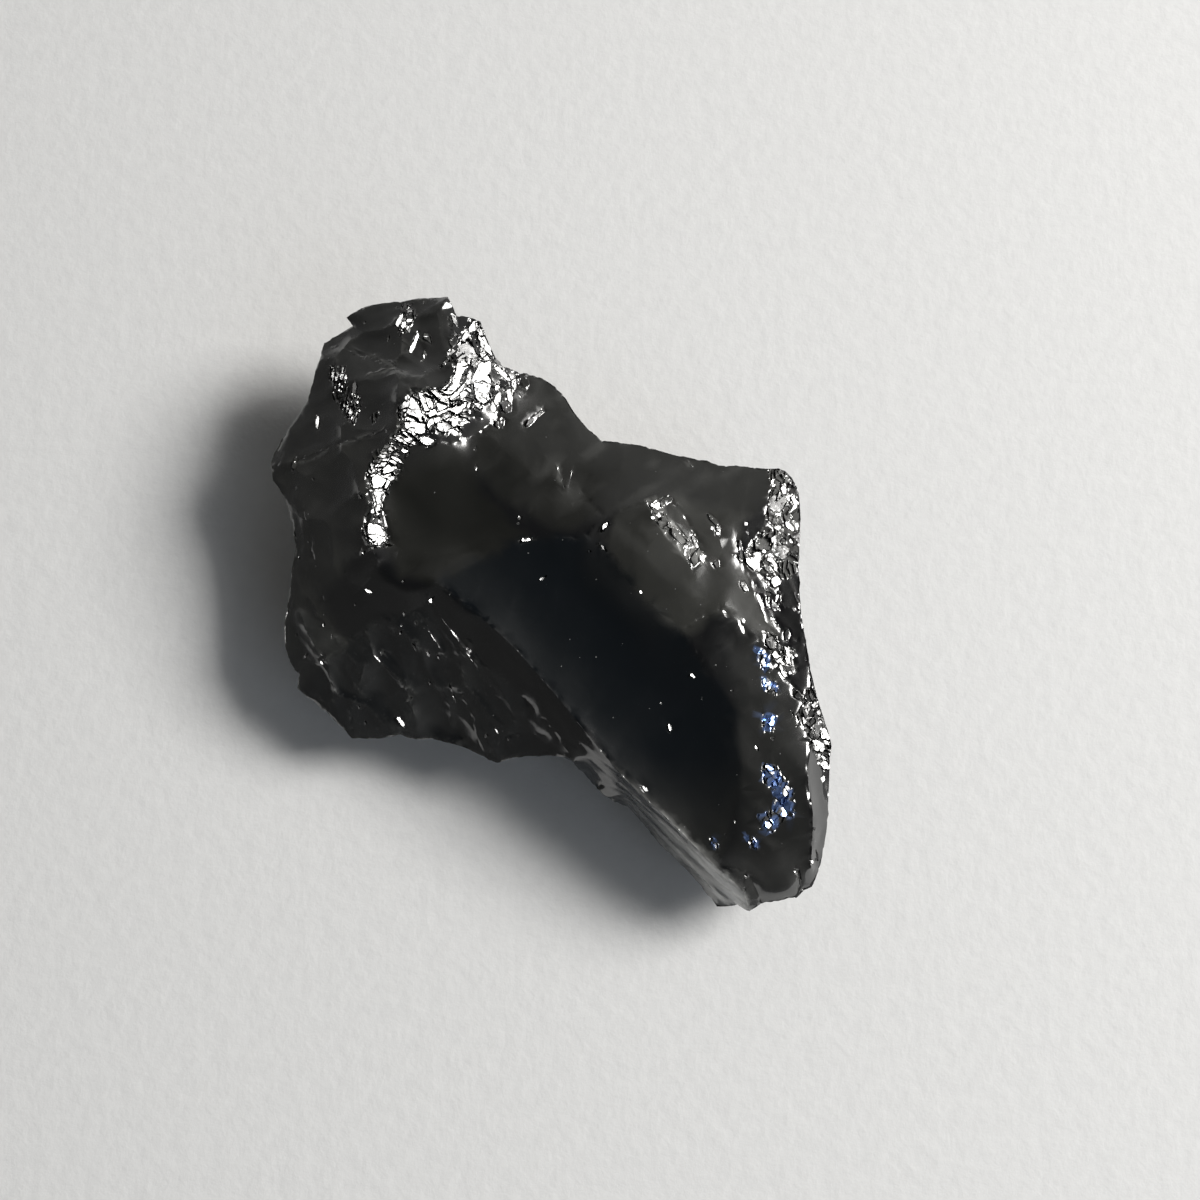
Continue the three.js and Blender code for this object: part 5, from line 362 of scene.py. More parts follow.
    (11, 12, 544), (544, 575, 11), (513, 578, 544), (544, 578, 543), (601, 575, 544), (545, 514, 579),
    (580, 514, 545), (545, 546, 580), (605, 546, 18), (18, 546, 604), (18, 19, 605), (25, 608, 607), (607, 24, 25),
    (17, 574, 16), (545, 574, 17), (17, 604, 545), (18, 604, 17), (84, 633, 83), (87, 88, 635), (87, 562, 86),
    (635, 562, 87), (625, 626, 557), (625, 624, 63), (64, 626, 625), (63, 64, 625), (627, 67, 68), (558, 590, 557),
    (558, 525, 590), (591, 525, 558), (558, 629, 559), (568, 556, 555), (61, 556, 568), (568, 60, 61), (59, 60, 568),
    (555, 623, 568), (568, 623, 59), (22, 573, 606), (606, 21, 22), (20, 21, 606), (546, 547, 581), (606, 546, 20),
    (547, 607, 548), (547, 573, 607), (547, 582, 516), (516, 581, 547), (547, 546, 606), (606, 573, 547),
    (559, 591, 558), (560, 526, 559), (559, 526, 591), (629, 70, 71), (72, 629, 71), (561, 593, 527),
    (561, 527, 592), (561, 633, 84), (83, 633, 561), (522, 521, 587), (522, 588, 523), (587, 554, 522),
    (523, 536, 522), (522, 536, 538), (554, 555, 588), (554, 623, 555), (13, 14, 603), (545, 579, 544),
    (603, 574, 545), (603, 14, 15), (15, 574, 603), (602, 544, 12), (602, 12, 13), (602, 603, 545), (602, 13, 603),
    (27, 608, 26), (26, 608, 25), (625, 556, 624), (557, 524, 589), (556, 625, 557), (557, 589, 556),
    (523, 556, 589), (523, 589, 524), (524, 541, 523), (558, 627, 628), (68, 69, 628), (628, 627, 68),
    (628, 629, 558), (628, 69, 70), (628, 70, 629), (567, 560, 559), (630, 629, 72), (559, 629, 630), (72, 73, 630),
    (567, 559, 630), (73, 74, 630), (80, 81, 632), (631, 560, 567), (560, 561, 592), (561, 560, 566),
    (566, 560, 632), (81, 82, 566), (632, 81, 566), (566, 82, 83), (566, 83, 561), (74, 75, 567), (567, 630, 74),
    (80, 632, 79), (632, 560, 79), (79, 560, 631), (76, 77, 631), (631, 567, 76), (76, 567, 75), (631, 77, 78),
    (79, 631, 78),
])
ARRISES = [
    (1, (7, 98, 99, 100, 101, 102, 103, 104, 105, 106, 107, 108, 109, 110, 111, 112, 113, 114, 115, 116)),  # cap_edge
    (1, (116, 117, 118, 119, 120, 121, 122, 123, 124, 125, 126, 127, 128, 129, 130, 131, 132, 13)),  # band_foot
    (1, (10, 133, 134, 135, 136, 137, 138, 139, 140, 107)),  # band_mid
    (1, (89, 141, 142, 143, 144, 145, 146, 147, 107)),  # cap_crest
    (1, (95, 148, 149, 150, 151, 104)),  # cap_fold
    (0.55, (151, 152, 100)),  # cap_fold2
    (1, (88, 153, 154, 155, 156, 157, 158, 159)),  # left_rib
    (1, (116, 160, 161, 162, 163, 164, 165, 116)),  # scoop_rim
    (0.55, (166, 167, 168, 169, 170, 171)),  # hollow_split
    (0.55, (128, 172, 173, 174, 175, 171)),  # hollow_side
    (1, (166, 176, 177, 178, 179, 180, 181, 182, 183, 184, 185, 186, 187, 188, 189, 190, 191, 192, 48)),  # spine
    (1, (166, 193, 194, 195, 196, 197, 198, 199, 200, 60)),  # wall_foot
    (0.55, (201, 202, 203, 204, 205, 206, 207, 208, 209, 210, 211, 212, 49)),  # wall_mid
    (1, (193, 213, 214, 215, 216, 159, 217, 79)),  # shelf_top
    (0.55, (214, 218, 219, 220, 221, 69)),  # shelf_rib
    (1, (71, 220)),  # shelf_lip
    (1, (213, 222, 223, 224, 225, 66)),  # rib_b
    (1, (216, 226, 227, 228, 74)),  # rib_c
    (1, (194, 229, 230, 231, 232)),  # rib_d
    (1, (66, 233, 232, 200)),  # toe
    (1, (171, 234, 235, 236, 237, 238, 239, 240)),  # knob_top
    (1, (241, 242, 236)),  # notch
    (1, (235, 243, 244, 245, 246, 247, 248, 249)),  # hollow_rim
    (1, (239, 250, 251, 252, 253)),  # knob_step_a
    (1, (240, 254, 255, 256, 253)),  # knob_step_b
    (1, (247, 257, 258, 259, 260, 261, 262, 263, 264, 265, 36)),  # shoulder
    (1, (266, 267, 268, 269, 270, 34)),  # shoulder_up
    (1, (27, 271, 272, 273, 266, 274, 275, 276, 33)),  # rim_break
    (1, (37, 277, 278, 279, 280, 281, 282, 42)),  # side_cut
    (1, (45, 283, 284)),  # end_cut
    (1, (190, 285, 286, 192)),  # tail_a
    (1, (286, 287, 47)),  # tail_b
    (0.55, (249, 288, 289, 290, 291, 292, 293, 294, 190)),  # low_ridge
    (0.55, (13, 295, 296, 18)),  # back_line
    (1, (0, 1, 2, 3, 4, 5, 6, 7, 8, 9, 10, 11, 12, 13, 14, 15, 16, 17, 18, 19, 20, 21, 22, 23, 24, 25, 26, 27, 28, 29, 30, 31, 32, 33, 34, 35, 36, 37, 38, 39, 40, 41, 42, 43, 44, 45, 46, 47, 48, 49, 50, 51, 52, 53, 54, 55, 56, 57, 58, 59, 60, 61, 62, 63, 64, 65, 66, 67, 68, 69, 70, 71, 72, 73, 74, 75, 76, 77, 78, 79, 80, 81, 82, 83, 84, 85, 86, 87, 88, 89, 90, 91, 92, 93, 94, 95, 96, 97, 0)),  # edge
    (1, (511, 512, 513, 514, 515, 516, 517, 518, 519, 520, 521, 522, 523, 524, 525, 526, 527, 528, 511)),  # base
    (1, (542, 543, 544, 545, 546, 547, 548, 549, 550, 551, 552, 553, 554, 555, 556, 557, 558, 559, 560, 561, 562, 563, 542)),  # lower
    (1, (96, 564, 542, 511)),  # keel_a
    (1, (89, 565, 563)),  # keel_b
    (1, (81, 566, 561, 527)),  # keel_c
    (1, (74, 567, 560)),  # keel_d
    (1, (60, 568, 555, 523)),  # keel_e
    (1, (50, 569, 553, 521)),  # keel_f
    (1, (42, 570, 551)),  # keel_g
    (1, (38, 571, 550, 519)),  # keel_h
    (1, (30, 572, 548, 517)),  # keel_i
    (1, (23, 573, 547)),  # keel_j
    (1, (16, 574, 545, 514)),  # keel_k
    (1, (10, 575, 544)),  # keel_l
]
SCARS = [
    (22.85, -9.9, -6.24, 12), (5.84, 15.91, -0.34, 9.1), (19.4, 6.23, -2.48, 9.1), (2.81, 23.21, -0.62, 12.3),
    (14.62, -23.03, -6.53, 11.5), (22.46, -3.07, -0.26, 9.3), (-6.57, -14.73, -3.52, 9.8),
    (-15.57, 18.96, -1.28, 8.4), (20.32, -10.75, 0.81, 4.8), (-0.67, 17.36, 3.97, 4.4), (-19.25, 2.49, 3.36, 4.1),
    (20.83, 4.19, 1.16, 6.9), (3.56, 14.66, 1.14, 5.8), (-20.62, 7.65, 3.44, 4.2), (6.55, 10.54, 0.19, 4.2),
    (13.63, 10.72, 1.34, 5.3), (-7.44, -10.57, -0.26, 4.6), (-13.31, 16.92, -1.78, 5.8), (14.62, -17.21, -1.78, 4.9),
    (18.15, -5.78, -2.7, 6.2), (8.15, -18.79, -2.44, 5.8), (-3.44, 20.8, 3.29, 6.1), (17.73, -1.97, 2.95, 3.2),
    (10.57, -18.81, -0.78, 3.7), (13.41, 9.56, 3.49, 2.9), (-10, 20.18, 3.14, 3.7), (5.23, 10.13, 0.42, 3.1),
    (2.13, 13.48, 0.7, 3.5), (9.58, 11.07, 4.12, 3.2), (-17.54, 2.49, 1.07, 3), (-15.24, -6.94, 2.09, 2.4),
    (-2.44, -10.37, 1.41, 2.5), (-3.07, 14.43, -0.5, 2.7), (13.73, -14.99, -0.67, 2.4), (18.08, -12.68, 1.39, 2.6),
    (-6.22, 20, 5.11, 3.4), (-15.26, -2.55, -0.48, 2.8), (-9.45, -6.55, -1.03, 2.5), (0.72, -9.25, -0.64, 3.3),
    (19.2, -6.98, 2.91, 3.5), (8.29, 8, -0.73, 2.9), (3.9, -12.22, -1.12, 3.3), (-13.79, 15.3, 1.92, 2.5),
    (-17.63, 13.88, 4.67, 3.4), (-17.14, 5.58, -0.12, 3.6), (-6.73, -10.35, 1.14, 3.3), (17.33, 0.49, 2.94, 3.6),
    (12.65, 7.94, 0.45, 3.4), (-10.42, 15.79, -0.73, 2.8), (-14.28, 10.86, -0.95, 2.8), (-9.92, -8.88, 1.45, 2.1),
    (-17.11, 9.96, 2.86, 1.6), (16.6, 2.35, 4.38, 1.6), (-3.48, 16.55, 3.68, 1.6), (7.79, -14.77, -0.05, 1.6),
    (16.25, -10.02, 0.54, 1.7), (13.69, 0.32, -0.57, 2), (-15.89, -4.78, 2.69, 1.6), (-13.94, 11.92, 0.09, 1.9),
    (15.29, 8.24, 3.63, 1.9), (-1.97, -10.18, 1.69, 2), (-16.29, -0.59, 0.64, 1.5), (-17.18, 0.78, 3.2, 1.6),
    (17.05, -16.14, 2.75, 1.5), (10.47, 9.32, 3.55, 1.7), (2.2, 11.78, 3.16, 1.7), (16.67, -1.84, 3.6, 1.8),
    (-6.73, -9.22, 2.37, 1.7), (-3.06, 16.12, 6.32, 1.3), (-2.15, 15.19, 5.12, 1.6), (-14.84, 15.51, 5.69, 1.3),
    (-0.59, 13.63, 3.55, 1.3), (-11.36, 13.96, 0.07, 1.5), (15.05, 4.03, 1.6, 2), (-12.04, 18.22, 5.51, 1.3),
    (-15.24, 3.48, 0.47, 1.4), (-6.92, 17.38, 2.67, 1.5), (14.05, -19.04, 2.6, 2), (-13.85, -4.1, 0.58, 1.9),
    (-13.71, -6.71, 1.24, 2), (-15.9, 9.28, 0.19, 1.6), (-14.72, 6.11, 0, 1.5), (-8.99, 18.88, 5.19, 1.5),
    (5.15, -9.77, -0.33, 1.4), (-8.25, -5.01, -1.06, 2.1), (-17.21, 3.95, 4.19, 1.9), (3.4, 10.21, 0.55, 1.9),
    (6.74, 9.16, 2.16, 1.4), (-5.72, 15.4, 0.06, 1.7), (-1.7, 13.87, 0.92, 1.7),
]
# outlines of the stone's areas, in plan
AREAS = {
    "tail": [
        (-10.31, 8.82), (-9.3, 9.08), (-8.75, 8.75), (-8.68, 7.92), (-9.2, 6.9), (-9.79, 6.02), (-9.89, 5.02),
        (-9.64, 3.93), (-9.44, 2.94), (-10.08, 2.71), (-10.92, 2.82), (-10.98, 4.06), (-10.51, 4.93), (-10.64, 5.77),
        (-10.89, 6.63), (-10.83, 7.45),
    ],
    "band": [
        (-5.05, 16.98), (-5.38, 15.86), (-5.83, 15.06), (-5.49, 14.3), (-5.65, 13.65), (-6.05, 12.94),
        (-6.39, 12.32), (-7.25, 12.43), (-8.07, 11.86), (-8.71, 11.27), (-8.82, 10.56), (-8.75, 9.77), (-9.18, 9.44),
        (-9.67, 8.97), (-9.12, 8.52), (-8.29, 8.68), (-7.85, 8.9), (-7.07, 9.52), (-6.12, 9.97), (-5.77, 9.3),
        (-5.17, 10.22), (-4.69, 11.2), (-4.1, 10.95), (-3.74, 11.98), (-3.27, 11.74), (-2.73, 12.34), (-2.07, 13.22),
        (-1.84, 14.08), (-2.58, 14.65), (-3.08, 14.98), (-3.52, 15.88), (-4.08, 17.29), (-4.82, 17.63),
    ],
    "corner_top": [
        (13.97, 8.07), (14.75, 8.38), (15.63, 7.52), (15.98, 6.18), (15.93, 4.53), (15.13, 4.05), (14.35, 4.11),
        (13.73, 5.06), (13.89, 6.26),
    ],
    "corner": [
        (11.66, 2.78), (12.29, 2.81), (13.19, 3.75), (13.71, 4.42), (14.49, 4.25), (15.26, 4.07), (15.53, 2.77),
        (15.36, 1.71), (14.78, 1.17), (13.77, 1.25), (12.9, 1.7), (12.03, 2.17),
    ],
    "crack": [
        (13.78, 1.63), (14.47, 1.48), (14.44, 0.39), (14.11, -0.5), (13.6, -0.53), (13.62, 0.48),
    ],
    "cluster": [
        (13.18, -2.42), (13.81, -2.15), (14.54, -2.87), (15.22, -3.22), (15.13, -4.33), (14.63, -4.84),
        (13.89, -4.13),
    ],
    "right_rim": [
        (15.84, -5.79), (16.61, -5.99), (16.97, -6.95), (17.56, -8.59), (17.53, -10), (16.6, -10.17), (16.01, -9.08),
        (15.43, -7.64),
    ],
    "strip": [
        (6.13, 5.88), (6.75, 6.17), (7.48, 5.13), (8.33, 3.88), (8.93, 3.15), (9.73, 2.43), (9.53, 1.9),
        (8.67, 1.98), (7.94, 2.7), (7.21, 3.81), (6.49, 4.94),
    ],
    "ledge": [
        (11.89, 1.4), (12.38, 0.79), (12.98, -0.43), (13.83, -1.52), (14.18, -2.38), (13.31, -2.42), (12.2, -2.03),
        (11.46, -1.32), (10.79, -0.73), (11.36, -0.14),
    ],
    "lower_left": [
        (-16.47, 0.7), (-12.37, -2.63), (-11.29, -1.95), (-9.21, -1.09), (-8.02, -0.78), (-7.03, -0.34),
        (-6.42, -1.3), (-5.46, -2.46), (-4.12, -3.71), (-1.56, -5.93), (0.63, -8.43), (-0.05, -9.34),
        (-2.85, -10.06), (-4.22, -9.44), (-7.57, -8.69), (-9.61, -8.39), (-12.11, -8.5), (-14.12, -6.42),
        (-15.62, -5.43), (-16.62, -2.57),
    ],
    "cap": [
        (-17.62, 8.76), (-15.4, 9.17), (-12.37, 9.52), (-8.69, 9.65), (-8.78, 11.21), (-8.13, 11.93), (-6.4, 12.27),
        (-5.49, 14.22), (-6.01, 16.83), (-5.9, 18.65), (-10.31, 18.92), (-12.86, 18.24), (-14.45, 16.51),
        (-15.28, 12.62),
    ],
    "flank": [
        (-17.62, 8.76), (-15.39, 9.03), (-12.37, 9.39), (-8.69, 9.59), (-10.39, 7.42), (-10.86, 2.92),
        (-10.55, 2.68), (-12.52, 1.95), (-12.67, 1.08), (-13.88, 0.02), (-12.37, -2.81), (-15.38, -5.31),
        (-16.62, -2.88), (-16.41, 0.21), (-15.87, 2.61), (-16.37, 6.43),
    ],
    "glitter_a": [
        (-13.5, 14.44), (-12.43, 14.4), (-12.23, 13.27), (-12.06, 12.29), (-11.41, 12.72), (-11.47, 11.25),
        (-11.83, 10.63), (-12.55, 11.43), (-13.27, 12.51), (-13.59, 13.5),
    ],
    "glitter_b": [
        (-9.38, 18.41), (-8.48, 18.47), (-8.3, 17.41), (-8.62, 16.41), (-9.25, 16.18), (-9.19, 17.34),
    ],
    "upper_right": [
        (-1.6, 14.51), (0.53, 13.78), (3.43, 10.34), (8.95, 9.17), (14.63, 8.63), (14.02, 6.27), (11.97, 5.18),
        (9.5, 6.43), (6.69, 6.16), (3.3, 5), (0.85, 4.07), (-2.85, 5.94), (-4.45, 7.75), (-4.7, 9.58),
    ],
    "hollow_a": [
        (-8.66, 8.35), (-7.97, 8.85), (-4.94, 9.49), (-4.57, 7.74), (-4.08, 6.23), (-2.23, 4.64), (-0.99, 3.69),
        (-2.82, 2.93), (-4.62, 1.62), (-6.58, 0.61), (-8.84, 1.13), (-9.85, 2.98), (-9.9, 5.76),
    ],
    "hollow_b": [
        (-6.58, 0.61), (-4.62, 1.69), (-2.82, 2.93), (-0.99, 3.69), (2.57, 3.75), (3.73, 2.78), (5.73, -0.03),
        (8.15, -2.3), (9.84, -4.59), (11.39, -7.11), (11.83, -10.47), (11.14, -14.02), (10.12, -16.24),
        (8.09, -14.19), (3.9, -10.14), (0.3, -5.74), (-3.34, -1.95),
    ],
    "knob": [
        (3.61, 3.36), (4.65, 5.31), (7.5, 6.29), (9.49, 6.08), (12.28, 5.19), (11.79, 3.04), (12.63, 1.06),
        (11.86, -0.24), (10.6, -1.04), (8.76, -2.79), (6.94, -1.24), (5.73, -0.03), (4.52, 1.39),
    ],
    "lower_right": [
        (9.84, -4.47), (10.73, -1.04), (12.14, -1.78), (13.54, -3.34), (14.74, -5.08), (15.46, -6.11),
        (15.88, -9.03), (15.67, -12.35), (15.97, -16.34), (15.2, -18.02), (13.11, -18.37), (11.89, -17.75),
        (10.12, -16.24), (11.14, -14.02), (11.83, -10.47), (11.39, -7.11),
    ],
    "wall": [
        (-6.58, 0.61), (-3.34, -1.95), (0.3, -5.74), (3.9, -10.14), (8.09, -14.19), (11.89, -17.75), (12.39, -18.9),
        (10.47, -18.58), (5.97, -13.37), (1.67, -9.99), (-0.34, -7.13), (-4.12, -3.71), (-7.03, -0.34),
    ],
    "blue_patch": [
        (13.17, -9.98), (13.89, -10.09), (14.24, -10.93), (14.72, -11.4), (15.07, -12.35), (14.81, -13.3),
        (14.08, -13.66), (13.47, -14.26), (12.75, -14.02), (12.64, -13.31), (13.36, -13.07), (13.74, -12.36),
        (13.5, -11.65), (13.03, -10.94),
    ],
    "blue_b": [
        (12.68, -3.06), (13.29, -3.29), (13.77, -4.01), (13.64, -4.63), (13.15, -4.39), (12.85, -3.79),
    ],
    "blue_c": [
        (13.09, -7.2), (13.95, -7.31), (13.81, -8.28), (13.19, -8.41),
    ],
    "blue_d": [
        (9.83, -14.48), (10.18, -14.6), (10.42, -15.14), (10.18, -15.31), (9.88, -14.9),
    ],
    "blue_e": [
        (11.97, -14.61), (12.39, -14.49), (12.74, -14.85), (12.74, -15.26), (12.26, -15.2),
    ],
    "blue_f": [
        (13.14, -5.01), (14.12, -5.35), (13.98, -6.09), (13.37, -5.86),
    ],
}
# small chips on the upper side: x, y, z, length, direction in degrees, width, how many degrees it faces off LEAN
# (-1: no chip but a thin raised ridge)
CHIPS = [
    (-8.09, 9.01, 9.57, 0.65, -130, 0.27, 2), (-3.08, 13.09, 8.27, 0.57, -111, 0.32, 9),
    (-2.73, 14.4, 7.88, 0.43, -84, 0.23, 2), (-1.75, 12.83, 7.66, 0.69, -58, 0.25, 2),
    (-3.16, 11.14, 8.13, 0.44, -71, 0.4, 9), (-4.78, 11.94, 9.24, 0.53, 173, 0.35, 9),
    (-4.76, 12.67, 9.3, 0.47, -57, 0.37, 9), (-5.68, 16.28, 9.16, 0.44, -67, 0.34, 11),
    (-5.98, 14.5, 9.58, 0.51, 169, 0.39, 9), (-5.97, 16.9, 9.15, 0.46, -69, 0.36, 11),
    (-6.13, 17.41, 9.04, 0.48, -108, 0.28, 9), (-9.65, 8.73, 9.94, 0.51, -156, 0.32, 9),
    (-8.93, 8.76, 9.62, 0.39, -64, 0.28, 9), (-9.59, 8.32, 9.54, 0.44, -82, 0.26, 9),
    (-8.46, 8.39, 9.18, 0.53, -128, 0.15, 2), (-10.14, 4.41, 8.52, 0.36, -70, 0.3, 2),
    (-10.59, 2.72, 8.51, 0.7, -153, 0.22, 9), (-11.11, 2.55, 8.23, 0.42, -146, 0.24, 11),
    (-11.27, 5.82, 8.68, 0.42, -46, 0.33, 11), (14.2, 7.32, 6.42, 0.45, -137, 0.29, 9),
    (14.68, 5.38, 6.38, 0.42, -67, 0.27, 9), (15.61, 4.81, 6, 0.51, -102, 0.33, 9),
    (14.45, 3.5, 6.53, 0.5, 170, 0.29, 9), (15.23, 3.7, 6.27, 0.39, -58, 0.34, 2),
    (14.74, 4.03, 6.41, 0.4, -151, 0.34, 9), (13.44, 2.94, 6.88, 0.34, -149, 0.29, 2),
    (14.21, 1.85, 6.66, 0.6, -50, 0.29, 2), (14.21, 0.04, 6.78, 0.66, -110, 0.26, 2),
    (12.35, 4.62, 7.1, 0.47, -130, 0.34, 2), (12.43, 4.08, 7.11, 0.62, -73, 0.22, 11),
    (12.08, -1.49, 7.25, 0.38, -91, 0.31, 2), (14.42, -3.48, 6.78, 0.57, -94, 0.33, 9),
    (15.76, -1.65, 6.58, 0.45, -102, 0.33, 2), (15.89, -3.74, 6.51, 0.46, -72, 0.26, 9),
    (13.55, -0.09, 6.91, 0.46, -78, 0.21, 9), (6.94, 4.85, 8.21, 0.74, -68, 0.3, 2),
    (6.53, 4.71, 8.25, 0.33, -166, 0.26, 2), (8.57, 2.96, 8, 0.46, -147, 0.32, 2),
    (8.6, 2.33, 8.05, 0.52, -81, 0.25, 9), (8.73, 1.96, 8.02, 0.62, -70, 0.17, 11),
    (9.51, 2.24, 7.8, 0.51, -68, 0.27, 2), (10.23, 4.21, 7.51, 0.33, -46, 0.33, 2),
    (13.12, -10.82, 6.82, 0.43, -101, 0.25, 9), (13.9, -10.79, 6.75, 0.68, -64, 0.23, 11),
    (16.96, -10.93, 4.86, 0.48, -109, 0.36, 2), (16.19, -14.03, 6.12, 0.33, -139, 0.28, 9),
    (16.42, -15.56, 5.12, 0.82, -72, 0.23, 2), (16.04, -15.96, 5.78, 0.49, -43, 0.23, 2),
    (15.07, -16.66, 5.66, 0.54, -59, 0.29, 2), (15.36, -16.98, 5.32, 1.32, -81, 0.16, 15),
    (12.04, -16.82, 5.78, 0.34, -105, 0.28, 11), (11.95, -17.65, 5.42, 0.34, -58, 0.29, 9),
    (15.94, -7.69, 6.39, 0.42, -115, 0.37, 2), (16, -7.38, 6.37, 0.6, -160, 0.34, 9),
    (16.16, -8.22, 6.34, 0.31, -52, 0.22, 2), (16.54, -9.63, 5.54, 0.57, -80, 0.23, 2),
    (16.95, -9.6, 5.18, 0.59, -40, 0.24, 2), (16.7, -10.03, 5.27, 0.46, -59, 0.31, 2),
    (17.15, -8.73, 5.44, 0.45, 148, 0.32, 2), (17.32, -9.65, 5.03, 0.88, -80, 0.26, 9),
    (14.92, -5.43, 6.65, 0.46, -62, 0.18, 9), (15.82, -6.74, 6.46, 0.37, 142, 0.29, 9),
    (14.91, -7.08, 6.68, 0.32, -62, 0.21, 11), (15.01, -7.27, 6.66, 0.32, -98, 0.25, 15),
    (15.25, -7.87, 6.59, 0.32, -98, 0.25, 11), (13.4, -5.54, 6.92, 0.43, -89, 0.31, 9),
    (13.84, -5.88, 6.85, 0.38, -94, 0.26, 11), (14.03, -5.66, 6.81, 0.34, -107, 0.28, 11),
    (13.78, -7.4, 6.85, 0.48, -145, 0.24, 11), (13.71, -8.66, 6.84, 0.4, -151, 0.24, 11),
    (12.73, -9.25, 6.92, 0.46, -57, 0.31, 2), (-14.5, 7.44, 7.31, 0.19, -89, 0.19, 11),
    (-15.8, 4.32, 6.09, 0.72, -58, 0.21, 9), (-7.72, 18.53, 8.64, 0.25, -87, 0.19, 9),
    (-11.49, 17.47, 7.92, 0.28, -108, 0.22, 11), (-9.87, 16.09, 8.79, 0.62, -110, 0.18, 11),
    (-4.37, 9.06, 8.37, 0.5, -97, 0.2, 11), (-4.31, 7.91, 8.22, 0.5, -85, 0.25, 11),
    (-1.62, 4.83, 7.74, 0.42, -156, 0.37, 9), (-1.7, 4.52, 7.72, 0.31, -153, 0.26, 11),
    (-0.2, 1.05, 7.55, 0.69, -143, 0.22, 9), (-8.66, 0.73, 8.14, 0.29, -128, 0.2, 11),
    (3.49, 2.89, 8, 0.82, -51, 0.29, 9), (2.66, 2.7, 7.76, 0.25, -90, 0.25, 15),
    (1.08, 6.83, 7.56, 0.32, -84, 0.21, 11), (0.95, 7.31, 7.54, 0.33, -132, 0.2, 15),
    (5.79, 0.09, 8.1, 0.31, -90, 0.31, 2), (10.33, -4.28, 7.39, 0.19, -91, 0.19, 11),
    (9.47, -6.28, 7.1, 0.25, -90, 0.19, 9), (7, -6.56, 6.95, 0.25, -90, 0.19, 11),
    (11.28, -5.81, 7.21, 0.25, -91, 0.19, 11), (-16.17, -0.57, 5.08, 0.32, -93, 0.24, 9),
    (-15.57, -2, 5.14, 0.33, -135, 0.2, 9), (-15.42, 2.71, 6.02, 0.34, -109, 0.22, 11),
    (-13.75, -1.5, 5.83, 0.45, -95, 0.21, 11), (-14.95, -3.33, 5.07, 0.6, -147, 0.23, 2),
    (-13.84, -3.81, 5.33, 0.35, -54, 0.29, 2), (-13.22, -2.29, 5.91, 0.32, -97, 0.21, 11),
    (-11.72, -0.43, 6.89, 0.25, -91, 0.19, 11), (-8.65, -1.07, 7.27, 0.38, -92, 0.19, 11),
    (-7.97, -1.65, 7.15, 0.45, -85, 0.27, 11), (-8.79, -1.78, 6.94, 0.19, -91, 0.19, 15),
    (-8.87, -2.17, 6.76, 0.28, -111, 0.22, 11), (-10.06, -3.27, 6.03, 0.43, -125, 0.27, 9),
    (-6.97, -0.38, 7.8, 0.59, -133, 0.26, 2), (-8.06, -3, 6.52, 0.62, -63, 0.23, 11),
    (-7.22, -3.43, 6.43, 0.4, -63, 0.29, 2), (-6.6, -3.61, 6.47, 0.38, -89, 0.2, 11),
    (-5.86, -5.42, 5.51, 0.62, -72, 0.18, 9), (-5.63, -6, 5.23, 0.74, -70, 0.22, 9),
    (-7.16, -5.1, 5.44, 0.25, -92, 0.19, 11), (-8.52, -6.05, 4.86, 0.6, -145, 0.23, 9),
    (-11.62, -6.45, 4.52, 0.25, -92, 0.19, 11), (-11.3, -7.36, 4.1, 0.34, -108, 0.28, 11),
    (-3.68, -8.27, 4.88, 0.37, -134, 0.29, 9), (-3.02, -8.02, 5.19, 0.51, -55, 0.2, 2),
    (-2.34, -8.5, 5.17, 0.19, -91, 0.19, 15), (10.78, -14.4, 6.53, 0.25, -91, 0.19, 11),
    (11.38, -13.61, 6.66, 0.31, -91, 0.19, 9), (-14.43, 8.88, 7.65, 2.5, 15, 0.19, -1),
    (-11.9, 9.43, 8.99, 2.75, 10, 0.19, -1), (-10.34, 9.76, 9.76, 1.38, 25, 0.19, -1),
    (-11.31, 15.38, 8.31, 2.12, -31, 0.19, -1), (-9.82, 14.45, 9.06, 1.62, -30, 0.19, -1),
    (-10.29, 13.79, 9.07, 2.12, 9, 0.19, -1), (12.62, 0.43, 7.12, 2.12, -71, 0.07, -1),
    (13.4, -1.16, 6.95, 2.25, -55, 0.09, -1), (15.32, 0.55, 6.56, 2.88, -74, 0.06, -1),
    (0.83, 7.63, 7.53, 1.5, -82, 0.19, -1), (8.94, 8.68, 6.61, 0.62, -64, 0.19, -1),
]
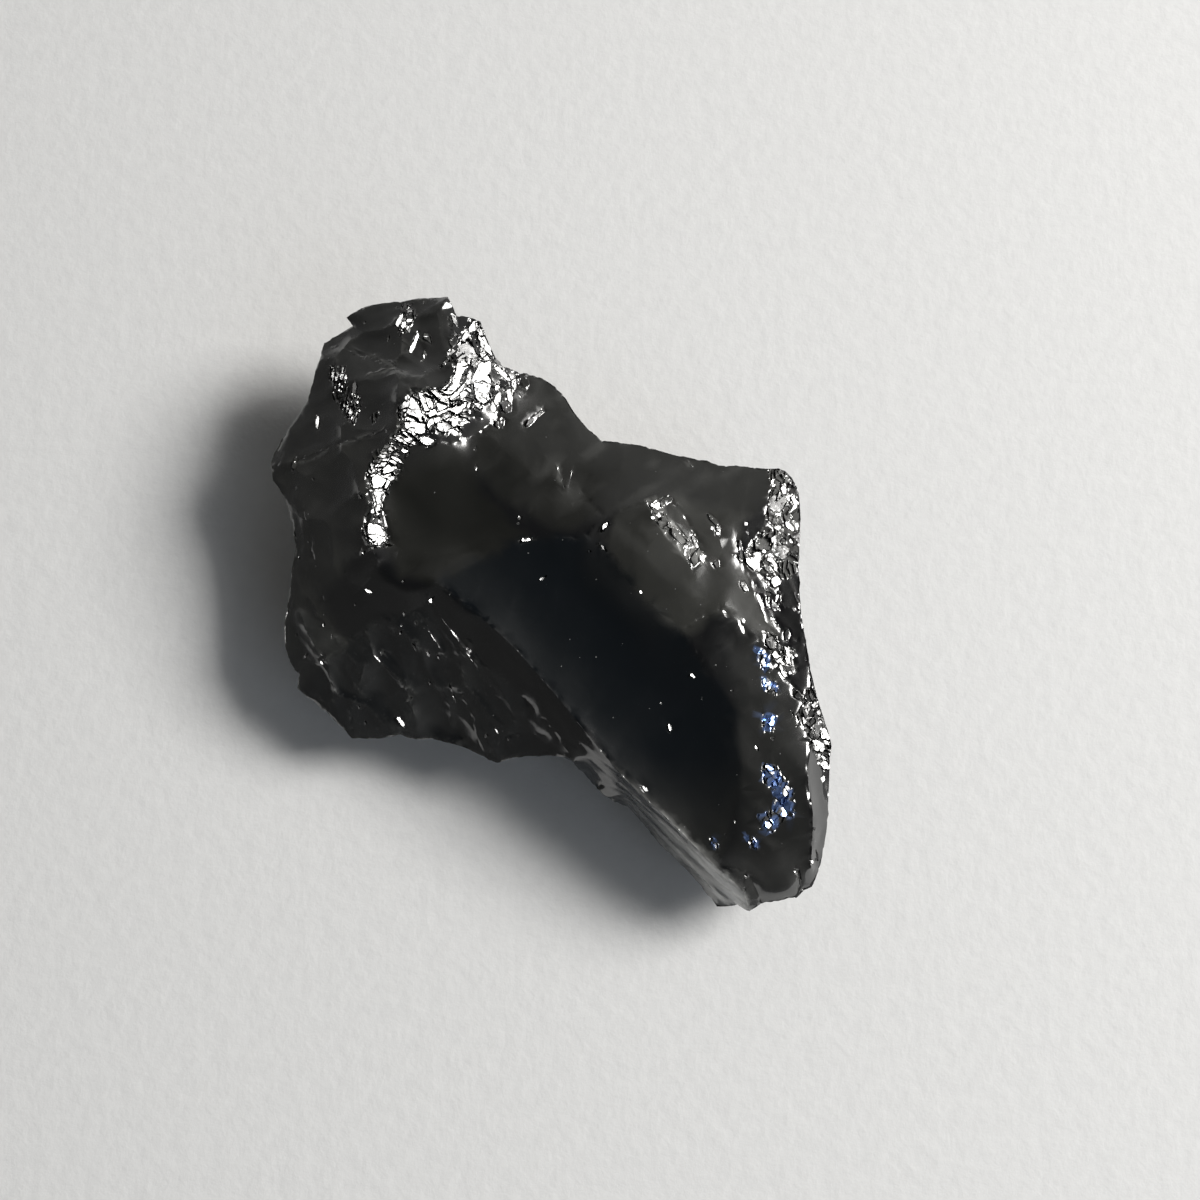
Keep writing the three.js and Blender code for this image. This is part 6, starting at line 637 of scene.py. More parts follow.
# the larger torn facets: how many degrees it faces off LEAN, height, outline in plan
FACES = [
    (0.7, 8.38, [(-4.38, 17.13), (-4.2, 17.29), (-4.08, 16.92), (-3.95, 16.48), (-3.77, 16.25), (-3.52, 16.15), (-3.27, 15.85), (-3.33, 15.52), (-3.44, 15.11), (-3.81, 15.41), (-4.11, 15.4), (-4.18, 15.88), (-4.31, 16.46)]),
    (1.7, 8.5, [(-4.1, 15.12), (-3.87, 15.33), (-3.5, 14.95), (-3.73, 14.73), (-4.03, 14.85)]),
    (1.1, 8.92, [(-5.27, 16.03), (-5.16, 16.33), (-4.92, 16.58), (-4.85, 16.31), (-5.02, 16), (-5.2, 15.9)]),
    (2.1, 9.17, [(-5.2, 15.82), (-4.85, 16.1), (-4.65, 15.71), (-4.52, 15.23), (-4.27, 14.93), (-4.56, 14.72), (-4.92, 14.71), (-5.08, 14.32), (-5.37, 14.25), (-5.51, 14.59), (-5.63, 14.78), (-5.36, 15.35)]),
    (1.5, 9.65, [(-5.37, 14.25), (-5.08, 14.39), (-4.78, 14.11), (-5.01, 13.79), (-5.18, 13.36), (-5.35, 12.88), (-5.52, 12.54), (-5.69, 12.32), (-5.99, 12.45), (-5.75, 12.8), (-5.7, 13.12), (-5.53, 13.61)]),
    (0.8, 9.88, [(-5.99, 12.45), (-5.69, 12.32), (-5.58, 12.22), (-5.87, 11.88), (-5.93, 11.59), (-6.12, 11.34), (-6.47, 11.07), (-6.65, 11.18), (-6.77, 11.63), (-6.88, 11.9), (-7.06, 12.01), (-7, 12.23), (-6.69, 12.24), (-6.46, 12.15), (-6.28, 12.34)]),
    (1.8, 9.45, [(-4.72, 13.92), (-4.53, 13.68), (-4.64, 13.27), (-4.64, 13.07), (-4.88, 12.78), (-5.11, 12.55), (-5.28, 12.21), (-5.58, 11.86), (-5.81, 11.65), (-5.87, 11.88), (-5.58, 12.22), (-5.29, 12.58), (-5.05, 12.94), (-4.88, 13.29), (-4.83, 13.63)]),
    (1.2, 8.8, [(-4.13, 14.39), (-3.85, 14.69), (-3.49, 14.73), (-3.48, 14.23), (-3.52, 13.65), (-3.46, 13.19), (-3.93, 13.32), (-4.46, 13.1), (-4.58, 13.08), (-4.47, 13.49), (-4.3, 13.93)]),
    (2.2, 8.83, [(-4.46, 13.04), (-3.93, 13.25), (-3.46, 13.13), (-3.51, 12.73), (-3.45, 12.31), (-3.62, 12.01), (-3.86, 11.77), (-4.15, 11.88), (-4.33, 12.23), (-4.4, 12.73)]),
    (1.6, 9.32, [(-5.88, 11.19), (-5.52, 11.51), (-5.1, 11.75), (-4.87, 11.85), (-4.98, 11.46), (-5.28, 11.07), (-5.23, 10.79), (-5.58, 10.69), (-5.82, 10.84)]),
    (1, 9.18, [(-5.82, 10.78), (-5.23, 10.73), (-5.41, 10.54), (-5.35, 9.96), (-5.59, 10.11), (-5.76, 10.38), (-5.94, 10.53)]),
    (2, 9.61, [(-5.4, 11.71), (-5.88, 11.42), (-6.36, 11.08), (-6.77, 10.81), (-7.07, 10.54), (-7.01, 10.42), (-6.65, 10.7), (-6.24, 10.98), (-5.82, 11.31)]),
    (1.4, 9.63, [(-7.07, 10.48), (-6.71, 10.75), (-6.41, 10.66), (-6.47, 10.47), (-6.77, 10.38), (-7.01, 10.12), (-7.13, 9.81), (-7.24, 10.04), (-7.19, 10.35)]),
    (0.8, 10.02, [(-7.71, 12.07), (-7.53, 12.14), (-7.42, 11.87), (-7.36, 11.53), (-7.19, 11.19), (-7.07, 10.9), (-7.19, 10.65), (-7.37, 10.88), (-7.49, 11.17), (-7.6, 11.5), (-7.66, 11.79)]),
    (1.7, 10, [(-7.41, 12.15), (-7.18, 12.11), (-7, 11.78), (-6.89, 11.45), (-6.89, 11.16), (-7.07, 11.02), (-7.19, 11.31), (-7.3, 11.65), (-7.42, 11.87)]),
    (1.1, 9.74, [(-7.07, 11.02), (-6.77, 11.11), (-6.65, 10.94), (-6.89, 10.74), (-7.13, 10.6), (-7.19, 10.83)]),
    (2.1, 10.16, [(-8.18, 11.73), (-7.95, 11.58), (-7.78, 11.25), (-7.6, 10.92), (-7.37, 10.64), (-7.42, 10.27), (-7.9, 10.34), (-8.58, 10.22), (-8.53, 10.72), (-8.7, 10.99), (-8.59, 11.32), (-8.36, 11.41)]),
    (1.5, 9.88, [(-8.52, 10.17), (-7.89, 10.28), (-7.36, 10.21), (-7.3, 9.98), (-7.42, 9.67), (-7.78, 9.52), (-8.13, 9.31), (-8.35, 9.49), (-8.46, 9.88)]),
    (0.9, 9.95, [(-9.06, 9.21), (-8.87, 9.42), (-8.52, 9.62), (-8.35, 9.49), (-8.13, 9.31), (-8.38, 9.08), (-8.68, 8.95), (-8.96, 9.02)]),
    (1.9, 9.5, [(-7.84, 9.28), (-7.48, 9.49), (-7.13, 9.45), (-6.77, 9.3), (-6.95, 9.05), (-7.25, 8.92), (-7.61, 9.07)]),
    (1.7, 8.17, [(-3.22, 12.5), (-2.98, 12.74), (-2.86, 12.45), (-2.91, 12.06), (-3.15, 11.95), (-3.27, 12.18)]),
    (1, 7.88, [(-2.56, 12.95), (-2.31, 13.12), (-2.25, 12.66), (-2.24, 12.2), (-2.43, 12.38), (-2.49, 12.7)]),
    (2, 8, [(-3.31, 14.5), (-3.07, 14.49), (-2.7, 14.21), (-2.39, 13.91), (-2.26, 13.66), (-2.57, 13.74), (-2.94, 14.02), (-3.24, 14.3)]),
    (8.3, 7.72, [(-2.2, 13.67), (-1.96, 13.78), (-1.89, 13.38), (-2.07, 13.15), (-2.19, 13.27)]),
    (1.2, 8.94, [(-4.45, 11.72), (-4.21, 11.81), (-3.98, 11.56), (-4.09, 11.42), (-4.33, 11.55)]),
    (1, 9.4, [(-5.28, 12.21), (-5.05, 12.44), (-4.81, 12.35), (-4.93, 12.08), (-5.22, 11.91)]),
    (11.7, 7.95, [(-2.91, 12.13), (-2.55, 12.3), (-2.24, 12.13), (-2.23, 11.67), (-2.54, 11.51), (-2.85, 11.68)]),
    (15.2, 8.02, [(-2.87, 13.61), (-2.5, 13.61), (-2.44, 13.29), (-2.68, 13.12), (-2.92, 13.26)]),
    (14.6, 8.93, [(-4.61, 14.42), (-4.14, 14.68), (-3.79, 14.64), (-4.13, 14.32), (-4.42, 14.04), (-4.6, 14.15)]),
    (15.6, 8.73, [(-4.61, 16.48), (-4.37, 16.58), (-4.24, 15.93), (-4.16, 15.25), (-4.15, 14.89), (-4.33, 14.99), (-4.52, 15.37), (-4.66, 15.92)]),
    (12.5, 7.46, [(-1.65, 13.82), (-1.28, 14.01), (-1.15, 13.61), (-1.33, 13.24), (-1.64, 13.34)]),
    (14.4, 8.1, [(-3.26, 10.92), (-2.9, 10.88), (-2.66, 11.17), (-2.71, 10.7), (-3.01, 10.48), (-3.26, 10.66)]),
    (10.7, 9.33, [(-5.97, 15.76), (-5.68, 15.95), (-5.44, 15.92), (-5.6, 15.53), (-5.77, 15.27), (-5.96, 15.48)]),
    (11.7, 9.52, [(-6.13, 14.94), (-5.89, 15.13), (-5.64, 15), (-5.82, 14.78), (-6.06, 14.66)]),
    (11.1, 9.63, [(-6.53, 13.98), (-6.18, 14.32), (-5.87, 14.44), (-5.8, 14.3), (-6.17, 14.1), (-6.47, 13.83)]),
    (1.4, 8.95, [(-5.92, 17.5), (-5.68, 17.62), (-5.6, 17.13), (-5.53, 16.78), (-5.78, 17.02)]),
    (8.7, 9.26, [(-7.99, 16.37), (-7.92, 16.15), (-8.09, 15.74), (-8.2, 15.4), (-8.37, 14.94), (-8.5, 14.94), (-8.45, 15.35), (-8.27, 15.68), (-8.16, 16.02)]),
    (11.6, 9.31, [(-7.66, 15.93), (-7.61, 16.28), (-7.42, 16.27), (-7.23, 16.05), (-7.09, 15.57), (-7.28, 15.71), (-7.47, 15.85)]),
    (11, 9.41, [(-7.63, 14.98), (-7.51, 15.11), (-7.43, 14.71), (-7.55, 14.38), (-7.73, 14.38), (-7.62, 14.65)]),
    (0.9, 8.74, [(-9.31, 17.2), (-9.14, 17.71), (-9.01, 17.7), (-9.05, 17.18), (-9.22, 16.75), (-9.41, 16.85)]),
    (9.4, 8.54, [(-9.11, 18.31), (-8.87, 18.51), (-8.72, 18.19), (-8.89, 17.76), (-9.09, 17.93)]),
    (10.8, 8.9, [(-9.04, 17.03), (-8.79, 17.15), (-8.71, 16.85), (-8.89, 16.57), (-9.02, 16.73)]),
    (2.3, 9.3, [(-10.08, 7.78), (-9.84, 8.02), (-9.61, 8.1), (-9.74, 7.82), (-9.92, 7.59), (-10.05, 7.41), (-10.28, 7.38), (-10.21, 7.6)]),
    (1.7, 8.97, [(-9.5, 8.06), (-9.27, 8.04), (-9.1, 7.9), (-9.17, 7.68), (-9.41, 7.49), (-9.19, 7.3), (-9.31, 7.07), (-9.49, 6.94), (-9.89, 7.11), (-10.34, 7.32), (-9.99, 7.42), (-9.8, 7.65), (-9.62, 7.89)]),
    (1.1, 8.84, [(-10.34, 7.27), (-9.89, 7.06), (-9.5, 6.89), (-9.67, 6.64), (-9.85, 6.32), (-10.13, 6.28), (-10.48, 6.29), (-10.48, 6.52), (-10.59, 6.74), (-10.58, 7.02)]),
    (2.1, 8.65, [(-10.48, 6.22), (-10.13, 6.22), (-9.85, 6.26), (-10.08, 6.04), (-10.07, 5.62), (-10.12, 5.23), (-10.12, 4.93), (-10.28, 4.84), (-10.35, 5.13), (-10.29, 5.57), (-10.36, 5.94)]),
    (1.4, 9.16, [(-9.42, 8.28), (-9.2, 8.25), (-8.91, 8.12), (-8.74, 7.92), (-8.92, 7.91), (-9.15, 8.05), (-9.38, 8.13)]),
    (1.2, 9.42, [(-8.75, 8.8), (-8.46, 8.77), (-8.41, 8.62), (-8.66, 8.45), (-8.82, 8.59)]),
    (1.6, 9.91, [(-9.05, 9.3), (-8.77, 9.29), (-8.55, 9.16), (-8.44, 8.97), (-8.74, 8.9), (-8.9, 9.08), (-9.07, 9.16)]),
    (2, 8.57, [(-10.74, 4.12), (-10.62, 4.25), (-10.45, 4.14), (-10.28, 4.22), (-10.04, 4.07), (-9.93, 3.84), (-9.81, 3.55), (-10.33, 3.61), (-10.79, 3.57), (-10.79, 3.75)]),
    (1.3, 8.46, [(-10.85, 3.5), (-10.33, 3.55), (-9.81, 3.49), (-9.74, 3.24), (-9.98, 3.16), (-10.15, 2.9), (-10.32, 2.94), (-10.55, 2.98), (-10.73, 3.15), (-10.84, 3.38)]),
    (12.3, 6.42, [(13.83, 6.26), (14.09, 6.55), (14.5, 6.87), (14.75, 6.56), (14.94, 6.39), (15.13, 6.02), (14.79, 5.85), (14.59, 5.63), (14.26, 5.58), (13.94, 5.8)]),
    (2.2, 6.2, [(14.64, 7.35), (14.91, 7.45), (15.03, 7.13), (15.02, 6.79), (14.82, 6.7), (14.63, 7.02)]),
    (1, 6.01, [(15.27, 6.56), (15.41, 6.71), (15.6, 6.47), (15.79, 6.3), (15.65, 5.95), (15.38, 5.79), (15.18, 5.5), (15.25, 5.77), (15.46, 6.12), (15.33, 6.37)]),
    (13, 6.05, [(14.49, 8.36), (14.81, 8.45), (15.13, 8.07), (15.44, 7.64), (15.56, 7.25), (15.3, 7.36), (14.98, 7.72), (14.6, 7.96)]),
    (10.3, 6.62, [(14.05, 5.1), (14.32, 5.2), (14.37, 4.88), (14.17, 4.67), (13.98, 4.77)]),
    (9.3, 6.56, [(14.04, 4.46), (14.37, 4.69), (14.56, 4.52), (14.36, 4.3)]),
    (1.2, 6.22, [(14.83, 5), (15.1, 5.03), (15.35, 4.67), (15.46, 4.35), (15.14, 4.51), (14.89, 4.68)]),
    (12.5, 6.92, [(13.19, 3.62), (13.51, 4.03), (13.9, 4.25), (13.96, 3.88), (13.76, 3.35), (13.81, 3.04), (13.43, 3.01), (12.98, 2.91), (12.54, 2.76), (12.42, 2.88), (12.8, 3.22)]),
    (11.9, 6.56, [(13.88, 3.36), (14.33, 3.34), (14.72, 3.43), (15.04, 3.26), (14.96, 2.74), (14.57, 2.45), (14.19, 2.69), (13.88, 2.98)]),
    (1.9, 6.67, [(13.89, 3.81), (14.15, 3.96), (14.28, 3.72), (14.08, 3.38), (13.89, 3.49)]),
    (1.1, 7.07, [(11.91, 2.28), (12.35, 2.43), (12.66, 2.51), (12.73, 2.77), (13.05, 2.85), (13.23, 2.61), (13.1, 2.22), (13.22, 1.91), (12.96, 1.64), (12.65, 1.82), (12.28, 2.11)]),
    (1.5, 6.72, [(13.68, 2.58), (13.93, 2.54), (14.18, 2.24), (14.36, 1.99), (14.17, 1.98), (13.92, 2.22), (13.61, 2.32)]),
    (8.3, 6.82, [(13.35, 2.18), (13.66, 2.07), (13.85, 1.77), (14.03, 1.59), (13.71, 1.56), (13.46, 1.74)]),
    (1.2, 6.74, [(13.89, 1.19), (14.22, 1.41), (14.4, 1.16), (14.33, 0.9), (14.07, 0.69), (13.88, 0.87)]),
    (9.5, 7.23, [(11.74, 3.55), (11.93, 3.5), (12.1, 2.86), (12.16, 2.42), (11.97, 2.41), (11.86, 2.98)]),
    (9.2, 7.23, [(11.94, 0.9), (12.13, 0.91), (12.37, 0.42), (12.24, 0.35), (12, 0.65)]),
    (1.5, 6.86, [(13.78, -3.52), (13.97, -3.32), (14.22, -3.56), (14.09, -3.75), (13.84, -3.7)]),
    (0.9, 6.72, [(14.54, -3.06), (14.79, -2.99), (14.91, -3.23), (14.84, -3.6), (14.89, -4.03), (14.7, -4.1), (14.59, -3.74), (14.66, -3.36)]),
    (8.8, 6.75, [(14.27, -4.12), (14.51, -4.35), (14.69, -4.84), (14.5, -4.9), (14.32, -4.6)]),
    (11.8, 6.71, [(14.62, -2.12), (14.82, -1.92), (14.93, -2.23), (14.8, -2.61), (14.61, -2.56)]),
    (12, 6.91, [(13.43, -2.66), (13.81, -2.4), (14.17, -2.76), (13.98, -3.14), (13.66, -3.27), (13.48, -2.97)]),
    (11.3, 6.79, [(13.86, -0.14), (14.11, -0.37), (14.29, -0.75), (14.03, -0.82), (13.79, -0.58)]),
    (1.9, 8.14, [(6.37, 5.53), (6.49, 5.6), (6.68, 5.47), (6.87, 5.75), (6.99, 5.69), (6.98, 5.43), (6.8, 5.28), (6.55, 5.33), (6.37, 5.4)]),
    (12.1, 7.91, [(6.99, 5.83), (7.24, 6.05), (7.56, 6.15), (7.74, 6.03), (7.49, 5.8), (7.23, 5.51), (7.05, 5.43)]),
    (15.6, 8.18, [(6.67, 4.62), (6.98, 4.96), (7.16, 5.04), (7.34, 4.66), (7.46, 4.27), (7.52, 4.08), (7.21, 4), (6.91, 4.25)]),
    (12.5, 8.08, [(7.4, 4.13), (7.65, 4.09), (7.95, 3.92), (8.32, 3.69), (8.63, 3.38), (8.75, 3.2), (8.43, 3.04), (8.07, 3.27), (7.7, 3.63), (7.46, 3.81)]),
    (9.1, 7.77, [(8.94, 3.61), (9.07, 3.69), (9.19, 3.43), (9.24, 3.04), (9.12, 2.9), (9, 3.22)]),
    (15.5, 7.87, [(8.87, 2.82), (9.24, 2.91), (9.55, 2.67), (9.35, 2.33), (9.35, 2.01), (8.97, 1.62), (8.85, 2.11)]),
    (12.4, 7.45, [(9.97, 5.16), (10.21, 5.03), (10.46, 4.78), (10.57, 4.52), (10.45, 4.39), (10.26, 4.57), (10.08, 4.83)]),
    (11.8, 7.47, [(10.45, 4.45), (10.63, 4.39), (10.62, 3.81), (10.43, 3.8)]),
    (15.6, 7.6, [(10.22, 2), (10.53, 2.21), (10.59, 1.83), (10.34, 1.76)]),
    (9.5, 6.81, [(13.16, -10.28), (13.4, -10.28), (13.64, -10.45), (13.76, -10.51), (13.58, -10.63), (13.34, -10.46), (13.16, -10.4)]),
    (0.7, 5.78, [(16.14, -8.77), (16.42, -8.62), (16.64, -8.76), (16.99, -8.78), (17.07, -9.13), (16.88, -9.31), (16.6, -9.34), (16.36, -9.21), (16.36, -8.98)]),
    (1.7, 5.67, [(16.76, -8.22), (16.9, -7.91), (17.04, -7.84), (17.24, -8.18), (17.44, -8.4), (17.31, -8.65), (16.98, -8.67), (16.77, -8.52)]),
    (12.1, 6.05, [(16.3, -7.84), (16.51, -7.52), (16.84, -7.38), (16.97, -7.72), (16.76, -8.17), (16.77, -8.52), (16.57, -8.72), (16.42, -8.39), (16.36, -8.09)]),
    (2.1, 6.25, [(16.14, -6.57), (16.34, -6.44), (16.6, -6.3), (16.73, -6.47), (16.46, -6.67), (16.27, -6.74)]),
    (12.4, 5, [(16.74, -9.92), (17.14, -9.77), (17.4, -10.06), (17.34, -10.36), (16.95, -10.38), (16.88, -10.14)]),
    (15.2, 6.57, [(15.04, -5.69), (15.28, -5.75), (15.59, -6.04), (15.89, -6.4), (15.76, -6.53), (15.52, -6.29), (15.27, -6.24), (15.03, -5.94)]),
    (13.1, 6.38, [(16.18, -4.92), (16.37, -4.85), (16.54, -5.64), (16.35, -5.89), (16.23, -5.53)]),
    (1.2, 7.94, [(-13.56, 14.17), (-13.16, 14.24), (-12.87, 13.92), (-12.47, 13.92), (-12.38, 13.56), (-12.71, 13.42), (-13.06, 13.61), (-13.25, 13.37), (-13.54, 13.76)]),
    (9.7, 8.06, [(-13.11, 13.35), (-12.84, 13.37), (-12.62, 13), (-12.81, 12.69), (-13.02, 12.93)]),
    (11.1, 7.96, [(-13.43, 12.87), (-13.16, 12.95), (-12.94, 12.51), (-12.98, 12.12), (-13.27, 12.44)]),
    (8.5, 8.55, [(-12.03, 13.1), (-11.84, 13.27), (-11.69, 12.97), (-11.8, 12.52), (-11.98, 12.15), (-12.07, 12.63)]),
    (9.4, 8.49, [(-12.72, 12.14), (-12.45, 12.23), (-12.09, 11.63), (-11.87, 11.18), (-12.12, 10.95), (-12.41, 11.41)]),
    (10.8, 8.44, [(-12.4, 12.49), (-12.2, 12.59), (-12.05, 12.16), (-12.24, 11.92)]),
    (10.2, 7.43, [(-14.4, 11.65), (-14.25, 11.49), (-14.21, 10.8), (-14.33, 10.55), (-14.44, 11.12)]),
    (11.2, 9.45, [(-10.61, 11.05), (-10.22, 11.12), (-10.33, 10.72), (-10.64, 10.43), (-10.72, 10.72)]),
    (14.6, 6.93, [(-15.67, 9.01), (-15.51, 8.78), (-15.73, 8.27), (-15.94, 8.12), (-15.86, 8.53)]),
    (10.5, 7.48, [(-1.43, 10.89), (-1.12, 11.18), (-0.63, 11.63), (-0.27, 11.94), (-0.2, 11.81), (-0.69, 11.36), (-1.06, 10.85), (-1.3, 10.7)]),
    (0.8, 7.69, [(-1.66, 3.38), (-1.29, 3.5), (-0.87, 3.63), (-0.87, 3.51), (-1.23, 3.32), (-1.6, 3.25)]),
    (1.2, 7.6, [(-11.06, 0.31), (-10.92, 0.38), (-10.65, 0.29), (-10.51, 0.2), (-10.75, 0.13), (-10.93, 0.18)]),
    (1.5, 7.97, [(3.3, 3.96), (3.55, 4.39), (3.86, 4.56), (3.92, 4.36), (3.67, 4.12), (3.43, 3.88)]),
    (1.1, 7.28, [(8.75, -4.85), (8.88, -4.81), (9.05, -5.03), (8.96, -5.11), (8.79, -4.98)]),
    (1.8, 6.81, [(7.45, -7.77), (7.58, -7.86), (7.67, -8.12), (7.58, -8.29), (7.45, -8.08)]),
    (1.3, 4.24, [(-9.29, -7.07), (-9.11, -7.07), (-8.94, -7.24), (-8.81, -7.41), (-8.81, -7.62), (-8.99, -7.53), (-9.16, -7.32)]),
    (0.9, 6.84, [(5.82, -11.55), (5.95, -11.59), (6.12, -11.8), (6.03, -11.89), (5.86, -11.72)]),
]
CAMERA_AT = (3.305, -21.406, 106.89)
CAMERA_AIM = (3.305, 0.252, 5)
CORNER_TURN = 38
BAND_TURNS_AT = -6.71  # the band's splinters turn about this X
WALL_RUN = -46.4  # degrees in plan: the way the spine and the wall under it run
# WALL_PALE_FROM marks where the wall's painted pale reflection streaks start
WALL_PALE_FROM = 8.5  # how far along that run its pale streaks start
LEAN = (0.456, -0.006, 0.890)  # the way most torn facets face
STEP = 0.16  # tallest step between neighbouring splinters
LEAN_BLUE = (0.440, -0.100, 0.890)  # the same, low on the right
# areas with a ragged edge of their own
TORN = ("band", "tail", "corner_top", "corner", "crack", "cluster", "right_rim", "strip", "glitter_a", "glitter_b", "blue_patch", "blue_b", "blue_c", "blue_d", "blue_e", "blue_f")
SMALL = ("strip", "blue_b", "blue_c", "blue_d", "blue_e", "blue_f")
ROUNDS = 4
FACE_BUDGET = 190000


# ---------------------------------------------------------------- surface refinement
def edge_table(V, F):
    n = len(V)
    E = np.concatenate([F[:, [0, 1]], F[:, [1, 2]], F[:, [2, 0]]])
    opp = np.concatenate([F[:, 2], F[:, 0], F[:, 1]])
    code = E.min(1).astype(np.int64) * n + E.max(1)
    uniq, inv = np.unique(code, return_inverse=True)
    return uniq, inv, opp, uniq // n, uniq % n


def first_creases():
    crease = {}
    for sharp, line in ARRISES:
        for a, b in zip(line, line[1:]):
            k = (min(a, b), max(a, b))
            crease[k] = max(crease.get(k, 0), sharp)
    return crease


def corner_pins(V, crease):
    ends = {}
    for (a, b), s in crease.items():
        if s >= 0.9:
            ends.setdefault(a, []).append(b)
            ends.setdefault(b, []).append(a)
    pins = []
    for v, two in ends.items():
        if len(two) == 2:
            p, q = V[v] - V[two[0]], V[two[1]] - V[v]
            if p @ q / np.linalg.norm(p) / np.linalg.norm(q) < math.cos(math.radians(CORNER_TURN)):
                pins.append(v)
    return np.array(sorted(pins), int)


def smooth_round(V, F, ca, cb, cs, pins):
    """One round of Loop smoothing. ca, cb, cs are the sharp edges' ends and sharpness."""
    n, m = len(V), len(F)
    uniq, inv, opp, a, b = edge_table(V, F)
    ne = len(uniq)
    oppsum = np.stack([np.bincount(inv, weights=V[opp, k], minlength=ne) for k in range(3)], 1)
    s = np.zeros(ne)
    s[np.searchsorted(uniq, np.minimum(ca, cb) * n + np.maximum(ca, cb))] = cs
    mid = (V[a] + V[b]) / 2
    new = (3 / 8 * (V[a] + V[b]) + oppsum / 8) * (1 - s)[:, None] + mid * s[:, None]
    val = np.bincount(np.concatenate([a, b]), minlength=n)
    nb = np.stack([np.bincount(np.concatenate([a, b]), weights=np.concatenate([V[b, k], V[a, k]]), minlength=n) for k in range(3)], 1)
    beta = np.where(val == 3, 3 / 16, 3 / (8 * np.maximum(val, 1)))
    out = V * (1 - val * beta)[:, None] + nb * beta[:, None]
    soft = out.copy()
    h = s > 0
    ha, hb, hs = a[h], b[h], s[h]
    cnt = np.bincount(np.concatenate([ha, hb]), minlength=n)
    sm = np.bincount(np.concatenate([ha, hb]), weights=np.concatenate([hs, hs]), minlength=n) / np.maximum(cnt, 1)
    nbs = np.stack([np.bincount(np.concatenate([ha, hb]), weights=np.concatenate([V[hb, k], V[ha, k]]), minlength=n) for k in range(3)], 1)
    crisp = V * 0.75 + nbs * 0.125
    two, many, one = cnt == 2, cnt > 2, cnt == 1
    out[two] = soft[two] * (1 - sm[two])[:, None] + crisp[two] * sm[two][:, None]
    out[many] = soft[many] * (1 - sm[many])[:, None] + V[many] * sm[many][:, None]
    w = (0.35 * sm[one])[:, None]
    out[one] = soft[one] * (1 - w) + V[one] * w
    out[pins] = V[pins]
    e0, e1, e2 = inv[:m] + n, inv[m:2 * m] + n, inv[2 * m:] + n
    F2 = np.concatenate([np.stack([F[:, 0], e0, e2], 1), np.stack([F[:, 1], e1, e0], 1),
                         np.stack([F[:, 2], e2, e1], 1), np.stack([e0, e1, e2], 1)])
    hm = np.nonzero(h)[0] + n
    return np.vstack([out, new]), F2, np.concatenate([ha, hb]), np.concatenate([hm, hm]), np.concatenate([hs, hs])


def refine_where(V, F, marked):
    """Splits edges whose two ends are marked, keeping the mesh closed."""
    uniq, inv, opp, a, b = edge_table(V, F)
    n, m = len(V), len(F)
    cut = marked[a] & marked[b]
    ids = np.full(len(uniq), -1)
    ids[cut] = n + np.arange(cut.sum())
    V2 = np.vstack([V, (V[a[cut]] + V[b[cut]]) / 2])
    M = np.stack([ids[inv[:m]], ids[inv[m:2 * m]], ids[inv[2 * m:]]], 1)  # middles of edges 01, 12, 20
    k = (M >= 0).sum(1)
    keep = F[k == 0]
    out = [keep]
    G, Q = F[k == 3], M[k == 3]
    out += [np.stack([G[:, 0], Q[:, 0], Q[:, 2]], 1), np.stack([G[:, 1], Q[:, 1], Q[:, 0]], 1),
            np.stack([G[:, 2], Q[:, 2], Q[:, 1]], 1), Q]
    for r in range(3):
        R = np.roll(np.arange(3), -r)
        G, Q = F[:, R], M[:, R]
        one = (k == 1) & (Q[:, 0] >= 0)
        out += [np.stack([G[one, 0], Q[one, 0], G[one, 2]], 1), np.stack([Q[one, 0], G[one, 1], G[one, 2]], 1)]
        two = (k == 2) & (Q[:, 0] < 0)
        out += [np.stack([G[two, 2], Q[two, 2], Q[two, 1]], 1), np.stack([G[two, 0], G[two, 1], Q[two, 1]], 1),
                np.stack([G[two, 0], Q[two, 1], Q[two, 2]], 1)]
    return V2, np.concatenate(out)


def normals(V, F):
    fn = np.cross(V[F[:, 1]] - V[F[:, 0]], V[F[:, 2]] - V[F[:, 0]])
    N = np.stack([sum(np.bincount(F[:, j], weights=fn[:, k], minlength=len(V)) for j in range(3)) for k in range(3)], 1)
    return N / (np.linalg.norm(N, axis=1)[:, None] + 1e-12)


# ---------------------------------------------------------------- seeded noise on points in space
def hash3(i, seed):
    """Three numbers in 0..1 for each integer cell."""
    x = (i[:, 0].astype(np.uint64) * np.uint64(73856093)) ^ (i[:, 1].astype(np.uint64) * np.uint64(19349663)) \
        ^ (i[:, 2].astype(np.uint64) * np.uint64(83492791)) ^ np.uint64(seed * 2654435761 % (1 << 32))
    out = []
    for k in range(4):
        x = (x ^ (x >> np.uint64(15))) * np.uint64(2246822519) & np.uint64(0xFFFFFFFF)
        x = (x ^ (x >> np.uint64(13))) * np.uint64(3266489917) & np.uint64(0xFFFFFFFF)
        x = x ^ (x >> np.uint64(16))
        out.append(x.astype(np.float64) / 4294967295.0)
    return out


def noise(P, size, seed):
    """Smooth noise in -1..1, features about `size` across."""
    q = P / size + 1000.0
    i = np.floor(q).astype(np.int64)
    t = q - i
    t = t * t * t * (t * (t * 6 - 15) + 10)
    total = np.zeros(len(P))
    for dx in (0, 1):
        for dy in (0, 1):
            for dz in (0, 1):
                h = hash3(i + (dx, dy, dz), seed)[0]
                total += h * (t[:, 0] if dx else 1 - t[:, 0]) * (t[:, 1] if dy else 1 - t[:, 1]) * (t[:, 2] if dz else 1 - t[:, 2])
    return total * 2 - 1


def fbm(P, size, seed, octaves=3):
    return sum(noise(P, size / 2 ** k, seed + k) / 2 ** k for k in range(octaves)) / 1.5


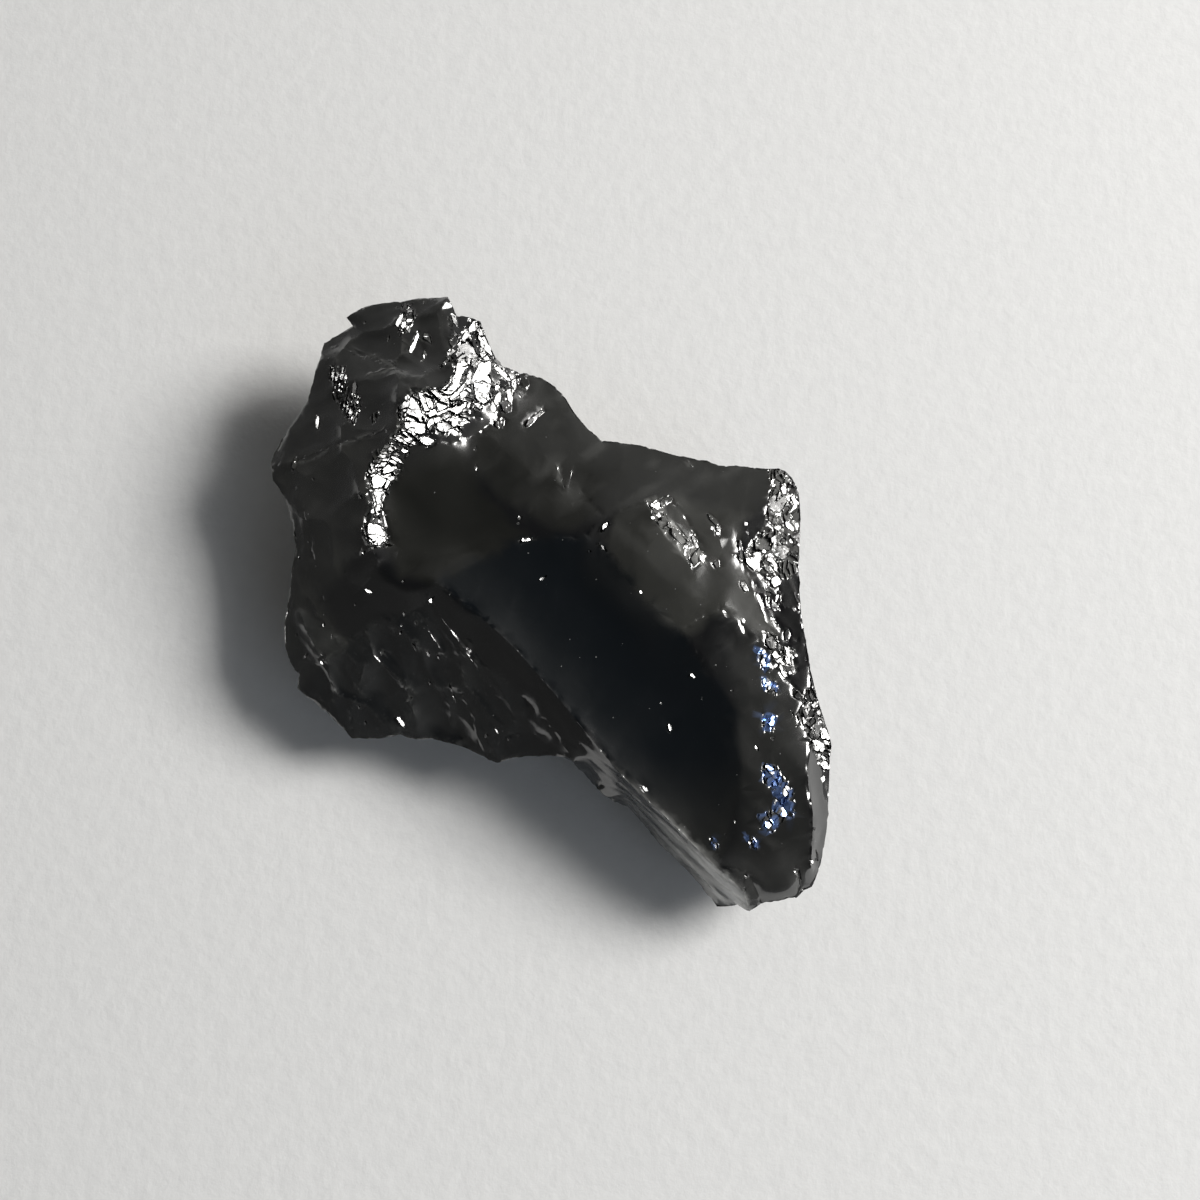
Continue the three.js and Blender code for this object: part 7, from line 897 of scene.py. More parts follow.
def facets(P, size, seed, tilt, bowl, lift=0.3):
    """Lower envelope of tilted shallow bowls, one to a cell: scallops and flat chips that meet in sharp arrises.
    Height is in units of `size`; about zero on average."""
    q = P / size + 500.0
    c = np.floor(q).astype(np.int64)
    best = np.full(len(P), 1e9)
    for dx in (-1, 0, 1):
        for dy in (-1, 0, 1):
            for dz in (-1, 0, 1):
                cell = c + (dx, dy, dz)
                a, b, e, g = hash3(cell, seed)
                t1, t2, t3, _ = hash3(cell, seed + 71)
                r = q - (cell + np.stack([a, b, e], 1) * 0.9 + 0.05)
                v = bowl * (r * r).sum(1) + tilt * (r[:, 0] * (2 * t1 - 1) + r[:, 1] * (2 * t2 - 1) + r[:, 2] * (2 * t3 - 1)) * 1.6 + lift * g
                np.minimum(best, v, out=best)
    return (best - bowl * 0.22 - lift * 0.25 + tilt * 0.15) * size


def plates(P, N, size, seed, spread, lift, turn=0.0, stretch=1.0, lean=None, bright=1.0, grey=0.0, wild=0.35, shy=False):
    """Flat facets with small cliffs between them, one to a cell, as a height in mm. A share `bright` of them faces the
    way `lean` points whatever the slope under them, a share `grey` faces nearly that way, and the rest lie anyhow, or,
    with `shy`, well off it."""
    T = turn_z(P, turn) * (1 / stretch, 1, 1) / size + 300.0
    c = np.floor(T).astype(np.int64)
    best = np.full(len(P), 1e9)
    seat = np.zeros((len(P), 3))
    code = np.zeros((len(P), 3))
    for dx in (-1, 0, 1):
        for dy in (-1, 0, 1):
            for dz in (-1, 0, 1):
                cell = c + (dx, dy, dz)
                a, b, e, _ = hash3(cell, seed)
                at = cell + np.stack([a, b, e], 1) * 0.8 + 0.1
                r2 = ((T - at) ** 2).sum(1)
                m = r2 < best
                best[m] = r2[m]
                seat[m] = at[m]
                code[m] = cell[m]
    t1, t2, t3, t4 = hash3(code.astype(np.int64), seed + 71)
    r = (T - seat) * size * (stretch, 1, 1)
    r = turn_z(r, -turn)
    anyhow = np.stack([2 * t1 - 1, 2 * t2 - 1], 1)
    if lean is None:
        g = spread * anyhow
    else:
        base = -N[:, :2] / np.maximum(N[:, 2:3], 0.35)
        away = -np.array(lean[:2]) / lean[2] - base
        reach = np.linalg.norm(away, axis=1)[:, None]
        away = away * np.minimum(1, 1.3 / np.maximum(reach, 1e-6))
        kind = t4[:, None]
        off = anyhow / (np.linalg.norm(anyhow, axis=1)[:, None] + 1e-9)
        aside = off * (0.21 + 0.10 * t3[:, None])
        rest = away + off * (0.36 + 0.10 * t3[:, None]) if shy else wild * anyhow
        g = np.where(kind < bright, away + spread * anyhow, np.where(kind < bright + grey, away + aside, rest))
    h = g[:, 0] * r[:, 0] + g[:, 1] * r[:, 1]
    return terrace(h, STEP * 0.6) + lift * (2 * t3 - 1)


def terrace(h, cap):
    """Keeps a height within plus or minus cap by breaking it into steps."""
    return (h + cap) % (2 * cap) - cap


def warp(P, size, amount, seed):
    return P + amount * np.stack([noise(P, size, seed), noise(P, size, seed + 11), noise(P, size, seed + 23)], 1)


def turn_z(P, degrees):
    a = math.radians(degrees)
    c, s = math.cos(a), math.sin(a)
    return np.stack([P[:, 0] * c + P[:, 1] * s, -P[:, 0] * s + P[:, 1] * c, P[:, 2]], 1)


# ---------------------------------------------------------------- where things are
def depth_inside(P, poly, margin):
    """Which points lie within `margin` of the outline in plan, and how far inside it each is (negative outside)."""
    x, y = P[:, 0], P[:, 1]
    lo, hi = poly.min(0) - margin, poly.max(0) + margin
    near = np.nonzero((x > lo[0]) & (x < hi[0]) & (y > lo[1]) & (y < hi[1]))[0]
    x, y = x[near], y[near]
    dist = np.full(len(x), 1e9)
    inside = np.zeros(len(x), bool)
    for (x1, y1), (x2, y2) in zip(poly, np.roll(poly, -1, 0)):
        ex, ey = x2 - x1, y2 - y1
        t = np.clip(((x - x1) * ex + (y - y1) * ey) / (ex * ex + ey * ey + 1e-12), 0, 1)
        dist = np.minimum(dist, np.hypot(x - x1 - t * ex, y - y1 - t * ey))
        if y1 != y2:
            inside ^= ((y1 > y) != (y2 > y)) & (x < (x2 - x1) * (y - y1) / (y2 - y1) + x1)
    return near, np.where(inside, dist, -dist)


def area_weight(P, name, soft):
    """1 inside the named outline in plan, 0 outside, blending over `soft` mm across the line."""
    out = np.zeros(len(P))
    near, d = depth_inside(P, np.array(AREAS[name]), soft * 2)
    t = np.clip(d / soft * 0.5 + 0.5, 0, 1)
    out[near] = t * t * (3 - 2 * t)
    return out


def upper(N, at=0.0, soft=0.25):
    return np.clip((N[:, 2] - at) / soft + 0.5, 0, 1)


def weights(P, N):
    """Weight of each kind of surface at each point."""
    up = upper(N)
    ragged = warp(P, 0.9, 0.30, 21) + warp(P, 0.35, 0.12, 31) - P
    tight = warp(P, 0.5, 0.10, 25)
    top = up * np.clip((P[:, 2] - 4.2) / 0.5, 0, 1)  # not on ledges low on the flanks
    w = {k: area_weight(tight if k in SMALL else ragged, k, 0.12 if k in TORN else 0.4) * (top if k in TORN else up) for k in AREAS}
    flat = np.clip(1 - P[:, 2] / 0.25, 0, 1) * (N[:, 2] < -0.5)
    w["under"] = upper(-N, 0.0) * (1 - flat)
    w["flat"] = flat
    w["torn"] = np.clip(sum(w[k] for k in TORN), 0, 1)
    return w


def near_chips(V, N, margin):
    near = np.zeros(len(V), bool)
    for x, y, z, length, direction, width, off in CHIPS:
        near |= (np.hypot(V[:, 0] - x, V[:, 1] - y) < length * 0.55 + margin) & (np.abs(V[:, 2] - z) < 1.5) & (N[:, 2] > 0)
    for off, z, outline in FACES:
        k, d = depth_inside(V, np.array(outline), margin)
        k = k[(d > -margin) & (np.abs(V[k, 2] - z) < 1.5) & (N[k, 2] > 0)]
        near[k] = True
    return near


def turned(off, turn):
    """Slope in x and y of a facet that faces `off` degrees from LEAN, towards `turn`."""
    n = Vector(LEAN).normalized()
    a = n.orthogonal().normalized()
    b = n.cross(a)
    n = n * math.cos(math.radians(off)) + (a * math.cos(turn) + b * math.sin(turn)) * math.sin(math.radians(off))
    return np.array([-n.x / n.z, -n.y / n.z])


def edge_distance(V, points):
    """How far each point is from the nearest of `points`."""
    tree = KDTree(len(points))
    for i, p in enumerate(points.tolist()):
        tree.insert(p, i)
    tree.balance()
    return np.array([tree.find(p)[2] for p in V.tolist()])


def press_ball(V, centre, radius, floor=0.02):
    out = V - centre
    away = np.linalg.norm(out, axis=1)
    hit = (away < radius) & (V[:, 2] > floor)
    V[hit] = centre + out[hit] * (radius / away[hit])[:, None]


def shape():
    V, F = POINTS.astype(float), TRIANGLES
    crease = first_creases()
    pins = corner_pins(V, crease)
    keys = np.array(list(crease.keys()))
    ca, cb, cs = keys[:, 0], keys[:, 1], np.array(list(crease.values()), float)
    for _ in range(ROUNDS):
        V, F, ca, cb, cs = smooth_round(V, F, ca, cb, cs, pins)
    sharp_line = V[np.unique(np.concatenate([ca[cs > 0.7], cb[cs > 0.7]]))]
    for x, y, z, r in SCARS:
        press_ball(V, np.array([x, y, z]), r)
    V[:, 2] = np.maximum(V[:, 2], 0)
    N = normals(V, F)
    w = weights(V, N)
    # finer mesh where the stone is splintered
    V, F = refine_where(V, F, (w["torn"] > 0.02) | near_chips(V, N, 0.35))
    N = normals(V, F)
    V, F = refine_where(V, F, near_chips(V, N, 0.1))
    N = normals(V, F)
    w = weights(V, N)

    crumb = np.clip(sum(w[k] for k in ("band", "tail", "corner_top", "corner", "crack", "cluster", "right_rim", "strip")), 0, 1)
    hack = w["lower_left"] * (1 - crumb)
    rocky = np.clip(w["flank"] + w["cap"], 0, 1) * (1 - crumb) * (1 - hack)
    wall = w["wall"] * (1 - hack)
    glass = np.clip(1 - crumb - hack - rocky - wall - w["under"] - w["flat"], 0, 1)
    d = np.zeros(len(V))
    dz = np.zeros(len(V))
    # where the upper side turns under
    fn = np.cross(V[F[:, 1]] - V[F[:, 0]], V[F[:, 2]] - V[F[:, 0]])
    fz = fn[:, 2] / (np.linalg.norm(fn, axis=1) + 1e-12)
    high, low = np.full(len(V), -1.0), np.full(len(V), 1.0)
    for j in range(3):
        np.maximum.at(high, F[:, j], fz)
        np.minimum.at(low, F[:, j], fz)
    outer = V[(high > 0.02) & (low < -0.02) & (V[:, 2] > 1.3)][::2]
    # steep ground, and ground that falls to the left, is broken less
    gentle = np.clip((N[:, 2] - 0.50) / 0.30, 0.35, 1) * np.clip(1 + (N[:, 0] + 0.28) * 2.0, 0.4, 1)

    # the foot of the wall, fuller at its upper end
    t = np.clip(((V[:, 0] + 0.2) * 0.625 - (V[:, 1] + 7.2) * 0.781) / 3.5, 0, 1)
    foot = np.hypot(V[:, 0] + 0.2 - 2.19 * t, V[:, 1] + 7.2 + 2.73 * t)
    dz += 0.36 * np.exp(-(foot / 0.55) ** 2) * upper(N)

    # broad uneven swells everywhere but the flat
    d += 0.09 * fbm(V, 5.0, 3) * (1 - w["flat"]) * (1 - 0.7 * glass)
    d += 0.02 * fbm(V, 2.2, 9) * (1 - w["flat"])

    # broken, splintery places: leaning plates, coarse and fine
    #      name           size  stretch turn bright grey  lift   fine
    torn = (("band",       0.62, 2.4,   62,  0.34, 0.22, 0.030, 0.26),
            ("tail",       0.42, 2.2,   68,  0.34, 0.22, 0.030, 0.22),
            ("corner_top", 0.55, 1.3,  100,  0.04, 0.36, 0.022, 0.28),
            ("corner",     0.50, 1.8,   20,  0.05, 0.24, 0.020, 0.26),
            ("crack",      0.30, 1.5,   80,  0.08, 0.20, 0.020, 0.18),
            ("cluster",    0.34, 1.5,  -50,  0.18, 0.28, 0.025, 0.20),
            ("right_rim",  0.36, 1.4,  -70,  0.18, 0.28, 0.025, 0.22),
            ("strip",      0.70, 2.2,  -46,  0.00, 0.10, 0.008, 0.34))
    for i, (name, size, stretch, turn, bright, grey, lift, fine) in enumerate(torn):
        on = w[name] > 0.001
        if not on.any():
            continue
        P = warp(V[on], 0.9, 0.14, 40)
        M = N[on]
        h = plates(P, M, size, 50 + i, 0.05, lift, turn, stretch, LEAN, bright, grey, 0.08 if name == "strip" else 0.35, name in ("corner_top", "corner", "right_rim"))
        if name == "band":
            other = plates(P, M, size, 150 + i, 0.05, lift, 113, stretch, LEAN, bright, grey)
            h = np.where(P[:, 0] + 0.4 * noise(P, 1.0, 47) < BAND_TURNS_AT, other, h)
        h += plates(warp(P, 0.4, 0.05, 44), M, fine, 60 + i, 0.03, 0.006, turn + 12, 1.6)
        dz[on] += w[name][on] * h

    # hackly lower left: long splinters fanning down and out
    on = hack > 0.001
    if on.any():
        P = warp(V[on], 2.4, 0.45, 80)
        h = 0.50 * facets(turn_z(P, -58) * (1 / 3.2, 1.0, 1.0), 1.35, 90, 0.3, 0.55)
        h += 0.28 * facets(turn_z(P, -46) * (1 / 2.6, 1.0, 1.0), 0.52, 95, 0.32, 0.55) * np.clip(0.55 + noise(P, 1.8, 97), 0, 1)
        h = h * gentle[on] * (1 - 0.65 * np.exp(-(foot[on] / 1.2) ** 2)) * np.clip(edge_distance(V[on], outer) / 0.9, 0.35, 1) + 0.008 * fbm(V[on], 0.5, 98)
        d[on] += hack[on] * h

    # cap and left flank: broad shallow facets with a few finer ones
    on = rocky > 0.001
    if on.any():
        P = warp(V[on], 2.2, 0.5, 100)
        h = 0.34 * facets(P, 2.3, 101, 0.3, 0.6) + 0.20 * facets(warp(P, 0.8, 0.12, 103), 0.8, 105, 0.33, 0.6) * np.clip(0.45 + noise(P, 2.0, 107), 0, 1)
        h = h * gentle[on] + 0.010 * fbm(V[on], 0.55, 108) * np.clip(0.7 + noise(P, 1.6, 109), 0, 1)
        d[on] += rocky[on] * h

    # steep wall under the spine: long streaks running with it
    on = wall > 0.001
    if on.any():
        P = warp(V[on], 3.0, 0.10, 110)
        Q = turn_z(P, WALL_RUN)
        h = 0.30 * facets(Q * (1 / 14, 1.0, 1.0), 0.62, 111, 0.35, 0.6)
        h += 0.16 * facets(Q * (1 / 9, 1.0, 1.0), 0.26, 113, 0.35, 0.6)
        d[on] += wall[on] * h * (0.25 + 0.75 * np.clip((Q[:, 0] - WALL_PALE_FROM + 3) / 7, 0, 1))

    # flanks and underside: large scallops with smaller ones over them
    on = w["under"] > 0.001
    if on.any():
        P = warp(V[on], 2.5, 0.5, 120)
        h = 0.60 * facets(P, 3.2, 130, 0.34, 0.6) + 0.34 * facets(warp(P, 1.0, 0.15, 123), 1.3, 140, 0.34, 0.6)
        h += 0.16 * facets(P, 0.5, 145, 0.34, 0.6) * np.clip(0.5 + noise(P, 2.4, 147), 0, 1)
        # less of it close to the outline, which stays where it is
        d[on] += w["under"][on] * h * np.clip(edge_distance(V[on], outer) / 1.4, 0.12, 1)

    # glassy hollows: very faint ribs fanning from where each flake was struck
    def ribs(cx, cy, wave, seed):
        r = np.hypot(V[:, 0] - cx, V[:, 1] - cy) + 0.5 * noise(V, 4.0, seed)
        t = r / wave
        t = t - np.floor(t)
        return (t ** 1.6 - 0.5) * (0.4 + 0.6 * np.clip(noise(V, 3.0, seed + 5) + 0.4, 0, 1))
    d += w["hollow_a"] * 0.008 * ribs(-9.0, 12.0, 1.7, 150)
    d += w["hollow_b"] * 0.006 * ribs(-8.0, 2.0, 2.3, 155)
    d += w["upper_right"] * 0.010 * ribs(-4.0, 9.0, 1.5, 160)
    d += w["lower_right"] * 0.010 * ribs(6.0, 4.0, 1.3, 165)
    d += glass * (1 - w["hollow_a"] - w["hollow_b"]) * 0.04 * facets(warp(V, 2.0, 0.4, 170), 1.9, 175, 0.3, 0.5)

    # glittering spots
    for k, size, bright, grey, lean in (("blue_patch", 0.34, 0.02, 0.66, LEAN_BLUE), ("blue_b", 0.26, 0.08, 0.5, LEAN_BLUE), ("blue_c", 0.26, 0.06, 0.5, LEAN_BLUE),
                                        ("blue_d", 0.28, 0.2, 0.4, LEAN_BLUE), ("blue_e", 0.28, 0.12, 0.5, LEAN_BLUE), ("blue_f", 0.24, 0.08, 0.5, LEAN_BLUE),
                                        ("glitter_a", 0.34, 0.35, 0.3, LEAN), ("glitter_b", 0.30, 0.4, 0.3, LEAN)):
        on = w[k] > 0.001
        if on.any():
            P = warp(V[on], 0.6, 0.1, 180)
            dz[on] += w[k][on] * plates(P, N[on], size, 185 + len(k), 0.06, 0.025, 55, 1.6, lean, bright, grey)

    # small flakes gone along the sharp edges, and an uneven outline
    nick = np.exp(-(edge_distance(V, sharp_line) / 0.16) ** 2)
    d -= 0.09 * nick * np.clip(noise(V, 0.55, 200) - 0.15, 0, 1) * (1 - w["flat"])
    d -= 0.05 * nick * np.clip(noise(V, 0.22, 205), 0, 1) * (1 - w["flat"])
    brink = np.clip(1 - np.abs(N[:, 2]) / 0.45, 0, 1) * (1 - w["flat"])
    d += 0.05 * brink * noise(V, 0.5, 210) * np.clip(0.5 + noise(V, 4.0, 212), 0.1, 1) + 0.03 * brink * noise(V, 0.22, 215)

    d *= 1 - w["flat"]
    V = V + N * d[:, None]
    V[:, 2] += dz * (1 - w["flat"])
    # the larger torn facets, each flat, with a ragged edge and a shallow moat
    rag = warp(V, 0.45, 0.05, 240) + warp(V, 0.18, 0.025, 245) - V
    sunk = np.full(len(V), -9.0)
    work = V[:, 2].copy()
    pit = 0.018 * np.clip(noise(V, 0.16, 250) - 0.35, 0, 1) * 2
    for i, (off, z, outline) in enumerate(FACES):
        k, e = depth_inside(rag, np.array(outline), 0.2)
        ok = (np.abs(V[k, 2] - z) < 1.3) & (N[k, 2] > 0)
        k, e = k[ok], e[ok]
        sunk[k] = np.maximum(sunk[k], e)
        k, e = k[e > -0.02], e[e > -0.02]
        if len(k) < 4:
            continue
        rel = V[k, :2] - np.mean(outline, axis=0)
        plane = np.median(V[k, 2]) + 0.05 + rel @ turned(off, i * 2.4)
        move = terrace(plane - V[k, 2], STEP) - pit[k]
        work[k] = V[k, 2] + move * np.clip(e / 0.03 + 0.7, 0, 1)
    moat = np.clip(1 - np.abs(sunk + 0.07) / 0.06, 0, 1) * (sunk < 0)
    V[:, 2] = work - 0.022 * moat * (1 - w["flat"])
    # little chips struck out of the upper faces, each left as one or two leaning facets, and thin raised ridges
    wob = noise(V, 0.28, 190)
    wob2 = noise(V, 0.5, 195)
    wob3 = noise(V, 0.17, 197)
    for i, (x, y, z, length, direction, width, off) in enumerate(CHIPS):
        a = math.radians(direction)
        ax = np.array([math.cos(a), math.sin(a)])
        rel = V[:, :2] - (x, y)
        near = (np.abs(rel) < length + 0.3).all(1) & (np.abs(V[:, 2] - z) < 1.3) & (N[:, 2] > 0)
        if not near.any():
            continue
        k = np.nonzero(near)[0]
        along, across = rel[k] @ ax, rel[k] @ np.array([-ax[1], ax[0]])
        if off < 0:
            across = across + 0.10 * np.sin(along * 1.7 + i) + 0.12 * wob2[k]
            V[k, 2] += 0.24 * width * np.clip(1 - np.abs(across) / 0.11, 0, 1) * np.clip((1 - np.abs(along) / (length * 0.5)) * 3, 0, 1) * (0.6 + 0.6 * wob[k])
            continue
        e = (np.abs(along) / (length * 0.45)) ** 1.3 + (np.abs(across) / (width * 0.41)) ** 1.3 + 0.45 * wob3[k]
        k, e = k[e < 1], e[e < 1]
        if not len(k):
            continue
        level = np.median(V[k, 2])
        turn = i * 2.4
        side = rel[k] @ np.array([math.cos(turn), math.sin(turn)]) + 0.25 * wob2[k] > 0.08 * length
        tilt = np.where(side[:, None], turned(off + 5, turn), turned(off, turn + 2))
        plane = level - 0.02 + (rel[k] * tilt).sum(1)
        V[k, 2] += np.clip(plane - V[k, 2], -0.16, 0.09) * np.clip((1 - e) * 6, 0, 1)
    V[:, 2] = np.maximum(V[:, 2], 0)
    return V, F


V, F = shape()
mesh = bpy.data.meshes.new("nugget")
mesh.from_pydata((V * MM).tolist(), [], F.tolist())
mesh.update()
stone = bpy.data.objects.new("nugget_stone", mesh)
bpy.context.scene.collection.objects.link(stone)
if len(mesh.polygons) > FACE_BUDGET:
    slim = stone.modifiers.new("slim", "DECIMATE")
    slim.ratio = FACE_BUDGET / len(mesh.polygons)
    deps = bpy.context.evaluated_depsgraph_get()
    less = bpy.data.meshes.new_from_object(stone.evaluated_get(deps))
    stone.modifiers.clear()
    stone.data = less
    bpy.data.meshes.remove(mesh)
    mesh = less
mesh.name = "nugget_stone"
for p in mesh.polygons:
    p.use_smooth = True


def crisp_edges():
    """Marks the arrises. The torn places break at a slighter angle than the glassy ones."""
    n, m = len(mesh.vertices), len(mesh.polygons)
    P, M, Q = np.empty(n * 3), np.empty(n * 3), np.empty(m * 3)
    mesh.vertices.foreach_get("co", P)
    mesh.vertex_normals.foreach_get("vector", M)
    mesh.polygon_normals.foreach_get("vector", Q)
    P, M, Q = P.reshape(-1, 3) / MM, M.reshape(-1, 3), Q.reshape(-1, 3)
    w = weights(P, M)
    limit = np.full(n, 32.0)
    stony = np.clip(w["under"] + w["cap"] + w["flank"] + w["lower_left"] + w["wall"], 0, 1)
    limit = limit * (1 - stony) + 19.0 * stony
    near = near_chips(P, M, 0.02)
    torn = np.maximum(w["torn"], near)
    limit = limit * (1 - torn) + 10.0 * torn
    at = np.empty(m * 3, np.int64)
    mesh.loops.foreach_get("edge_index", at)
    face = np.repeat(np.arange(m), 3)
    order = np.argsort(at, kind="stable")
    at, face = at[order], face[order]
    ends = np.empty(len(mesh.edges) * 2, np.int64)
    mesh.edges.foreach_get("vertices", ends)
    ends = ends.reshape(-1, 2)
    sharp = np.zeros(len(mesh.edges), bool)
    pair = np.nonzero(at[1:] == at[:-1])[0]
    turn = np.degrees(np.arccos(np.clip((Q[face[pair]] * Q[face[pair + 1]]).sum(1), -1, 1)))
    e = at[pair]
    sharp[e] = turn > limit[ends[e]].mean(1)
    a = mesh.attributes.get("sharp_edge") or mesh.attributes.new("sharp_edge", "BOOLEAN", "EDGE")
    a.data.foreach_set("value", sharp)


crisp_edges()


# ---------------------------------------------------------------- material
def node(tree, kind, at, **values):
    n = tree.nodes.new(kind)
    n.location = at
    for k, v in values.items():
        if hasattr(n, k):
            setattr(n, k, v)
        else:
            n.inputs[k.replace("_", " ")].default_value = v
    return n


def surface_marks():
    """Weights kept on the mesh: how splintered the stone is, where it is blue, and where painted light goes: bluish and
    warm olive painted reflection tints, a painted paler sheen, and painted pale reflection streaks with painted
    highlights on arrises and ridges.
    """
    co = np.empty(len(mesh.vertices) * 3)
    mesh.vertices.foreach_get("co", co)
    P = co.reshape(-1, 3) / MM
    no = np.empty(len(mesh.vertices) * 3)
    mesh.vertex_normals.foreach_get("vector", no)
    N = no.reshape(-1, 3)
    w = weights(P, N)
    rough = np.clip(0.5 * w["torn"] + 0.7 * w["lower_left"] + 0.4 * (w["cap"] + w["flank"]) + 0.5 * w["under"] + w["flat"], 0, 1)
    speck = np.clip(noise(P, 0.30, 301) * 2.6 + 0.55, 0, 1)
    gem = np.clip(w["blue_patch"] + w["blue_b"] + w["blue_c"] + w["blue_d"] + w["blue_e"] + w["blue_f"], 0, 1) * speck
    low_end = np.clip((-9.5 - P[:, 1]) / 6, 0, 1)
    # painted reflection tint: a bluish, slightly darker cast in the lower hollow, the lower left and the lower right
    painted_blue_reflection = np.clip(0.8 * w["hollow_b"] * (1 - low_end) + 0.4 * w["lower_left"] + 0.1 * w["lower_right"], 0, 1)
    # painted reflection tint: a warm olive cast in the upper hollow, the upper right and the knob
    painted_warm_reflection = np.clip(w["hollow_a"] + 0.8 * w["upper_right"] + 0.6 * w["knob"], 0, 1)
    # painted pale reflection streaks along the wall, where it mirrors the lit floor, growing towards its lower end
    along = turn_z(P, WALL_RUN)
    painted_pale_reflection = np.clip(noise(along * (1 / 12, 1, 1), 0.32, 311) * 1.6 + 0.4, 0, 1)
    painted_pale_reflection = np.clip(painted_pale_reflection + 0.45 * np.clip((along[:, 0] - WALL_PALE_FROM - 5) / 5, 0, 1), 0, 1)
    painted_pale_reflection = w["wall"] * painted_pale_reflection * np.clip((along[:, 0] - WALL_PALE_FROM - 2.5) / 6, 0, 1)
    # painted pale reflection on the strip, the ledge and the corners: the light grey of facets catching the light
    grey = np.clip(0.35 + 1.6 * noise(P, 0.55, 331), 0, 1)
    painted_pale_reflection += 0.19 * w["strip"] * (0.5 + grey) + 0.06 * w["ledge"] + (0.11 * w["corner_top"] + 0.09 * w["corner"] + 0.06 * w["cluster"]) * grey
    painted_pale_reflection = np.clip(painted_pale_reflection, 0, 1)
    # painted sheen: a paler grey painted where facets stand for brighter surroundings (knob, hollows, ledge, strip,
    # cap, upper right, flank, lower left, right edge, corners, lower end of the lower hollow)
    patchy = np.clip(0.4 + 0.9 * noise(P, 2.2, 321), 0, 1)
    # sweep lays faint painted sheen streaks across the smooth places
    sweep = noise(turn_z(P, -46) * (1 / 5, 1, 1), 0.9, 341)  # faint pale streaks across the smooth places
    painted_sheen = w["knob"] * (1.05 + 0.30 * sweep) + 0.22 * w["hollow_a"] * np.clip(0.3 + sweep, 0, 1) + 0.10 * w["hollow_b"] * np.clip(sweep - 0.1, 0, 1) + w["ledge"] * 1.3 + 0.6 * w["strip"] + 0.35 * w["cap"] + w["upper_right"] * (0.16 + 0.22 * np.clip(noise(turn_z(P, 40) * (1 / 4, 1, 1), 0.8, 343) + 0.1, 0, 1)) + 0.84 * w["flank"] * (0.6 + 0.8 * patchy)
    painted_sheen += 0.40 * w["lower_left"] * patchy + 0.46 * w["lower_right"] * np.clip((P[:, 0] - 10.7) / 1.5, 0, 1)
    painted_sheen += 0.8 * w["corner_top"] + 0.7 * w["corner"] + 0.4 * (w["cluster"] + w["right_rim"] + w["crack"])
    painted_sheen += 0.75 * w["hollow_b"] * low_end
    # painted highlights: the arrises get a paler grey, and so do the thin raised ridges
    ends = np.empty(len(mesh.edges) * 2, np.int64)
    mesh.edges.foreach_get("vertices", ends)
    a, b = ends.reshape(-1, 2).T
    count = np.bincount(ends, minlength=len(P))
    apart = np.linalg.norm(P[a] - P[b], axis=1)
    apart = (np.bincount(a, weights=apart, minlength=len(P)) + np.bincount(b, weights=apart, minlength=len(P))) / count
    around = np.stack([np.bincount(a, weights=P[b, k], minlength=len(P)) + np.bincount(b, weights=P[a, k], minlength=len(P)) for k in range(3)], 1) / count[:, None]
    convex = ((P - around) * N).sum(1) / apart
    stony = np.clip(w["cap"] + w["flank"] + w["lower_left"] + w["wall"] + w["under"], 0, 1) * (1 - w["torn"])
    ridge_highlight = np.zeros(len(P))
    arris_highlight = np.clip((convex - 0.06) * 7, 0, 1) * stony * np.clip(0.6 + noise(P, 1.1, 351), 0, 1)
    for x, y, z, length, direction, width, off in CHIPS:
        if off < 0:
            ax = np.array([math.cos(math.radians(direction)), math.sin(math.radians(direction))])
            near = np.nonzero((np.abs(P[:, :2] - (x, y)) < length).all(1) & (np.abs(P[:, 2] - z) < 1.3) & (N[:, 2] > 0))[0]
            rel = P[near, :2] - (x, y)
            along_it, across_it = rel @ ax, rel @ np.array([-ax[1], ax[0]])
            across_it = across_it + 0.10 * np.sin(along_it * 1.7 + 2) + 0.10 * noise(P[near], 0.9, 355)
            ridge_highlight[near] = np.maximum(ridge_highlight[near], np.exp(-(across_it / 0.10) ** 2) * np.clip(2 - np.abs(along_it) / (length * 0.28), 0, 1) * np.clip(0.45 + 1.2 * noise(P[near], 0.7, 353), 0, 1))
    painted_sheen += 0.75 * arris_highlight
    painted_sheen = np.clip(painted_sheen, 0, 1)
    # faint soft streaks of painted reflection over the knob, the upper right, the lower right and the flank
    soft = np.clip(noise(turn_z(P, -46) * (1 / 5, 1, 1), 0.6, 345) * 1.8 - 0.15, 0, 1)
    soft2 = np.clip(noise(turn_z(P, 38) * (1 / 4, 1, 1), 0.7, 347) * 1.8 - 0.15, 0, 1)
    painted_pale_reflection += 0.035 * w["knob"] * soft + 0.040 * w["upper_right"] * soft2 + 0.025 * w["lower_right"] * soft + 0.02 * w["flank"] * soft2
    painted_pale_reflection = np.clip(painted_pale_reflection + 0.05 * arris_highlight + 0.20 * ridge_highlight, 0, 1)
    for name, val in (("splintered", rough), ("gem", gem), ("painted_blue_reflection", painted_blue_reflection), ("painted_warm_reflection", painted_warm_reflection), ("painted_sheen", painted_sheen), ("painted_pale_reflection", painted_pale_reflection)):
        a = mesh.attributes.new(name, "FLOAT", "POINT")
        a.data.foreach_set("value", val.astype(np.float32))


surface_marks()

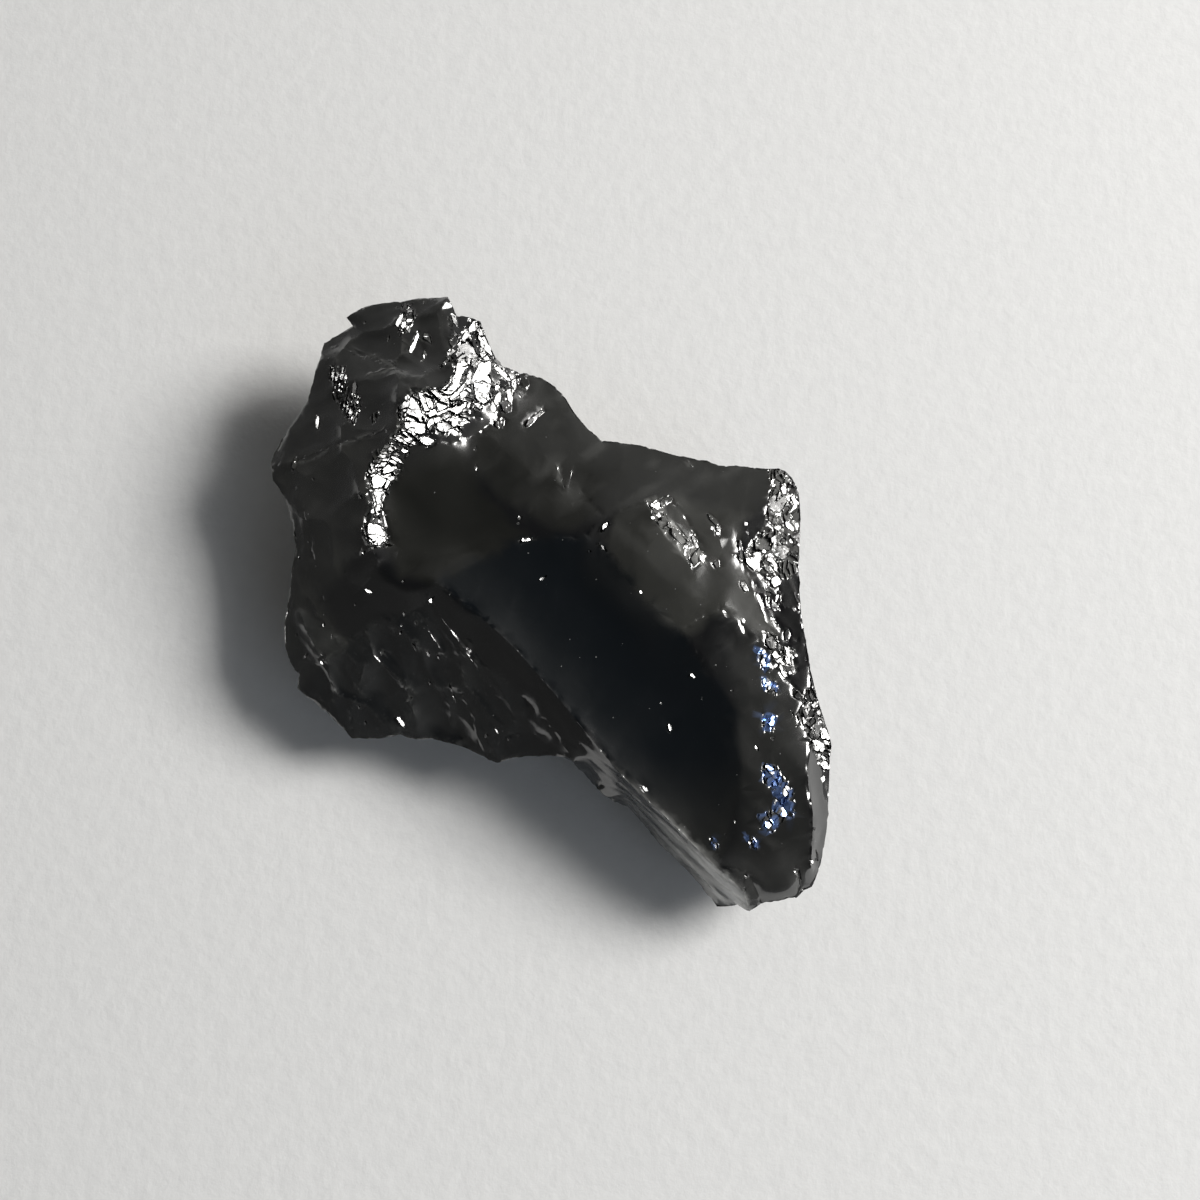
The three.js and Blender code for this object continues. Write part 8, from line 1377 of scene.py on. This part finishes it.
shungite = bpy.data.materials.new("shungite")
shungite.use_nodes = True
t = shungite.node_tree
t.nodes.clear()
out = node(t, "ShaderNodeOutputMaterial", (900, 0))
pb = node(t, "ShaderNodeBsdfPrincipled", (600, 0))
t.links.new(pb.outputs[0], out.inputs[0])
pb.inputs["IOR"].default_value = 2.1
pos = node(t, "ShaderNodeTexCoord", (-1400, 0))
cloud = node(t, "ShaderNodeTexNoise", (-1100, 300), Scale=260.0, Detail=4.0, Roughness=0.55)
grain = node(t, "ShaderNodeTexNoise", (-1100, 50), Scale=2600.0, Detail=3.0, Roughness=0.6)
cells = node(t, "ShaderNodeTexVoronoi", (-1100, -200), Scale=1500.0)
for n in (cloud, grain, cells):
    t.links.new(pos.outputs["Object"], n.inputs["Vector"])
a_rough = node(t, "ShaderNodeAttribute", (-1400, -400), attribute_name="splintered")
a_gem = node(t, "ShaderNodeAttribute", (-1400, -600), attribute_name="gem")
a_painted_warm_reflection = node(t, "ShaderNodeAttribute", (-1400, -800), attribute_name="painted_warm_reflection")
a_painted_blue_reflection = node(t, "ShaderNodeAttribute", (-1400, -1000), attribute_name="painted_blue_reflection")
a_painted_pale_reflection = node(t, "ShaderNodeAttribute", (-1400, -1400), attribute_name="painted_pale_reflection")
a_painted_sheen = node(t, "ShaderNodeAttribute", (-1400, -1200), attribute_name="painted_sheen")


def mix(fac, a, b, at):
    m = node(t, "ShaderNodeMix", at, data_type="RGBA")
    for sock, v in ((m.inputs[0], fac), (m.inputs[6], a), (m.inputs[7], b)):
        if isinstance(v, bpy.types.NodeSocket):
            t.links.new(v, sock)
        else:
            sock.default_value = v
    return m.outputs[2]


def maths(op, a, b, at, c=None):
    m = node(t, "ShaderNodeMath", at, operation=op)
    for sock, v in zip(m.inputs, (a, b, c)):
        if v is None:
            continue
        if isinstance(v, bpy.types.NodeSocket):
            t.links.new(v, sock)
        else:
            sock.default_value = v
    return m.outputs[0]


black = mix(cloud.outputs["Fac"], (0.0035, 0.0038, 0.0042, 1), (0.0075, 0.0075, 0.0078, 1), (-700, 300))
# a warm olive painted reflection tint
with_painted_warm_reflection = mix(maths("MULTIPLY", a_painted_warm_reflection.outputs["Fac"], 0.8, (-900, -800)), black, (0.0108, 0.0109, 0.0090, 1), (-500, 300))
# a painted paler sheen
with_painted_sheen = mix(maths("MULTIPLY", a_painted_sheen.outputs["Fac"], maths("MULTIPLY_ADD", cloud.outputs["Fac"], 0.8, (-1100, -1200), 0.35), (-900, -1200)), with_painted_warm_reflection, (0.0350, 0.0350, 0.0315, 1), (-400, 300))
# a bluish, slightly darker painted reflection tint
with_painted_blue_reflection = mix(maths("MULTIPLY", a_painted_blue_reflection.outputs["Fac"], 0.7, (-900, -1000)), with_painted_sheen, (0.0022, 0.0046, 0.0068, 1), (-300, 300))
dusty = maths("MULTIPLY", maths("GREATER_THAN", grain.outputs["Fac"], 0.66, (-700, 50)), maths("MULTIPLY", a_rough.outputs["Fac"], 0.35, (-700, -100)), (-500, 50))
dusted = mix(dusty, with_painted_blue_reflection, (0.045, 0.045, 0.047, 1), (-100, 300))
motes = node(t, "ShaderNodeTexVoronoi", (-1100, -900), Scale=1900.0)
t.links.new(pos.outputs["Object"], motes.inputs["Vector"])
split = node(t, "ShaderNodeSeparateColor", (-900, -950))
t.links.new(motes.outputs["Color"], split.inputs[0])
mote = maths("MULTIPLY", maths("LESS_THAN", motes.outputs["Distance"], maths("MULTIPLY_ADD", split.outputs[1], 0.06, (-800, -1050), 0.04), (-700, -900)),
             maths("GREATER_THAN", split.outputs[0], 0.80, (-700, -1000)), (-500, -900))
dusted = mix(mote, dusted, (0.13, 0.13, 0.13, 1), (-50, 500))
# painted pale reflection streaks, with painted highlights on arrises and ridges
with_painted_pale_reflection = mix(a_painted_pale_reflection.outputs["Fac"], dusted, (0.48, 0.48, 0.462, 1), (0, 450))
col = mix(a_gem.outputs["Fac"], with_painted_pale_reflection, (0.16, 0.26, 0.55, 1), (100, 300))
t.links.new(maths("MULTIPLY", a_gem.outputs["Fac"], 0.9, (100, 100)), pb.inputs["Metallic"])
t.links.new(col, pb.inputs["Base Color"])
# sheen: smooth hollows are glassy, broken faces a little duller
r0 = maths("MULTIPLY_ADD", a_rough.outputs["Fac"], 0.10, (-500, -150), 0.13)
r1 = maths("MULTIPLY_ADD", cloud.outputs["Fac"], 0.10, (-300, -150), -0.04)
rough = maths("ADD", r0, r1, (-100, -150))
t.links.new(rough, pb.inputs["Roughness"])
bump = node(t, "ShaderNodeBump", (300, -300), Strength=0.14, Distance=0.00004)
h = maths("ADD", maths("MULTIPLY", grain.outputs["Fac"], 0.5, (-300, -350)), maths("MULTIPLY", cells.outputs["Distance"], maths("MULTIPLY_ADD", a_rough.outputs["Fac"], 1.2, (-500, -500), 0.15), (-300, -500)), (-100, -350))
t.links.new(h, bump.inputs["Height"])
t.links.new(bump.outputs[0], pb.inputs["Normal"])
mesh.materials.append(shungite)

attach(stone, "root")
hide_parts("nugget")

# ---------------------------------------------------------------- floor
fm = bpy.data.meshes.new("paper_floor")
S = 1.5
fm.from_pydata([(-S, -S, 0), (S, -S, 0), (S, S, 0), (-S, S, 0)], [], [(0, 1, 2, 3)])
floor = bpy.data.objects.new("paper_floor", fm)
bpy.context.scene.collection.objects.link(floor)
paper = bpy.data.materials.new("paper")
paper.use_nodes = True
ft = paper.node_tree
fp = ft.nodes["Principled BSDF"]
fp.inputs["Roughness"].default_value = 0.85
fp.inputs["Specular IOR Level"].default_value = 0.25
fc = node(ft, "ShaderNodeTexCoord", (-900, 0))
fn = node(ft, "ShaderNodeTexNoise", (-700, 0), Scale=900.0, Detail=4.0, Roughness=0.6)
ft.links.new(fc.outputs["Object"], fn.inputs["Vector"])
fr = node(ft, "ShaderNodeValToRGB", (-450, 100))
fr.color_ramp.elements[0].color = (0.70, 0.70, 0.70, 1)
fr.color_ramp.elements[1].color = (0.78, 0.78, 0.775, 1)
ft.links.new(fn.outputs["Fac"], fr.inputs[0])
ft.links.new(fr.outputs[0], fp.inputs["Base Color"])
fb = node(ft, "ShaderNodeBump", (-250, -200), Strength=0.25, Distance=0.0002)
ft.links.new(fn.outputs["Fac"], fb.inputs["Height"])
ft.links.new(fb.outputs[0], fp.inputs["Normal"])
fm.materials.append(paper)

# ---------------------------------------------------------------- light
scene = bpy.context.scene
centre = Vector((0, 0, 0.005))


def soft_light(name, azimuth, elevation, distance, size, power, colour):
    """Azimuth 0 is +X and runs towards +Y."""
    data = bpy.data.lights.new(name, "AREA")
    data.shape = "RECTANGLE"
    data.size, data.size_y = size
    data.energy = power
    data.color = colour
    ob = bpy.data.objects.new(name, data)
    a, e = math.radians(azimuth), math.radians(elevation)
    ob.location = centre + Vector((math.cos(a) * math.cos(e), math.sin(a) * math.cos(e), math.sin(e))) * distance
    ob.rotation_euler = (centre - ob.location).to_track_quat("-Z", "Y").to_euler()
    scene.collection.objects.link(ob)
    return ob


soft_light("key", 14, 35, 0.60, (0.23, 0.23), 4.4, (1.0, 0.985, 0.955))
soft_light("key_halo", 16, 36, 0.62, (0.36, 0.34), 0.9, (1.0, 0.99, 0.97))
fill = soft_light("fill", -50, 32, 0.60, (0.42, 0.34), 0.40, (0.72, 0.84, 1.0))
fill.visible_glossy = False

world = bpy.data.worlds.new("studio")
scene.world = world
world.use_nodes = True
wt = world.node_tree
bg = wt.nodes["Background"]
wc = node(wt, "ShaderNodeTexCoord", (-900, 0))
ws = node(wt, "ShaderNodeSeparateXYZ", (-700, 0))
wt.links.new(wc.outputs["Generated"], ws.inputs[0])
wr = node(wt, "ShaderNodeValToRGB", (-450, 0))
wt.links.new(ws.outputs["Z"], wr.inputs[0])
e = wr.color_ramp.elements
e[0].position, e[0].color = 0.0, (0.24, 0.24, 0.24, 1)
e[1].position, e[1].color = 0.985, (0.018, 0.019, 0.021, 1)
for where, v in ((0.30, 0.19), (0.70, 0.15), (0.82, 0.105), (0.92, 0.042)):
    e.new(where).color = (v, v, v * 0.975, 1)

side = node(wt, "ShaderNodeVectorMath", (-700, -250), operation="DOT_PRODUCT")
side.inputs[1].default_value = (0.45, 0.30, 0.0)
wt.links.new(wc.outputs["Generated"], side.inputs[0])
lift = node(wt, "ShaderNodeMath", (-450, -250), operation="ADD")
lift.inputs[1].default_value = 0.9
wt.links.new(side.outputs["Value"], lift.inputs[0])
wt.links.new(wr.outputs[0], bg.inputs[0])
wt.links.new(lift.outputs[0], bg.inputs[1])

# ---------------------------------------------------------------- camera
cam = bpy.data.cameras.new("camera")
cam.lens, cam.sensor_width = 50, 36
cam.clip_start, cam.clip_end = 0.002, 10
eye = bpy.data.objects.new("camera", cam)
eye.location = Vector(CAMERA_AT) * MM
eye.rotation_euler = (Vector(CAMERA_AIM) - Vector(CAMERA_AT)).to_track_quat("-Z", "Y").to_euler()
scene.collection.objects.link(eye)
scene.camera = eye
scene.view_settings.view_transform = "Standard"
